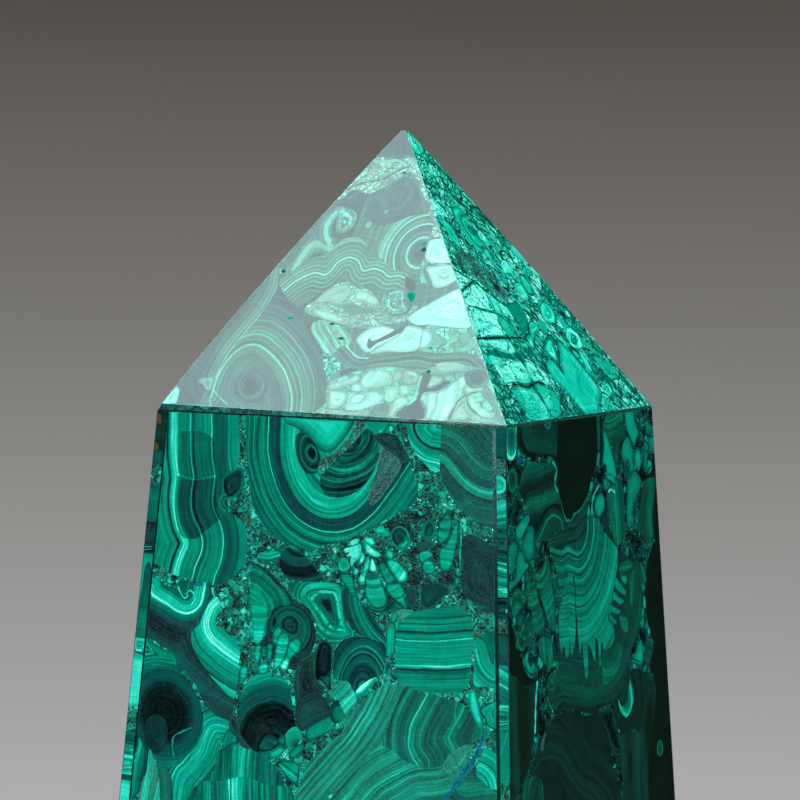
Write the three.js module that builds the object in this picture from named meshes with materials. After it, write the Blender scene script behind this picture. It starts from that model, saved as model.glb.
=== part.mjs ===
// A polished malachite obelisk: a square shaft that narrows upwards under a low pyramid cap.
// The shaft is a block of malachite with a thin slab glued on its left and its right flank. The slabs
// run the full depth, so their sawn edges show as two narrow strips on the front and the back face.
// Millimetres. Z is up, the origin is the centre of the base, and the front face looks along -Y.
import * as THREE from "three";

// Shaft
const SHOULDER_WIDTH = 70; // across the shaft at its top, where the cap beds on it
const SHAFT_HEIGHT = 313;
const SIDE_LEAN = 0.062; // each of the four sides comes in by this much per mm of height
const LEFT_SLAB = 2.1; // thickness of the slab on the left flank
const RIGHT_SLAB = 2.0;
const LEFT_JOINT = 0.35; // width of the glue line between the block and the left slab
const RIGHT_JOINT = 0.7; // and of the wider one at the right slab
const ARRIS = 0.2; // the polished-off width along every outer edge

// Cap
const BED_JOINT = 0.3; // glue line between the shaft and the cap
const SKIRT_LEFT = 1.1; // height of the steep band under the cap's slopes, at the left side
const SKIRT_RIGHT = 0.25; // and at the right side: the cap was ground on slightly askew
const SKIRT_LEAN = 0.5; // how far the steep band leans in, per mm of height
const CAP_RISE = 52.2; // from the shaft's top to the tip
const CAP_SWELL = 0.6; // how far the cap's sides stand out, at mid height, from straight slopes
const TIP_WIDTH = 1.0; // the tip is slightly blunt
const TIP_OFFSET = -2.1; // the tip stands this far left of the shaft's centre line
const TIP_CURVE = 0.72; // exponent of the sideways run of the cap's centre line
const SLOPE_STEPS = 14; // flat bands that make up the swelling slopes

// Worked out from the sizes above
const shoulderHalf = SHOULDER_WIDTH / 2;
const baseHalf = shoulderHalf + SIDE_LEAN * SHAFT_HEIGHT;
const capBottom = SHAFT_HEIGHT + BED_JOINT;

const polishedStone = (colour, roughness) =>
  new THREE.MeshStandardMaterial({ color: colour, roughness, metalness: 0 });
const blockStone = polishedStone(0x0b6b52, 0.16);
const flankStone = polishedStone(0x0a5140, 0.18);
const capStone = polishedStone(0x3fae90, 0.2);

// A rectangle from (left, front) to (right, back); each corner named in cut is bevelled by the arris.
function rectangle(left, right, front, back, cut) {
  const corners = [
    ["frontLeft", left, front, 0, ARRIS, ARRIS, 0],
    ["frontRight", right, front, -ARRIS, 0, 0, ARRIS],
    ["backRight", right, back, 0, -ARRIS, -ARRIS, 0],
    ["backLeft", left, back, ARRIS, 0, 0, -ARRIS],
  ];
  const points = [];
  for (const [name, x, y, dx1, dy1, dx2, dy2] of corners) {
    if (cut.includes(name)) {
      points.push(new THREE.Vector2(x + dx1, y + dy1));
      points.push(new THREE.Vector2(x + dx2, y + dy2));
    } else {
      points.push(new THREE.Vector2(x, y));
    }
  }
  return new THREE.Shape(points);
}

// Moves every vertex of a geometry to place(x, y, z).
function reshape(geometry, place) {
  const position = geometry.getAttribute("position");
  for (let i = 0; i < position.count; i++) {
    const [x, y, z] = place(
      position.getX(i),
      position.getY(i),
      position.getZ(i),
    );
    position.setXYZ(i, x, y, z);
  }
  geometry.computeVertexNormals();
  return geometry;
}

// A section at the base, drawn up to the shaft's full height with every side leaning in.
function leaningPrism(section) {
  const prism = new THREE.ExtrudeGeometry(section, {
    depth: SHAFT_HEIGHT,
    bevelEnabled: false,
  });
  return reshape(prism, (x, y, z) => [
    x - Math.sign(x) * SIDE_LEAN * z,
    y - Math.sign(y) * SIDE_LEAN * z,
    z,
  ]);
}

function shaftBlock() {
  const left = -baseHalf + LEFT_SLAB + LEFT_JOINT;
  const right = baseHalf - RIGHT_SLAB - RIGHT_JOINT;
  return leaningPrism(rectangle(left, right, -baseHalf, baseHalf, []));
}

function leftSlab() {
  const section = rectangle(
    -baseHalf,
    -baseHalf + LEFT_SLAB,
    -baseHalf,
    baseHalf,
    ["frontLeft", "backLeft"],
  );
  return leaningPrism(section);
}

function rightSlab() {
  const section = rectangle(
    baseHalf - RIGHT_SLAB,
    baseHalf,
    -baseHalf,
    baseHalf,
    ["frontRight", "backRight"],
  );
  return leaningPrism(section);
}

// Level 0 is the cap's underside, level 1 the crease where the slopes begin, and the last the tip.
function capLevel(level, x) {
  const side = x / shoulderHalf;
  const skirt = (SKIRT_LEFT + SKIRT_RIGHT) / 2 + side * (SKIRT_RIGHT - SKIRT_LEFT) / 2;
  const crease = capBottom + skirt;
  const tip = SHAFT_HEIGHT + CAP_RISE;
  if (level === 0) return { half: 1, shift: 0, z: capBottom };
  const t = (level - 1) / SLOPE_STEPS;
  const foot = 1 - (skirt * SKIRT_LEAN) / shoulderHalf;
  const straight = foot + t * (TIP_WIDTH / SHOULDER_WIDTH - foot);
  const swell = (CAP_SWELL / shoulderHalf) * 4 * t * (1 - t);
  return {
    half: straight + swell,
    shift: t > 0 ? TIP_OFFSET * t ** TIP_CURVE : 0,
    z: crease + t * (tip - crease),
  };
}

function pyramidCap() {
  const levels = SLOPE_STEPS + 1;
  const section = rectangle(
    -shoulderHalf,
    shoulderHalf,
    -shoulderHalf,
    shoulderHalf,
    ["frontLeft", "frontRight", "backRight", "backLeft"],
  );
  const stack = new THREE.ExtrudeGeometry(section, {
    depth: levels,
    steps: levels,
    bevelEnabled: false,
  });
  return reshape(stack, (x, y, z) => {
    const level = capLevel(Math.round(z), x);
    return [x * level.half + level.shift, y * level.half, level.z];
  });
}

function piece(name, geometry, material) {
  const mesh = new THREE.Mesh(geometry, material);
  mesh.name = name;
  return mesh;
}

const obelisk = new THREE.Group();
obelisk.add(piece("shaft_block", shaftBlock(), blockStone));
obelisk.add(piece("left_side_slab", leftSlab(), flankStone));
obelisk.add(piece("right_side_slab", rightSlab(), flankStone));
obelisk.add(piece("pyramid_cap", pyramidCap(), capStone));

export default obelisk;
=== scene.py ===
import math
import random

import bmesh
import bpy
import numpy as np
from mathutils import Matrix, Vector
from mathutils.geometry import delaunay_2d_cdt


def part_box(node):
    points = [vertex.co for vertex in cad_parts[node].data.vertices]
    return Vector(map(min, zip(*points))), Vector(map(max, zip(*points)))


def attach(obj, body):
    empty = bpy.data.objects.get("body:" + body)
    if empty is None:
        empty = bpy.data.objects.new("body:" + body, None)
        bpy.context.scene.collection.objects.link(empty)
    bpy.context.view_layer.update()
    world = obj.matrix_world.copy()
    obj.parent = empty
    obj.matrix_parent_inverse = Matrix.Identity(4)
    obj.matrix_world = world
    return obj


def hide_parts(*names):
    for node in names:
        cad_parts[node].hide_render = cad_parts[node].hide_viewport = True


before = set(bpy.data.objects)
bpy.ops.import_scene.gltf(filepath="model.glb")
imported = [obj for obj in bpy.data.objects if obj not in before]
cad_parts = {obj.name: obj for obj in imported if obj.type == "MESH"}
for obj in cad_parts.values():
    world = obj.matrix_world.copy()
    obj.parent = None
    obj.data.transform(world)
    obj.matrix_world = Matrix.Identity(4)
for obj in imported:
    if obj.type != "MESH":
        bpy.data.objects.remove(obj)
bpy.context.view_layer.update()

MM = 0.001

# Sizes of the solids, in millimetres, read from the frame
BLOCK_LOW, BLOCK_HIGH = (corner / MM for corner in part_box("shaft_block"))
CAP_LOW, CAP_HIGH = (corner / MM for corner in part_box("pyramid_cap"))
LEFT_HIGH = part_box("left_side_slab")[1] / MM
RIGHT_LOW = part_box("right_side_slab")[0] / MM
SHAFT_HEIGHT = BLOCK_HIGH.z
SHOULDER = CAP_HIGH.y
BASE = BLOCK_HIGH.y
LEAN = (BASE - SHOULDER) / SHAFT_HEIGHT
LEFT_SLAB = SHOULDER + LEFT_HIGH.x
RIGHT_SLAB = SHOULDER - RIGHT_LOW.x
LEFT_JOINT = BASE + BLOCK_LOW.x - LEFT_SLAB
RIGHT_JOINT = BASE - BLOCK_HIGH.x - RIGHT_SLAB
BED = CAP_LOW.z
TIP = CAP_HIGH.z

# Sizes that the frame doesn't give
ARRIS = 0.2
SKIRT_LEFT = 1.1
SKIRT_RIGHT = 0.25
SKIRT_LEAN = 0.5
CAP_SWELL = 0.6
TIP_WIDTH = 1.0
TIP_OFFSET = -2.1
TIP_CURVE = 0.72
SLOPE_STEPS = 14
SEAM_HOLLOW = 0.08  # how far a glue line lies back from the polished faces

HAND_LAID_DEPTH = 76  # how far down from the shoulder the listed part reaches
CLOSE_GRID = 0.7  # spacing of the mesh points on the listed part of a face
WIDE_GRID = 2.2
GRID_JITTER = 0.15
GRID_ROW = 0.87  # spacing of the rows against that of the points in them
SEAM_MARGIN = 0.06  # no fragment comes closer than this to the edge of its face
GRID_MARGIN = 0.5
SMALLEST_AREA = 0.2  # of a fragment, in square millimetres
MERGE_REACH = 0.002

CURVE_STEP = 0.45
VEIN_STEP = 0.8
SEED_STEP = 0.37  # between the seeds of one fragment and the next

# Loose fragments: lengths are shares of their spacing
SEED_JITTER = 0.45
SEED_LEFT_OUT = 0.14
HOLES = 0.16
NEIGHBOUR_REACH = 3.4
FIRST_CELL = 1.8
GAPS = (0.1, 0.2, 0.3, 0.9)
FAR = 20
NESTED_SHARE = 0.25
PEBBLE_SPACING = 0.28
PEBBLE_LOOKS = ["finger", "dark_cell", "leaf", "fine", "deep", "pale"]


def smooth(points, closed=True, step=CURVE_STEP):
    """A curve through the points. A point given twice is a sharp corner."""
    points = [Vector(p) for p in points]
    count = len(points)
    curve = []
    for i in range(count if closed else count - 1):
        before = points[(i - 1) % count if closed else max(i - 1, 0)]
        start = points[i]
        end = points[(i + 1) % count]
        after = points[(i + 2) % count if closed else min(i + 2, count - 1)]
        length = (end - start).length
        if length < 1e-6:
            continue
        pieces = max(1, round(length / step))
        for k in range(pieces):
            t = k / pieces
            curve.append(
                0.5
                * (
                    2 * start
                    + (end - before) * t
                    + (2 * before - 5 * start + 4 * end - after) * t * t
                    + (3 * start - before - 3 * end + after) * t * t * t
                )
            )
    if not closed:
        curve.append(points[-1])
    return curve


def clipped(outline, region):
    """The part of an outline that lies in a convex, anticlockwise region."""
    for i, a in enumerate(region):
        b = region[(i + 1) % len(region)]
        if not outline:
            return []
        side = [(b - a).cross(p - a) for p in outline]
        kept = []
        for k, p in enumerate(outline):
            q = outline[k - 1]
            if (side[k] >= 0) != (side[k - 1] >= 0):
                kept.append(q.lerp(p, side[k - 1] / (side[k - 1] - side[k])))
            if side[k] >= 0:
                kept.append(p)
        outline = kept
    return outline


def area(outline):
    """Area of an outline, positive if it runs anticlockwise."""
    return sum(a.cross(b) for a, b in zip(outline, outline[1:] + outline[:1])) / 2


def in_outline(outline):
    """A test of whether a point lies in a convex, anticlockwise outline."""
    return lambda p: all((b - a).cross(p - a) > 0 for a, b in zip(outline, outline[1:] + outline[:1]))


def measured(points, line, closed):
    """Distance to a line, positive on its right, and the place along it, for every point."""
    starts = np.array(line)
    ends = np.roll(starts, -1, axis=0)
    if not closed:
        starts, ends = starts[:-1], ends[:-1]
    runs = ends - starts
    lengths = np.maximum(np.hypot(*runs.T), 1e-9)
    offset = points[:, None, :] - starts[None]
    share = np.clip((offset * runs).sum(2) / lengths**2, 0, 1)
    gap = offset - share[..., None] * runs
    distance = np.hypot(gap[..., 0], gap[..., 1])
    nearest = distance.argmin(1)
    row = np.arange(len(points))
    turn = runs[nearest, 1] * gap[row, nearest, 0] - runs[nearest, 0] * gap[row, nearest, 1]
    before = np.concatenate([[0], np.cumsum(lengths)[:-1]])
    place = before[nearest] + share[row, nearest] * lengths[nearest]
    return distance[row, nearest] * np.where(turn < 0, -1, 1), place


def inside(points, outline):
    """Which of the points lie inside a closed outline."""
    starts = np.array([tuple(p) for p in outline])
    ends = np.roll(starts, -1, axis=0)
    x, y = points[:, 0:1], points[:, 1:2]
    rise = np.where(ends[:, 1] == starts[:, 1], 1e-9, ends[:, 1] - starts[:, 1])
    cross = starts[:, 0] + (y - starts[:, 1]) / rise * (ends[:, 0] - starts[:, 0])
    passes = ((starts[:, 1] > y) != (ends[:, 1] > y)) & (x < cross)
    return passes.sum(1) % 2 == 1


def along(*points):
    """Bands that follow a line."""
    line = smooth(points, closed=False)
    return lambda places, outline: measured(places, line, False)


def inwards(places, line):
    distance, place = measured(places, line, True)
    return np.abs(distance), place


def nested(*points):
    """Bands one inside the other, counted inwards from a closed outline."""
    line = smooth(points)
    return lambda places, outline: inwards(places, line)


def rings(x, y, stretch=1.0, turn=0.0):
    """Bands round a centre. They are stretched along the direction that turn gives, in degrees."""
    c, s = math.cos(math.radians(turn)), math.sin(math.radians(turn))

    def field(places, outline):
        right, up = places[:, 0] - x, places[:, 1] - y
        long, short = (right * c + up * s) / stretch, up * c - right * s
        return np.hypot(long, short), np.arctan2(short, long) * 6

    return field


class Stone:
    """One fragment: its look, the run of its bands and its outline."""

    count = 0

    def __init__(self, look, field, *outline, lighter=0.0, seed=None, step=CURVE_STEP):
        self.look = look
        self.field = field
        self.outline = smooth(outline, step=step)
        self.lighter = lighter
        Stone.count += 1
        self.seed = Stone.count * SEED_STEP if seed is None else seed


def chip(look, *outline, lighter=0.0, step=CURVE_STEP):
    """A fragment whose bands follow its own outline, counted inwards from it."""
    return Stone(look, inwards, *outline, lighter=lighter, step=step)


def vein(look, width, *points, lighter=0.0):
    """A thin crack or vein along a line."""
    line = smooth(points, closed=False, step=VEIN_STEP)
    sides = [[], []]
    for i, p in enumerate(line):
        run = (line[min(i + 1, len(line) - 1)] - line[max(i - 1, 0)]).normalized()
        out = Vector((-run.y, run.x)) * width / 2
        out *= 0.7 + 0.3 * math.sin(i * 1.9)
        sides[0].append(p + out)
        sides[1].append(p - out)
    return chip(look, *sides[0], *sides[1][::-1], lighter=lighter, step=2)


def loose_stones(region, spacing, looks, draw, keep, holes=HOLES):
    """Fragments packed like a mosaic, for the parts of a face that the listed ones leave. Now and then a
    seed is left out, so its neighbours grow, or its fragment is, and then pebbles lie in the hole."""
    xs = [p.x for p in region]
    ys = [p.y for p in region]
    seeds = []
    rows = int((max(ys) - min(ys)) / spacing) + 2
    columns = int((max(xs) - min(xs)) / spacing) + 2
    for row in range(-1, rows):
        for column in range(-1, columns):
            x = min(xs) + (column + 0.5 * (row % 2) + draw.uniform(-SEED_JITTER, SEED_JITTER)) * spacing
            y = min(ys) + (row + draw.uniform(-SEED_JITTER, SEED_JITTER)) * spacing
            if draw.random() > SEED_LEFT_OUT:
                seeds.append(Vector((x, y)))
    stones = []
    pebbles = []
    for seed in seeds:
        size = spacing * FIRST_CELL
        cell = [seed + Vector(c) * size for c in ((-1, -1), (1, -1), (1, 1), (-1, 1))]
        for other in seeds:
            run = other - seed
            if 0 < run.length < spacing * NEIGHBOUR_REACH:
                gap = draw.choice(GAPS)
                middle = seed + run / 2 - run.normalized() * gap
                side = Vector((-run.y, run.x)) * FAR
                half = [middle - side, middle + side, middle + side - run * FAR, middle - side - run * FAR]
                cell = clipped(cell, half)
        look = draw.choice(looks)
        angle = draw.uniform(0, 360)
        reach = draw.choice((0.3, 1.2, 2.4)) * draw.uniform(0.8, 1.2) * spacing
        centre = seed + Vector((math.cos(angle), math.sin(angle))) * reach
        field = rings(centre.x, centre.y, draw.uniform(1, 1.7), draw.uniform(0, 180))
        if draw.random() < NESTED_SHARE:
            field = nested(*cell)
        lighter = draw.uniform(-0.15, 0.12)
        if len(cell) > 2 and keep(seed):
            if draw.random() < holes:
                smaller = spacing * PEBBLE_SPACING
                pebbles += loose_stones(cell, smaller, PEBBLE_LOOKS, draw, in_outline(cell), 0)
            else:
                stones.append(Stone(look, field, *cell, lighter=lighter, seed=draw.uniform(0, 50)))
    return pebbles + stones


class Looks:
    """The finishes that one piece wears, in the order of its material slots."""

    def __init__(self):
        self.names = []

    def index(self, name):
        if name not in self.names:
            self.names.append(name)
        return self.names.index(name)


def triangle_owners(flat, triangles, from_faces, outlines):
    """The last outline that each triangle lies in. Now and then the triangulation lets an outline leak
    over its neighbours, so one that fills more than its own area is tested again."""
    corners = flat[np.array(triangles)]
    middles = corners.mean(1)
    a, b = corners[:, 1] - corners[:, 0], corners[:, 2] - corners[:, 0]
    sizes = np.abs(a[:, 0] * b[:, 1] - a[:, 1] * b[:, 0]) / 2
    filled = np.zeros(len(outlines))
    for size, ids in zip(sizes, from_faces):
        filled[ids] += size
    tested = {
        i: inside(middles, outline)
        for i, outline in enumerate(outlines)
        if i and filled[i] > abs(area(outline)) * 1.02 + 0.5
    }
    return [max(i for i in ids if i not in tested or tested[i][k]) for k, ids in enumerate(from_faces)]


# What each map holds: across and along the bands, lightness and seed, and the distance to the outline
UV_MAPS = ("bands", "marks", "rim")


def inlay(bm, looks, region, corners, stones, place, ground, close):
    """Lays fragments into one face. region is its outline on the flat, corners the same in space.
    No mesh operator cuts a face along outlines that overlap, so a flat triangulation does it: of the
    fragments over a triangle, the last one keeps it."""
    middle = sum(region, Vector((0, 0))) / len(region)
    bulging = [
        p
        for i, p in enumerate(region)
        if (p - region[i - 1]).cross(region[(i + 1) % len(region)] - p) > -1e-6
    ]
    inner = [p + (middle - p).normalized() * SEAM_MARGIN for p in bulging]
    points = list(region)
    faces = [list(range(len(region)))]
    owners = [None]
    outlines = [region]
    for stone in stones:
        outline = clipped(stone.outline, inner)
        if len(outline) < 3 or abs(area(outline)) < SMALLEST_AREA:
            continue
        if area(outline) < 0:
            outline.reverse()
        owners.append(stone)
        outlines.append(outline)
        faces.append(list(range(len(points), len(points) + len(outline))))
        points += outline
    draw = random.Random(len(stones))
    in_core = in_outline([p + (middle - p).normalized() * GRID_MARGIN for p in region])
    low = Vector((min(p.x for p in region), min(p.y for p in region)))
    high = Vector((max(p.x for p in region), max(p.y for p in region)))
    y = low.y
    while y < high.y:
        step = CLOSE_GRID if close(y) else WIDE_GRID
        x = low.x + draw.random() * step
        while x < high.x:
            p = Vector((x, y + draw.uniform(-GRID_JITTER, GRID_JITTER) * step))
            if in_core(p):
                points.append(p)
            x += step
        y += step * GRID_ROW
    found = delaunay_2d_cdt(points, [], faces, 1, 1e-4)
    flat, triangles, from_points, from_faces = found[0], found[2], found[3], found[5]
    flat_array = np.array(flat)
    bands, marks, rim = (bm.loops.layers.uv.get(name) for name in UV_MAPS)
    made = []
    for i, p in enumerate(flat):
        corner = [k for k in from_points[i] if k < len(corners)]
        made.append(bm.verts.new(corners[corner[0]] if corner else place(p.x, p.y)))
    shares = {}
    for owner, triangle in zip(triangle_owners(flat_array, triangles, from_faces, outlines), triangles):
        shares.setdefault(owner, []).append(triangle)
    for owner, share in sorted(shares.items()):
        stone = owners[owner]
        used = sorted({v for triangle in share for v in triangle})
        row = {v: i for i, v in enumerate(used)}
        places = flat_array[used]
        if stone is None:
            across, down, edge, lighter, seed = places[:, 0], places[:, 1], places[:, 0] * 0, 0, 0
            slot = looks.index(ground)
        else:
            outline = np.array([tuple(p) for p in stone.outline])
            across, down = stone.field(places, outline)
            edge = np.abs(measured(places, outline, True)[0])
            lighter, seed = stone.lighter, stone.seed
            slot = looks.index(stone.look)
        for triangle in share:
            face = bm.faces.new([made[v] for v in triangle])
            face.material_index = slot
            face.smooth = False
            for loop, v in zip(face.loops, triangle):
                k = row[v]
                loop[bands].uv = (across[k], down[k])
                loop[marks].uv = (lighter, seed)
                loop[rim].uv = (edge[k], 0)


def shaft_point(side, u, down):
    """A point on one of the shaft's four faces, in metres. side is front, right, back or left."""
    out = SHOULDER + LEAN * down
    x, y = {"front": (u, -out), "back": (u, out), "right": (out, u), "left": (-out, u)}[side]
    return Vector((x, y, SHAFT_HEIGHT - down)) * MM


def skirt_height(x):
    """Height of the steep band under the slopes, above a point x of the bed."""
    return (SKIRT_LEFT + SKIRT_RIGHT) / 2 + x / SHOULDER * (SKIRT_RIGHT - SKIRT_LEFT) / 2


def cap_level(step, x):
    """Share of the half width, sideways run and height of the cap at one level, above the point x."""
    skirt = skirt_height(x)
    t = max(step, 0) / SLOPE_STEPS
    foot = 1 - skirt * SKIRT_LEAN / SHOULDER
    half = foot + t * (TIP_WIDTH / (2 * SHOULDER) - foot) + CAP_SWELL / SHOULDER * 4 * t * (1 - t)
    if step < 0:
        return 1, 0, BED
    return half, TIP_OFFSET * t**TIP_CURVE, BED + skirt + t * (TIP - BED - skirt)


def cap_point(side, u, up):
    """A point on one of the cap's four slopes, at a height above the shaft's top."""
    height = SHAFT_HEIGHT + up
    x = {"right": SHOULDER, "left": -SHOULDER}.get(side, u)
    for _ in range(4):
        skirt = skirt_height(x)
        t = (height - BED - skirt) / (TIP - BED - skirt)
        half, shift, _ = cap_level(min(max(t, 0), 1) * SLOPE_STEPS, x)
        if side in ("front", "back"):
            x = min(max((u - shift) / half, -SHOULDER), SHOULDER)
    out = SHOULDER * half
    place = {"front": (u, -out), "back": (u, out), "right": (out + shift, u), "left": (-out + shift, u)}
    return Vector((*place[side], height)) * MM


def new_piece(name, bm, looks, materials):
    """Turns a finished bmesh into a piece that rides on the stone's only body."""
    bmesh.ops.remove_doubles(bm, verts=bm.verts, dist=MERGE_REACH * MM)
    bmesh.ops.recalc_face_normals(bm, faces=bm.faces)
    mesh = bpy.data.meshes.new(name)
    bm.to_mesh(mesh)
    bm.free()
    for look in looks.names:
        mesh.materials.append(materials[look])
    piece = bpy.data.objects.new(name, mesh)
    bpy.context.collection.objects.link(piece)
    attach(piece, "root")
    return piece


def new_bmesh():
    bm = bmesh.new()
    for name in UV_MAPS:
        bm.loops.layers.uv.new(name)
    return bm


def prism(bm, left, right, front, back):
    """A block of the shaft's height whose sides lean as the shaft does; the bounds are those of its foot."""
    for v in bmesh.ops.create_cube(bm, size=1)["verts"]:
        x = right if v.co.x > 0 else left
        y = back if v.co.y > 0 else front
        rise = SHAFT_HEIGHT if v.co.z > 0 else 0
        lean = LEAN * rise
        v.co = Vector((x - math.copysign(lean, x), y - math.copysign(lean, y), rise)) * MM


def face_towards(bm, direction):
    """The largest face that looks in a direction."""
    faces = [f for f in bm.faces if f.normal.dot(Vector(direction)) > 0.9]
    return max(faces, key=lambda f: f.calc_area())


SIDE_AXIS = {"front": 0, "back": 0, "right": 1, "left": 1}
SIDE_DIRECTION = {"front": (0, -1, 0), "back": (0, 1, 0), "right": (1, 0, 0), "left": (-1, 0, 0)}


def dress_flat(bm, looks, face, side, stones, ground):
    """Replaces one flat face of the shaft with its stones."""
    axis = SIDE_AXIS[side]
    corners = [v.co.copy() for v in face.verts]
    region = [Vector((c[axis] / MM, SHAFT_HEIGHT - c.z / MM)) for c in corners]
    if area(region) < 0:
        region, corners = region[::-1], corners[::-1]
    bmesh.ops.delete(bm, geom=[face], context="FACES_ONLY")
    inlay(
        bm, looks, region, corners, stones, lambda u, down: shaft_point(side, u, down), ground,
        lambda down: down < HAND_LAID_DEPTH,
    )


# The front of the shaft, from the shoulder down: millimetres across and down
WAVY_LINE = along((-28.1, -1), (-27.9, 3), (-27.6, 8), (-27, 11), (-26.8, 12), (-27.1, 14.5), (-27, 17),
                  (-26.4, 19.2), (-25.3, 21), (-24.6, 22.6), (-24.4, 24), (-24.7, 25.6), (-25.7, 28),
                  (-26.4, 31))
DISC_LINE = along((-10.3, -2), (-10.4, 4), (-9.9, 8), (-8.4, 12), (-6.3, 15), (-3.5, 17.4), (0, 18.6),
                  (3.5, 18.4), (6.5, 17.1), (9.2, 14.8), (11.4, 11.8), (13.4, 8.8), (15.4, 6), (18, 1.5))
ARC_LINE = along((16.6, -2), (17.2, 1), (18.3, 2.7), (20, 3.9), (22.6, 4.4), (24.4, 5.3), (26.4, 7.4),
                 (28.6, 9.4), (31, 10.4), (34, 10.7))
U_LINE = along((-34.9, 32), (-34.7, 33.2), (-33.6, 34.1), (-31, 35.3), (-29, 36.4), (-27, 36.7),
               (-25.2, 36), (-24, 34.3), (-23.5, 31.5))
SWIRL_LINE = along((-20.6, 33.3), (-21.4, 33.9), (-22.5, 35), (-23.2, 36.8), (-23.4, 38.5), (-22.9, 40.1),
                   (-22, 41.3), (-20.5, 42.3), (-19, 43.3), (-17.2, 44.3), (-15.4, 45.2))
FAN_LINE = along((7.6, 31.8), (7.9, 33), (8.6, 34.8), (9.8, 36.6), (11.3, 38.2), (13.3, 39.6))
DOME_LINE = along((-15.4, 57), (-14.3, 54.3), (-12.5, 52.4), (-10, 51.4), (-8.5, 51), (-6.5, 51.5),
                  (-4.8, 52.6))
EYE_LINE = along((22, 47.8), (20.3, 51), (19, 54), (18.7, 57), (19.3, 59), (20.8, 60.8))
BUNDLE_LINE = along((15.8, 46), (13.8, 51), (12, 54.5), (9.5, 58.5), (6, 62.5), (2.5, 66.5), (-1, 71),
                    (-3, 75))
LOWER_LINE = along((27, 60.2), (24, 61.2), (20, 61.8), (16.5, 63.5), (13, 65.9), (10.5, 68.6), (8, 72),
                   (7, 76))
FLOW_LINE = along((-17.3, 57), (-20.5, 56.8), (-21.8, 58.5), (-22.8, 61.5), (-25, 64.5), (-27, 67),
                  (-27.2, 73))
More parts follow.
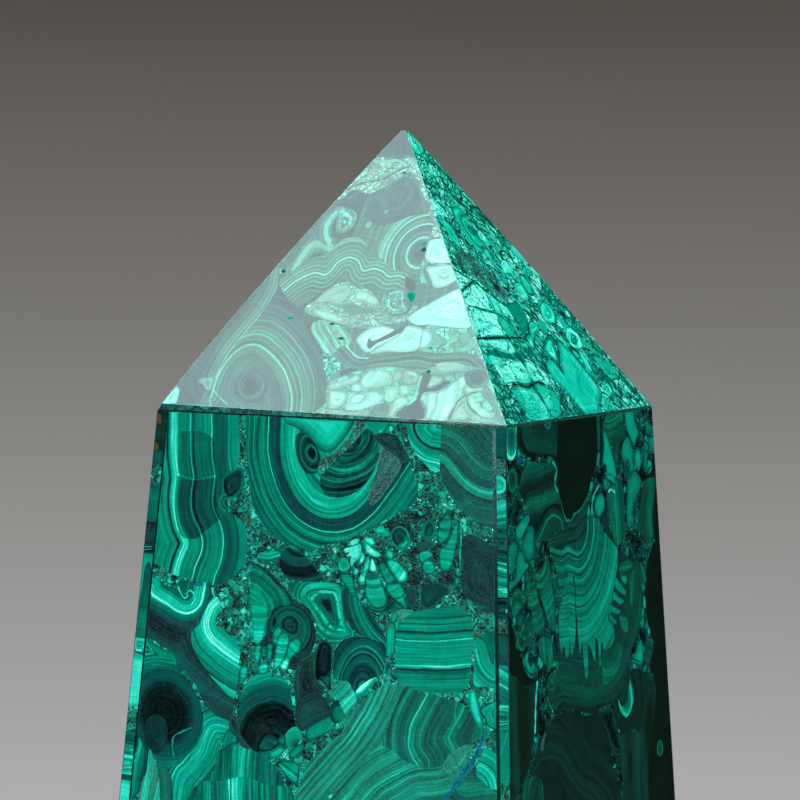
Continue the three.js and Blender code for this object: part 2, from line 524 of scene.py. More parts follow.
FRONT = [
    Stone("wavy", WAVY_LINE, (-36, -1), (-36, -1), (-18.2, -1), (-18.2, -1), (-17.8, 4), (-17.6, 7),
          (-18.3, 9.5), (-20.4, 11), (-21, 13), (-20.8, 15), (-19.6, 16.2), (-19.4, 17.6), (-18, 18.2),
          (-16.3, 19.5), (-15.6, 21), (-15.4, 24), (-15.6, 27), (-17.5, 29), (-19, 30.3), (-20.5, 31),
          (-23, 31.1), (-27, 30.4), (-31.4, 29.4), (-31.9, 28.7), (-38, 26.6), (-38, 26.6), lighter=0.02),
    Stone("wavy", WAVY_LINE, (-30.3, 3.5), (-30.3, 3.5), (-25.9, 3.2), (-25.9, 3.2), (-23.2, 4.6),
          (-22.7, 8), (-22.2, 11), (-22.2, 11), (-24.5, 11.6), (-26.7, 12), (-30.2, 11.2), (-30.2, 11.2),
          lighter=-0.09),
    Stone("wavy", WAVY_LINE, (-30.3, 11.6), (-30.3, 11.6), (-26.7, 12.3), (-22.1, 11.5), (-22.1, 11.5),
          (-21.9, 16), (-21.1, 19.3), (-21.1, 19.3), (-24.5, 21.8), (-24.5, 21.8), (-25.4, 22.8),
          (-28.4, 22.9), (-29.7, 21), (-30.5, 17), lighter=-0.2),
    chip("dark_cell", (-20.8, 11.5), (-19, 10.2), (-17.2, 9.5), (-16.5, 11), (-16.8, 13.4), (-18.5, 15.2),
         (-20.3, 15.3), (-21, 13.5), lighter=-0.06),
    Stone("loops", rings(-19.7, 16.1, 1.1, 60), (-21.8, 17.5), (-21.4, 14.9), (-20.4, 14.3), (-19.7, 14.9),
          (-19.9, 17.6), (-20.9, 18.4), lighter=-0.09),
    Stone("disc", DISC_LINE, (-16.8, -1), (-16.8, -1), (9, -1), (12.5, 1.8), (14.6, 3.2), (16.4, 6.4),
          (17.1, 8.5), (18.3, 11.5), (18.2, 13.6), (16, 15.3), (13, 17), (10, 18.6), (7, 20.3), (4, 21.8),
          (0.5, 22.6), (-1.5, 23.6), (-3, 23.8), (-5.5, 23.4), (-8, 22.5), (-10.5, 21.1), (-12.6, 19.1),
          (-14.4, 16.4), (-14.9, 14), (-15.6, 11), (-16.3, 6.5), lighter=0.07),
    Stone("disc_eye", rings(-3.1, 6.3, 1.5, 70), (-6.2, 3), (-4.4, 2.6), (-3, 3.8), (-2, 5.2), (-1.3, 7),
          (-1.4, 9), (-2.5, 10), (-4.3, 9.6), (-5.8, 7.5), (-6.4, 5), lighter=-0.12),
    Stone("disc_core", rings(4.6, 3.6, 1.3, -35), (-0.9, 9.8), (0.8, 8.3), (3, 5.9), (5.6, 3.4), (7.7, 1.3),
          (9.2, 2.3), (10.4, 4.4), (10.2, 7), (8.7, 10.2), (6.4, 12.6), (3.2, 13.9), (0.4, 13.7), (-1, 12),
          lighter=-0.09),
    Stone("grey_silk", DISC_LINE, (10.3, 3.8), (12.4, 5.4), (14.8, 7.1), (14.6, 8.6), (12.6, 11.6),
          (10.6, 14.2), (9, 15), (8.7, 12.4), (10, 9), (10.4, 6), lighter=0.02),
    chip("plum", (7.7, 1.2), (9.3, 2.3), (10.5, 1.9), (13.6, 2.3), (14.9, 3.8), (16.3, 6), (15.3, 7.2),
         (13.6, 6), (12, 5.1), (10.2, 3.6), lighter=0.02),
    Stone("pale", along((12, 3), (9.2, 2.2), (7.2, 1)), (7.7, -0.5), (11.4, -0.5), (10.9, 1.2), (9.5, 1.9),
          (8.3, 1.5), lighter=0.24),
    Stone("pale", along((-9, 1.2), (-6.4, 2), (-4.2, 3.4), (-2, 5.1), (-0.8, 5.9), (0.9, 5.9), (2.3, 4.7),
          (4.4, 2.1), (5.8, -1)), (-8.8, -1), (-8.8, -1), (5.7, -1), (5.7, -1), (4.3, 2), (2.2, 4.6),
          (0.8, 5.8), (-0.8, 5.8), (-2, 5), (-4, 3.2), (-6.4, 1.8), (-8.6, 1.1), (-8.6, 1.1),
          lighter=-0.12),
    chip("granite", (7.5, -0.4), (6.7, 2.2), (5.2, 4), (3, 6.2), (1, 8), (-0.5, 9.8), (-0.5, 9.8),
         (-1.2, 9.5), (-1.6, 8), (-0.7, 6.9), (0.8, 6.6), (2.2, 5.4), (4.4, 2.8), (5.9, -0.4)),
    Stone("bright_arcs", ARC_LINE, (15.2, -1), (15.2, -1), (22.3, -1), (22.3, -1), (22.5, 4), (22.4, 8.2),
          (22.4, 8.2), (21, 8.3), (19.6, 7.2), (17.6, 5.3), (16.2, 3), lighter=-0.02),
    Stone("teal_bands", ARC_LINE, (22.4, -1), (22.4, -1), (36, -1), (36, 16.5), (32, 17.6), (29.6, 16.9),
          (28.4, 15.6), (26.3, 14.6), (25, 12.8), (23.2, 10.2), (22.5, 8.2)),
    chip("plum", (22.8, 7.9), (24.6, 8.9), (27, 11.6), (28.2, 13.6), (26.8, 14.7), (25, 12.8), (23.3, 10.2),
         lighter=0.12),
    chip("dark_gravel", (3, 25), (5.4, 21.6), (9, 20.2), (12, 18), (15, 16.6), (19, 15), (23, 14.6),
         (26.6, 16), (27.6, 20), (27.4, 25), (26.4, 28), (25.6, 29.6), (22, 33), (19, 33.4), (16, 34),
         (12.6, 34), (9, 31.6), (6.4, 30), lighter=0.05),
    chip("dark_cell", (13.3, 20.4), (13.9, 18.9), (15.2, 18.4), (16.7, 19.2), (17.3, 20.8), (16.8, 22.2),
         (15.4, 22.6), (14, 21.8), lighter=0.01),
    Stone("leaf", rings(14.6, 19.4), (14.8, 21.8), (15.8, 21.2), (16.4, 20), (17, 20.6), (16.8, 21.8),
          (15.8, 22.6), lighter=0.1),
    chip("dark_cell", (19.4, 19.6), (19.8, 17.8), (21, 16.8), (22, 17.8), (22.2, 19.4), (21.4, 20.4),
         (20, 20.5), lighter=0.03),
    chip("pale", (19.7, 19.8), (20.8, 20.2), (21.9, 19.8), (21.5, 20.6), (20.3, 20.7), lighter=0.1),
    chip("plum", (18.4, 21.4), (19.6, 20.9), (21.6, 20.8), (21.9, 21.9), (20.4, 22.1), (19, 22.6)),
    chip("pale", (10, 19.4), (11, 18.6), (11.7, 18.4), (12.3, 19.2), (13.2, 19.7), (12.5, 20.5), (11.6, 20),
         (10.8, 20.1), lighter=0.2),
    chip("finger", (19, 23.1), (20.4, 22.3), (21.7, 22.7), (21.8, 23.8), (20.8, 24), (19.8, 25),
         (19.2, 24.2), lighter=0.03),
    Stone("finger", rings(20.8, 22.6), (19.7, 25.6), (20, 24.6), (21.1, 24), (22.1, 24.7), (22.5, 25.8),
          (21.7, 26.7), (20.5, 26.6), lighter=0.05),
    Stone("finger", rings(24, 14), (22.5, 20.2), (22.6, 18), (23.4, 16.4), (24.6, 15.8), (25.4, 17),
          (25, 19.4), (24, 21), (23, 21.4), lighter=-0.04),
    Stone("finger", rings(26, 12, 1.2, 100), (23.2, 22), (24.4, 20.9), (25.2, 19), (26, 17.4), (26.7, 18.4),
          (26.5, 21), (26, 23.8), (25.4, 25.6), (24.2, 26), (23.3, 25.4), (23, 23.6)),
    vein("bright", 0.3, (27, 16.6), (27.2, 20), (27.1, 22.4), (27.3, 24.8), lighter=-0.09),
    chip("leaf", (26.3, 25.4), (27.1, 25.1), (27.3, 26.4), (26.5, 26.6), lighter=0.25),
    chip("leaf", (26.4, 26.9), (27, 26.9), (27.2, 28.6), (26.6, 28.7), lighter=0.26),
    chip("ball", (3.1, 26), (3.5, 24.9), (4.4, 24.6), (5.2, 25.2), (5.7, 26.2), (5.2, 27), (4.1, 27.3),
         (3.4, 26.9), lighter=0.05),
    Stone("finger", rings(5, 22), (3.5, 27.9), (5.2, 27.4), (6.2, 28), (6.8, 29.8), (7.1, 31.8),
          (6.2, 31.4), (4.8, 29.8), lighter=-0.03),
    chip("leaf", (12.4, 23.4), (12.9, 22.5), (13.8, 22.8), (14.3, 23.7), (14, 24.6), (12.9, 24.5),
         lighter=0.2),
    Stone("finger", rings(9, 22, 1.2, 40), (11.1, 25.6), (12.2, 24.9), (13.4, 26.2), (14.7, 27.8),
          (14.1, 28.7), (12.9, 28.9), (12, 27.6), lighter=-0.06),
    Stone("finger", rings(10, 22.5, 1.2, 40), (12.7, 24.7), (14.3, 24.5), (15.8, 25.3), (17, 26.8),
          (17, 28.1), (15.9, 28.5), (14.6, 27.6), (13.5, 26.2), lighter=0.15),
    Stone("finger", rings(10, 22, 1.2, 40), (14.5, 31.3), (16.4, 30.8), (17.1, 32), (17.3, 33.1),
          (15.9, 32.4), lighter=0.02),
    Stone("finger", rings(11, 24, 1.2, 50), (12.7, 29.2), (14.2, 28.7), (15.6, 28.6), (16.6, 29.8),
          (16.4, 31), (15, 31.5), (13.7, 30.9), lighter=0.03),
    Stone("deep", along((13, 34), (16, 31.6)), (13.3, 31.8), (14.6, 31.8), (15.6, 33), (13.2, 34),
          (12.7, 33.6), lighter=0.03),
    Stone("finger", rings(10, 27), (9, 32.6), (11, 33.2), (13.1, 32.6), (12.9, 33.7), (11.7, 34.2),
          (10, 33.7), lighter=0.02),
    Stone("finger", rings(10.3, 25.2), (8.7, 29), (8.9, 27.5), (9.9, 27), (11.2, 27.2), (12, 28.4),
          (12.7, 30), (13.3, 31.6), (12.9, 32.9), (11.6, 33.5), (10, 32.9), (8.9, 31.2), lighter=0.04),
    chip("night", (9, 27.8), (9.8, 27), (11, 27.2), (11.5, 28), (10.2, 28.4), (9.2, 28.5), lighter=-0.1),
    chip("petals", (7.3, 21.1), (6, 21.3), (4.9, 22.3), (5.7, 22.5), (7, 22), lighter=-0.06),
    chip("petals", (7.5, 21.9), (6.2, 22.5), (4.3, 23.1), (4.6, 23.7), (5.4, 23.6), (4.8, 24.4),
         (5.7, 24.4), (5.6, 25.4), (5.9, 26.2), (6.7, 25.2), (7.5, 24.6), (7.8, 23.2), step=0.2,
         lighter=-0.08),
    chip("petals", (8.1, 20.9), (9.5, 20.7), (10.3, 21.6), (10.3, 22.4), (9.3, 22.1), (8.5, 21.6)),
    chip("petals", (7.9, 21.5), (8.3, 22.6), (8.7, 23.6), (9.6, 24), (10.5, 24.2), (11.7, 24), (11, 23.2),
         (10.2, 22.8), (9.3, 22.1), (8.6, 21.6), step=0.2, lighter=-0.05),
    chip("petals", (7.8, 23.4), (7.5, 24.7), (7.2, 25.9), (7.8, 25.6), (8.4, 24.8), (8.2, 23.8),
         lighter=0.03),
    chip("petals", (9, 24.2), (8.4, 25.5), (8.3, 26.6), (7.5, 28), (7.4, 28.7), (8.5, 29), (8.7, 27.6),
         (9.3, 26.3), (9.6, 25.1), lighter=-0.03),
    chip("petals", (9.8, 24.4), (9.5, 25.6), (9.5, 26.7), (10.9, 26.9), (10.8, 25.9), (10.3, 24.9),
         lighter=0.03),
    chip("petals", (6.4, 26.4), (6.4, 27.6), (6.9, 28.1), (7.3, 27.2), (7, 26.4), lighter=-0.02),
    chip("plum", (17.2, 29.2), (18.8, 28.9), (19, 31), (18.6, 32.8), (17.6, 32.8), (16.9, 31),
         lighter=0.04),
    chip("plum", (27.4, 21), (28.5, 19.2), (30.5, 19.6), (33.4, 20.8), (36, 20), (36, 33), (33.9, 32.8),
         (32, 32), (30, 31.2), (28.3, 30), (27.5, 28), (27.6, 24.5), lighter=0.03),
    chip("plum", (19.8, 29.6), (20.8, 28.4), (22.6, 27.9), (24.6, 28.5), (25.5, 29.5), (24, 30.9),
         (22.4, 32.7), (20.2, 32.8), lighter=0.01),
    chip("cave", (20.2, 29.8), (21, 28.8), (22.8, 28.3), (24.3, 28.9), (24.8, 29.6), (23.4, 30.8),
         (22, 32.3), (20.5, 32.4), lighter=-0.03),
    chip("grey_silk", (14.4, 34.2), (15.8, 33.3), (17.4, 33.3), (18.5, 33.4), (18.4, 34.4), (17, 35.2),
         (15.4, 35.4), lighter=0.2),
    chip("pale", (14.1, 35.2), (14.4, 34), (15.1, 33.6), (15.6, 34.6), (15.1, 35.6), (14.6, 36),
         lighter=0.02),
    chip("rust", (-15.4, 18.6), (-14.8, 18.4), (-14.5, 19.2), (-15.1, 19.4)),
    chip("rust", (-17.8, 7.7), (-17.3, 7.6), (-17.2, 8.3), (-17.7, 8.4)),
    chip("rust", (-20.9, 38.2), (-20.2, 38.1), (-20.1, 38.9), (-20.8, 39)),
    chip("rust", (30.6, 36.7), (31.4, 36.6), (31.3, 37.3), (30.7, 37.4)),
    chip("rust", (30.6, 61.2), (31.2, 61), (31.4, 61.8), (30.8, 62)),
    chip("rust", (11.8, 35.6), (12.3, 35.5), (12.3, 36), (11.9, 36)),
    Stone("striped", along((14, 37), (17, 37.2), (22, 37.1), (26, 36.7), (31, 36)), (15.6, 36.5),
          (17, 34.7), (18.5, 33.6), (22, 32.8), (26.5, 32), (29, 33), (30.3, 35.3), (30.3, 35.3),
          (30.4, 38), (30.2, 43), (30, 45.3), (29, 46.8), (26, 47.5), (21.5, 47.8), (18.5, 47.2),
          (16.3, 46.4), (15.7, 45), (15.3, 41)),
    Stone("night", U_LINE, (-36, 33), (-34, 34), (-30, 36), (-26, 36), (-23.8, 33), (-23.2, 31),
          (-22.1, 31), (-22, 32.5), (-21.6, 33.3), (-23, 35.5), (-24, 38), (-25.6, 39.8), (-26, 41.5),
          (-28, 44), (-31.5, 43.2), (-33.5, 42), (-37, 40.4), lighter=-0.1),
    Stone("night", SWIRL_LINE, (-24.5, 37.5), (-26, 39), (-27.8, 41), (-28.8, 43.3), (-28.7, 44.8),
          (-27, 47), (-24.3, 50), (-22.5, 53.2), (-20.5, 55.4), (-17.3, 56.2), (-16.6, 52), (-16.5, 50),
          (-20, 47), (-24, 43), lighter=-0.06),
    Stone("u_bands", U_LINE, (-34.9, 30.9), (-33.2, 30.6), (-32.2, 31.5), (-31, 32), (-29.5, 31.5),
          (-29, 30.9), (-28, 30.5), (-26, 31.3), (-24.3, 31.6), (-24, 30.9), (-23.2, 30.9), (-23.1, 32.5),
          (-23.6, 34.8), (-24.6, 36.6), (-26, 37.6), (-28, 38.2), (-30, 37.7), (-32, 36.6), (-34, 35.5),
          (-35.6, 34.6), (-35.3, 32), lighter=-0.04),
    vein("bright", 0.3, (-29.1, 31.8), (-28.5, 33), (-27.6, 34), (-26.9, 33.4), (-27.2, 32.9),
         (-26.5, 32.4), (-25.7, 33), (-25.6, 34.2), (-26.3, 35.2), lighter=0.05),
    Stone("swirl", SWIRL_LINE, (-21.2, 33.2), (-22.6, 34.5), (-23.6, 36.5), (-24.4, 38.5), (-25.6, 39.7),
          (-25.9, 41.3), (-25.2, 43.3), (-23.8, 45.2), (-22, 47.3), (-20, 49.2), (-18, 50.8), (-16.6, 51.6),
          (-16.2, 50), (-15.9, 47), (-15.9, 45), (-15.7, 43), (-16.4, 41.6), (-17, 40.3), (-18.5, 40),
          (-19.5, 38.7), (-20.7, 38.6), (-21, 37.2), (-20.3, 36), (-19.9, 35), (-20.3, 34.2),
          lighter=-0.03),
    vein("bright", 0.45, (-22, 31.6), (-21.8, 32.8), (-21.2, 33.7)),
    Stone("nested_lines", nested((-37, 40.2), (-34.5, 41.7), (-32.5, 42.9), (-30.5, 43.6), (-29, 43.7),
          (-28.5, 45), (-27.5, 46.9), (-29.5, 46.6), (-31.5, 46.4), (-33.5, 46.4), (-37.5, 47)),
          (-37, 40.3), (-34.5, 41.9), (-32.5, 43), (-30.5, 43.6), (-29, 43.7), (-28.7, 44.8), (-28, 46.2),
          (-26.6, 47.6), (-25.3, 48.9), (-26.5, 48.3), (-28, 47.2), (-29.5, 46.7), (-31.5, 46.4),
          (-33.5, 46.4), (-37, 46.9), lighter=-0.07),
    vein("bright", 0.22, (-35.6, 44.7), (-34.2, 44.5), (-33.6, 44.3), (-34.1, 43.7), (-34.9, 42.8),
         lighter=-0.06),
    Stone("black_ball", rings(-30.6, 55.2, 1.04, 60), (-38, 47), (-35, 46.6), (-32, 46.5), (-29.5, 46.8),
          (-27, 48.2), (-24.7, 50.7), (-23.1, 53.7), (-22.6, 57), (-23.3, 60), (-25, 62.2), (-27.5, 64.3),
          (-30, 65), (-33, 63), (-37, 60), lighter=-0.03),
    vein("dim", 0.35, (-28.4, 63), (-28.8, 61), (-28.6, 59.3), (-27.3, 58.5), (-25, 57.4), lighter=0.27),
    Stone("black_ball", rings(-32.3, 59.2, 1.5, 80), (-34.6, 57.5), (-33.6, 56), (-32, 55.6), (-30.6, 56.4),
          (-29.9, 58.5), (-30.3, 61), (-31.5, 62.6), (-33.3, 62.3), (-34.6, 60.5), lighter=0.08),
    Stone("flow", FLOW_LINE, (-22.5, 53.4), (-20, 55), (-17.4, 55.8), (-17.3, 58.5), (-18.5, 59.5),
          (-19.3, 61.5), (-20.2, 64.5), (-22, 66.5), (-24.5, 69.5), (-26, 79.6), (-28.5, 78.7), (-28.2, 70),
          (-29.3, 66), (-26, 63), (-23.5, 60), (-22.6, 57), lighter=-0.06),
    Stone("bold", along((-35, 58), (-35.2, 63), (-36, 68), (-37.5, 74)), (-38, 59.5), (-36, 59.8),
          (-34.4, 61.6), (-33.4, 63), (-33.9, 66), (-35, 69.5), (-37, 73), (-39, 83.3), (-40, 70),
          lighter=-0.08),
    Stone("night", along((-31, 64), (-29.8, 68), (-29.6, 76)), (-31.6, 64), (-30.5, 64.5), (-29.3, 66),
          (-28.4, 68.5), (-28.2, 78.9), (-31.2, 74.2), (-31, 69), (-31.3, 66), lighter=-0.08),
    Stone("grey_fan", along((-33.2, 61), (-33, 65), (-33.8, 70), (-35.5, 81.9)), (-33.5, 62), (-32.6, 63.5),
          (-31.8, 65.5), (-31.2, 68), (-31, 70), (-31.2, 74.2), (-37.5, 85.4), (-35.2, 70), (-34, 66),
          lighter=-0.05),
    Stone("pillars", along((-14.6, 58), (-14.8, 66), (-14, 80.7)), (-19, 61), (-17, 60.3), (-12.5, 60),
          (-10.5, 61), (-8, 63), (-5.5, 66), (-3.5, 68.5), (-3, 75.1), (-27, 78.6), (-24.8, 70), (-22, 67),
          (-20, 64.5), lighter=-0.06),
    Stone("pillars", along((-15.6, 58), (-15.8, 66), (-15, 77.6)), (-23, 66.9), (-23, 66.9), (-19, 66.7),
          (-14, 65.6), (-9, 66.6), (-5, 66.6), (-5, 66.6), (-3, 75.1), (-3, 75.1), (-26, 79.6), (-26, 79.6),
          lighter=0.02),
    Stone("leaf", along((-18, 61), (-17, 57)), (-18.6, 61), (-18.2, 58.2), (-17, 57), (-15.7, 58),
          (-15.6, 59.4), (-16.8, 60), lighter=0.05),
    chip("plum", (-17.3, 55.5), (-16.4, 54.6), (-15.2, 56.8), (-14, 59), (-12.8, 60.4), (-14.5, 60.2),
         (-15.7, 58.6), (-17.2, 57.3), lighter=-0.01),
    Stone("dome", DOME_LINE, (-15.6, 55), (-15.2, 51), (-14.2, 48.5), (-12.5, 47), (-10, 46.3),
          (-7.5, 46.7), (-5.8, 48), (-5, 50.5), (-4.2, 54), (-3.7, 57.2), (-5, 59.4), (-9, 60.8),
          (-12, 60.7), (-14.3, 58.6), (-15.3, 57), lighter=-0.04),
    chip("slate", (-13, 56.6), (-11.8, 55.4), (-10.3, 54.9), (-8.8, 55.6), (-8.1, 57), (-9, 58.4),
         (-11, 58.2), lighter=-0.11),
    Stone("finger", rings(-9, 60, 1.3), (-11.3, 60.4), (-10.9, 58.6), (-9.6, 57.3), (-8, 57.4), (-7, 58.3),
          (-7.5, 59.6), (-9.5, 60.6), lighter=-0.3),
    Stone("pale", rings(-3.5, 59, 1.2), (-5.9, 57.4), (-4.6, 55.9), (-3.1, 56), (-2.5, 57.3), (-3.2, 58.8),
          (-4.6, 59.7), (-5.6, 58.9), lighter=-0.22),
    chip("finger", (-7.3, 58.2), (-6.3, 57.2), (-5.7, 58.3), (-6, 59.4), (-7, 59.1), lighter=-0.08),
    chip("pale", (-9.6, 61.3), (-8, 60.2), (-6.8, 59.5), (-5.7, 60), (-6.8, 61.3), (-8.2, 61.8),
         lighter=0.07),
    chip("finger", (-5, 60.5), (-3.6, 59.2), (-2.2, 58.4), (-2, 59.6), (-3.4, 61), (-4.5, 61.6),
         lighter=0.01),
    Stone("finger", along((-7, 63), (-3, 65.5)), (-7.2, 62.3), (-4.8, 62), (-2.9, 62.8), (-2.9, 65.3),
          (-4, 66), (-6, 64.2)),
    Stone("striped_small", along((-13, 25.4), (-11, 25.5), (-8.5, 24.8)), (-13.2, 25.2), (-12.4, 24.7),
          (-10.5, 24.3), (-8.7, 24.4), (-8.4, 25), (-9, 25.8), (-10.5, 26.3), (-12, 26.1), (-13, 25.7)),
    Stone("dark_arcs", rings(-4.8, 22.6, 1.25), (-8.3, 24.6), (-7.5, 23.7), (-6, 23.7), (-3.5, 24.9),
          (-1.7, 26.5), (-0.3, 28), (0.5, 28.9), (-0.5, 29.3), (-2, 29.4), (-4, 29.5), (-6, 29.2),
          (-7.6, 28.3), (-8.6, 26.8), lighter=-0.03),
    Stone("kite_ground", nested((-3.6, 32.2), (-3, 30.8), (-1.5, 30.1), (1, 29.9), (3.2, 30.2), (3.6, 31.5),
          (3.9, 33.5), (4.3, 35.5), (4.7, 37.4), (5.6, 38.3), (4, 38.6), (2.5, 38.6), (1, 38), (0, 37),
          (-1, 35.5), (-2.5, 33.8)), (-7, 29.8), (-5.5, 29.7), (-3.5, 29.7), (-0.5, 29.4), (1.5, 29.3),
          (3.8, 29.7), (4.2, 31), (4.3, 33.5), (5, 35.5), (6.5, 37.5), (8.1, 38.4), (8, 38.7), (6.5, 38.8),
          (5, 39.3), (4, 39.9), (3.2, 40.7), (2.2, 39.7), (1, 39.4), (0, 39.7), (-0.7, 40), (-0.5, 38),
          (-1, 36), (-2.5, 34), (-4.5, 33), (-5.5, 32), (-6, 31), lighter=-0.03),
    Stone("kite", nested((-1.8, 32.6), (-1, 31.6), (0.2, 31.1), (1.5, 31), (2.8, 31.2), (3.2, 32),
          (3.7, 34), (4.2, 36), (4.7, 37.5), (3.5, 37.6), (2.3, 37.3), (1.3, 36.2), (0, 34.8), (-1, 33.7)),
          (-2.1, 32.5), (-1.2, 31.3), (0.2, 30.8), (1.6, 30.7), (3, 30.9), (3.4, 32), (3.9, 34), (4.4, 36),
          (5, 37.7), (3.5, 37.9), (2.1, 37.6), (1.1, 36.4), (-0.2, 35), (-1.3, 33.9), lighter=-0.09),
    Stone("fan", FAN_LINE, (4.2, 29.7), (6, 31), (8, 32.4), (9.3, 33.6), (11, 35.3), (12.4, 37),
          (13.2, 38.4), (13.3, 39.9), (12, 39.5), (10.5, 38.8), (9, 38.6), (8.2, 38.4), (6.6, 37.3),
          (5.2, 35.3), (4.4, 33), (4.2, 31), lighter=-0.07),
    Stone("night", rings(-5.5, 38, 1.2, 45), (-14.3, 26.9), (-12.5, 27), (-10.5, 28), (-8.5, 29.8),
          (-6.8, 31.3), (-5.3, 33), (-3.5, 33.8), (-2, 35.3), (-1, 37.3), (-0.6, 39.5), (-1.2, 41.7),
          (-2.2, 43.3), (-3.2, 45), (-5.2, 45.5), (-9, 44), (-12, 42), (-12.5, 36), (-13, 30),
          lighter=-0.05),
    Stone("cloud", rings(-14.8, 35.8), (-14.2, 27.4), (-12.8, 27.5), (-11, 28.5), (-9.5, 30), (-7.5, 31.3),
          (-6.3, 32.6), (-5.9, 33.8), (-8, 34), (-9.5, 34.8), (-9.9, 36), (-10.5, 37.5), (-11, 40),
          (-13.4, 41), (-14, 38), (-14.2, 34), lighter=-0.04),
    Stone("column", rings(-12.6, 29, 1.1, 90), (-14.1, 34.6), (-12.5, 34), (-10.8, 34.5), (-10.3, 35.5),
          (-10.8, 38), (-11.4, 40.5), (-12.4, 41.3), (-13.2, 40.5), (-13.5, 38)),
    Stone("bulb", rings(-6, 38.4), (-9.8, 36), (-9, 35), (-7.5, 34.3), (-5.5, 33.9), (-3.5, 34.6),
          (-2, 36.1), (-1.4, 38), (-1.5, 40), (-2.3, 41.5), (-3.2, 42), (-3.4, 40), (-4, 39.2), (-5, 39.5),
          (-7.3, 38.8), (-8.2, 38.2), (-9.5, 39), (-10, 38), lighter=-0.03),
    chip("dark_cell", (-8, 38.3), (-8.2, 37), (-7.2, 35.8), (-5.5, 35.4), (-4, 36.6), (-3.8, 38),
         (-4.2, 39.3), (-6, 39.5), (-7.4, 38.7), lighter=-0.03),
    chip("dark_cell", (-9.8, 38.8), (-9.9, 37), (-9.4, 35.9), (-8.4, 35.6), (-8.3, 37), (-9, 38.4),
         lighter=-0.13),
    Stone("finger", rings(-8, 34), (-9.4, 39.3), (-8.1, 37.6), (-7.3, 38.8), (-7.9, 40.4), (-8.9, 41.6),
          lighter=0.02),
    Stone("finger", rings(-7.4, 34), (-8.3, 39.8), (-7.2, 38.7), (-6, 39.2), (-6, 41.5), (-7, 44.2),
          (-8, 45.6), (-9.1, 47.2), (-8.9, 44), (-8.6, 41.8), lighter=0.08),
    Stone("finger", rings(-3, 38), (-6.4, 41.8), (-5.5, 40.2), (-4.2, 39.6), (-3.4, 40.3), (-3.6, 41.8),
          (-5, 43.2), (-6.2, 44), lighter=0.04),
    Stone("finger", rings(-5, 40), (-7.6, 45.2), (-6.5, 43.2), (-5.6, 43), (-5.8, 44.6), (-6.5, 45.8),
          lighter=0.25),
    Stone("finger", rings(-12, 37), (-12.8, 42), (-11.6, 41.4), (-11.7, 44), (-12.3, 45.8), (-12.8, 44.5),
          lighter=0.15),
    Stone("finger", rings(-10.8, 37), (-11.4, 41.4), (-10.3, 41.4), (-10.4, 43.4), (-11, 44.2), (-11.5, 43),
          lighter=-0.06),
    Stone("finger", rings(-9.8, 38), (-10.4, 41.6), (-9.3, 41.2), (-9.2, 43), (-9.6, 45), (-10.2, 44.6),
          lighter=0.01),
    Stone("finger", rings(-11.6, 40), (-12, 45.6), (-11, 44.4), (-10, 44.8), (-10, 46.4), (-11.6, 46.8),
          lighter=0.1),
    Stone("finger", rings(-14.5, 40), (-15.7, 46.5), (-15, 44.9), (-14.2, 45), (-14, 47), (-14.9, 48.8),
          (-15.6, 48.4), lighter=0.09),
    Stone("arch", rings(9.2, 48, 1.5, 90), (3.3, 46.3), (3.1, 43), (3.4, 41.5), (4.2, 40.1), (5.5, 39.2),
          (7.5, 38.7), (9.5, 38.7), (11.5, 39.2), (13.3, 40), (13.4, 43), (12.9, 45), (11.5, 46.3),
          (10, 47.8), (8.5, 49), (7, 48.5), (5.5, 47), (4.3, 46.8), lighter=-0.04),
    Stone("pale", along((7.6, 49.5), (9.2, 48.9), (10.6, 47.4), (12, 45.7)), (7.8, 48.6), (9, 47.3),
          (10.5, 46.2), (11.9, 45.7), (11.4, 46.8), (10, 48.2), (8.8, 49.5), (8.2, 49.6), lighter=0.28),
    Stone("chip_bands", along((3, 50), (6.5, 46.5)), (3.4, 49), (4.3, 47.6), (5, 46.9), (6.2, 46.9),
          (7.2, 48.2), (8.2, 50.2), (7.5, 51.3), (6.8, 52.6), (6, 52.8), (5.2, 51.6), lighter=-0.06),
    chip("dark_cell", (-0.8, 45), (-0.6, 42), (0.2, 40.2), (1.3, 39.7), (2.5, 40.4), (3, 42), (3, 45),
         (2.4, 46.4), (1, 46.8), (-0.4, 48), lighter=-0.15),
    chip("night", (-3.8, 44), (-2, 42.8), (-0.7, 42), (-0.6, 45), (0, 47), (1.6, 48.4), (1, 49.8),
         (-1, 50.6), (-3.6, 52.2), (-4.4, 50), (-4.6, 47), lighter=-0.24),
    chip("finger", (0.3, 46.8), (1.5, 46.3), (2.2, 45.2), (2.7, 46.5), (2.8, 48.7), (2, 48.2), (1.2, 47.3),
         lighter=-0.22),
    chip("slate", (-4.2, 53), (-3.4, 51), (-1.5, 49.9), (0.5, 49.6), (2.2, 50.4), (3, 52.3), (2.4, 53.6),
         (0.5, 54.4), (-1.2, 55.6), (-2.5, 56.5), (-3.7, 55.5), lighter=0.03),
    Stone("finger", nested((-1.4, 56.6), (-0.4, 55.5), (1, 54.6), (2.6, 54.3), (1.6, 55.4), (0, 56.6),
          (-1, 57.2)), (-1.9, 56.8), (-1.2, 55.5), (0.4, 54.4), (2.3, 53.5), (3.6, 53.2), (4.2, 54.4),
          (3, 56.1), (1, 57.2), (-1, 58.3), lighter=-0.07),
    Stone("dark_arcs", rings(4.9, 52.8), (2.8, 52.3), (3.3, 50.8), (4.2, 50.2), (5, 51.4), (5.8, 52.8),
          (5.4, 54), (4, 54.6), (3, 53.8)),
    Stone("bundle", BUNDLE_LINE, (-6, 77.6), (-4, 70), (-3, 67.5), (-1.5, 63), (0, 61), (2.5, 58.5),
          (5, 56.5), (6, 55), (6.5, 53.3), (8, 51.5), (10, 49.5), (11.5, 48.3), (13, 47.3), (15.5, 46.8),
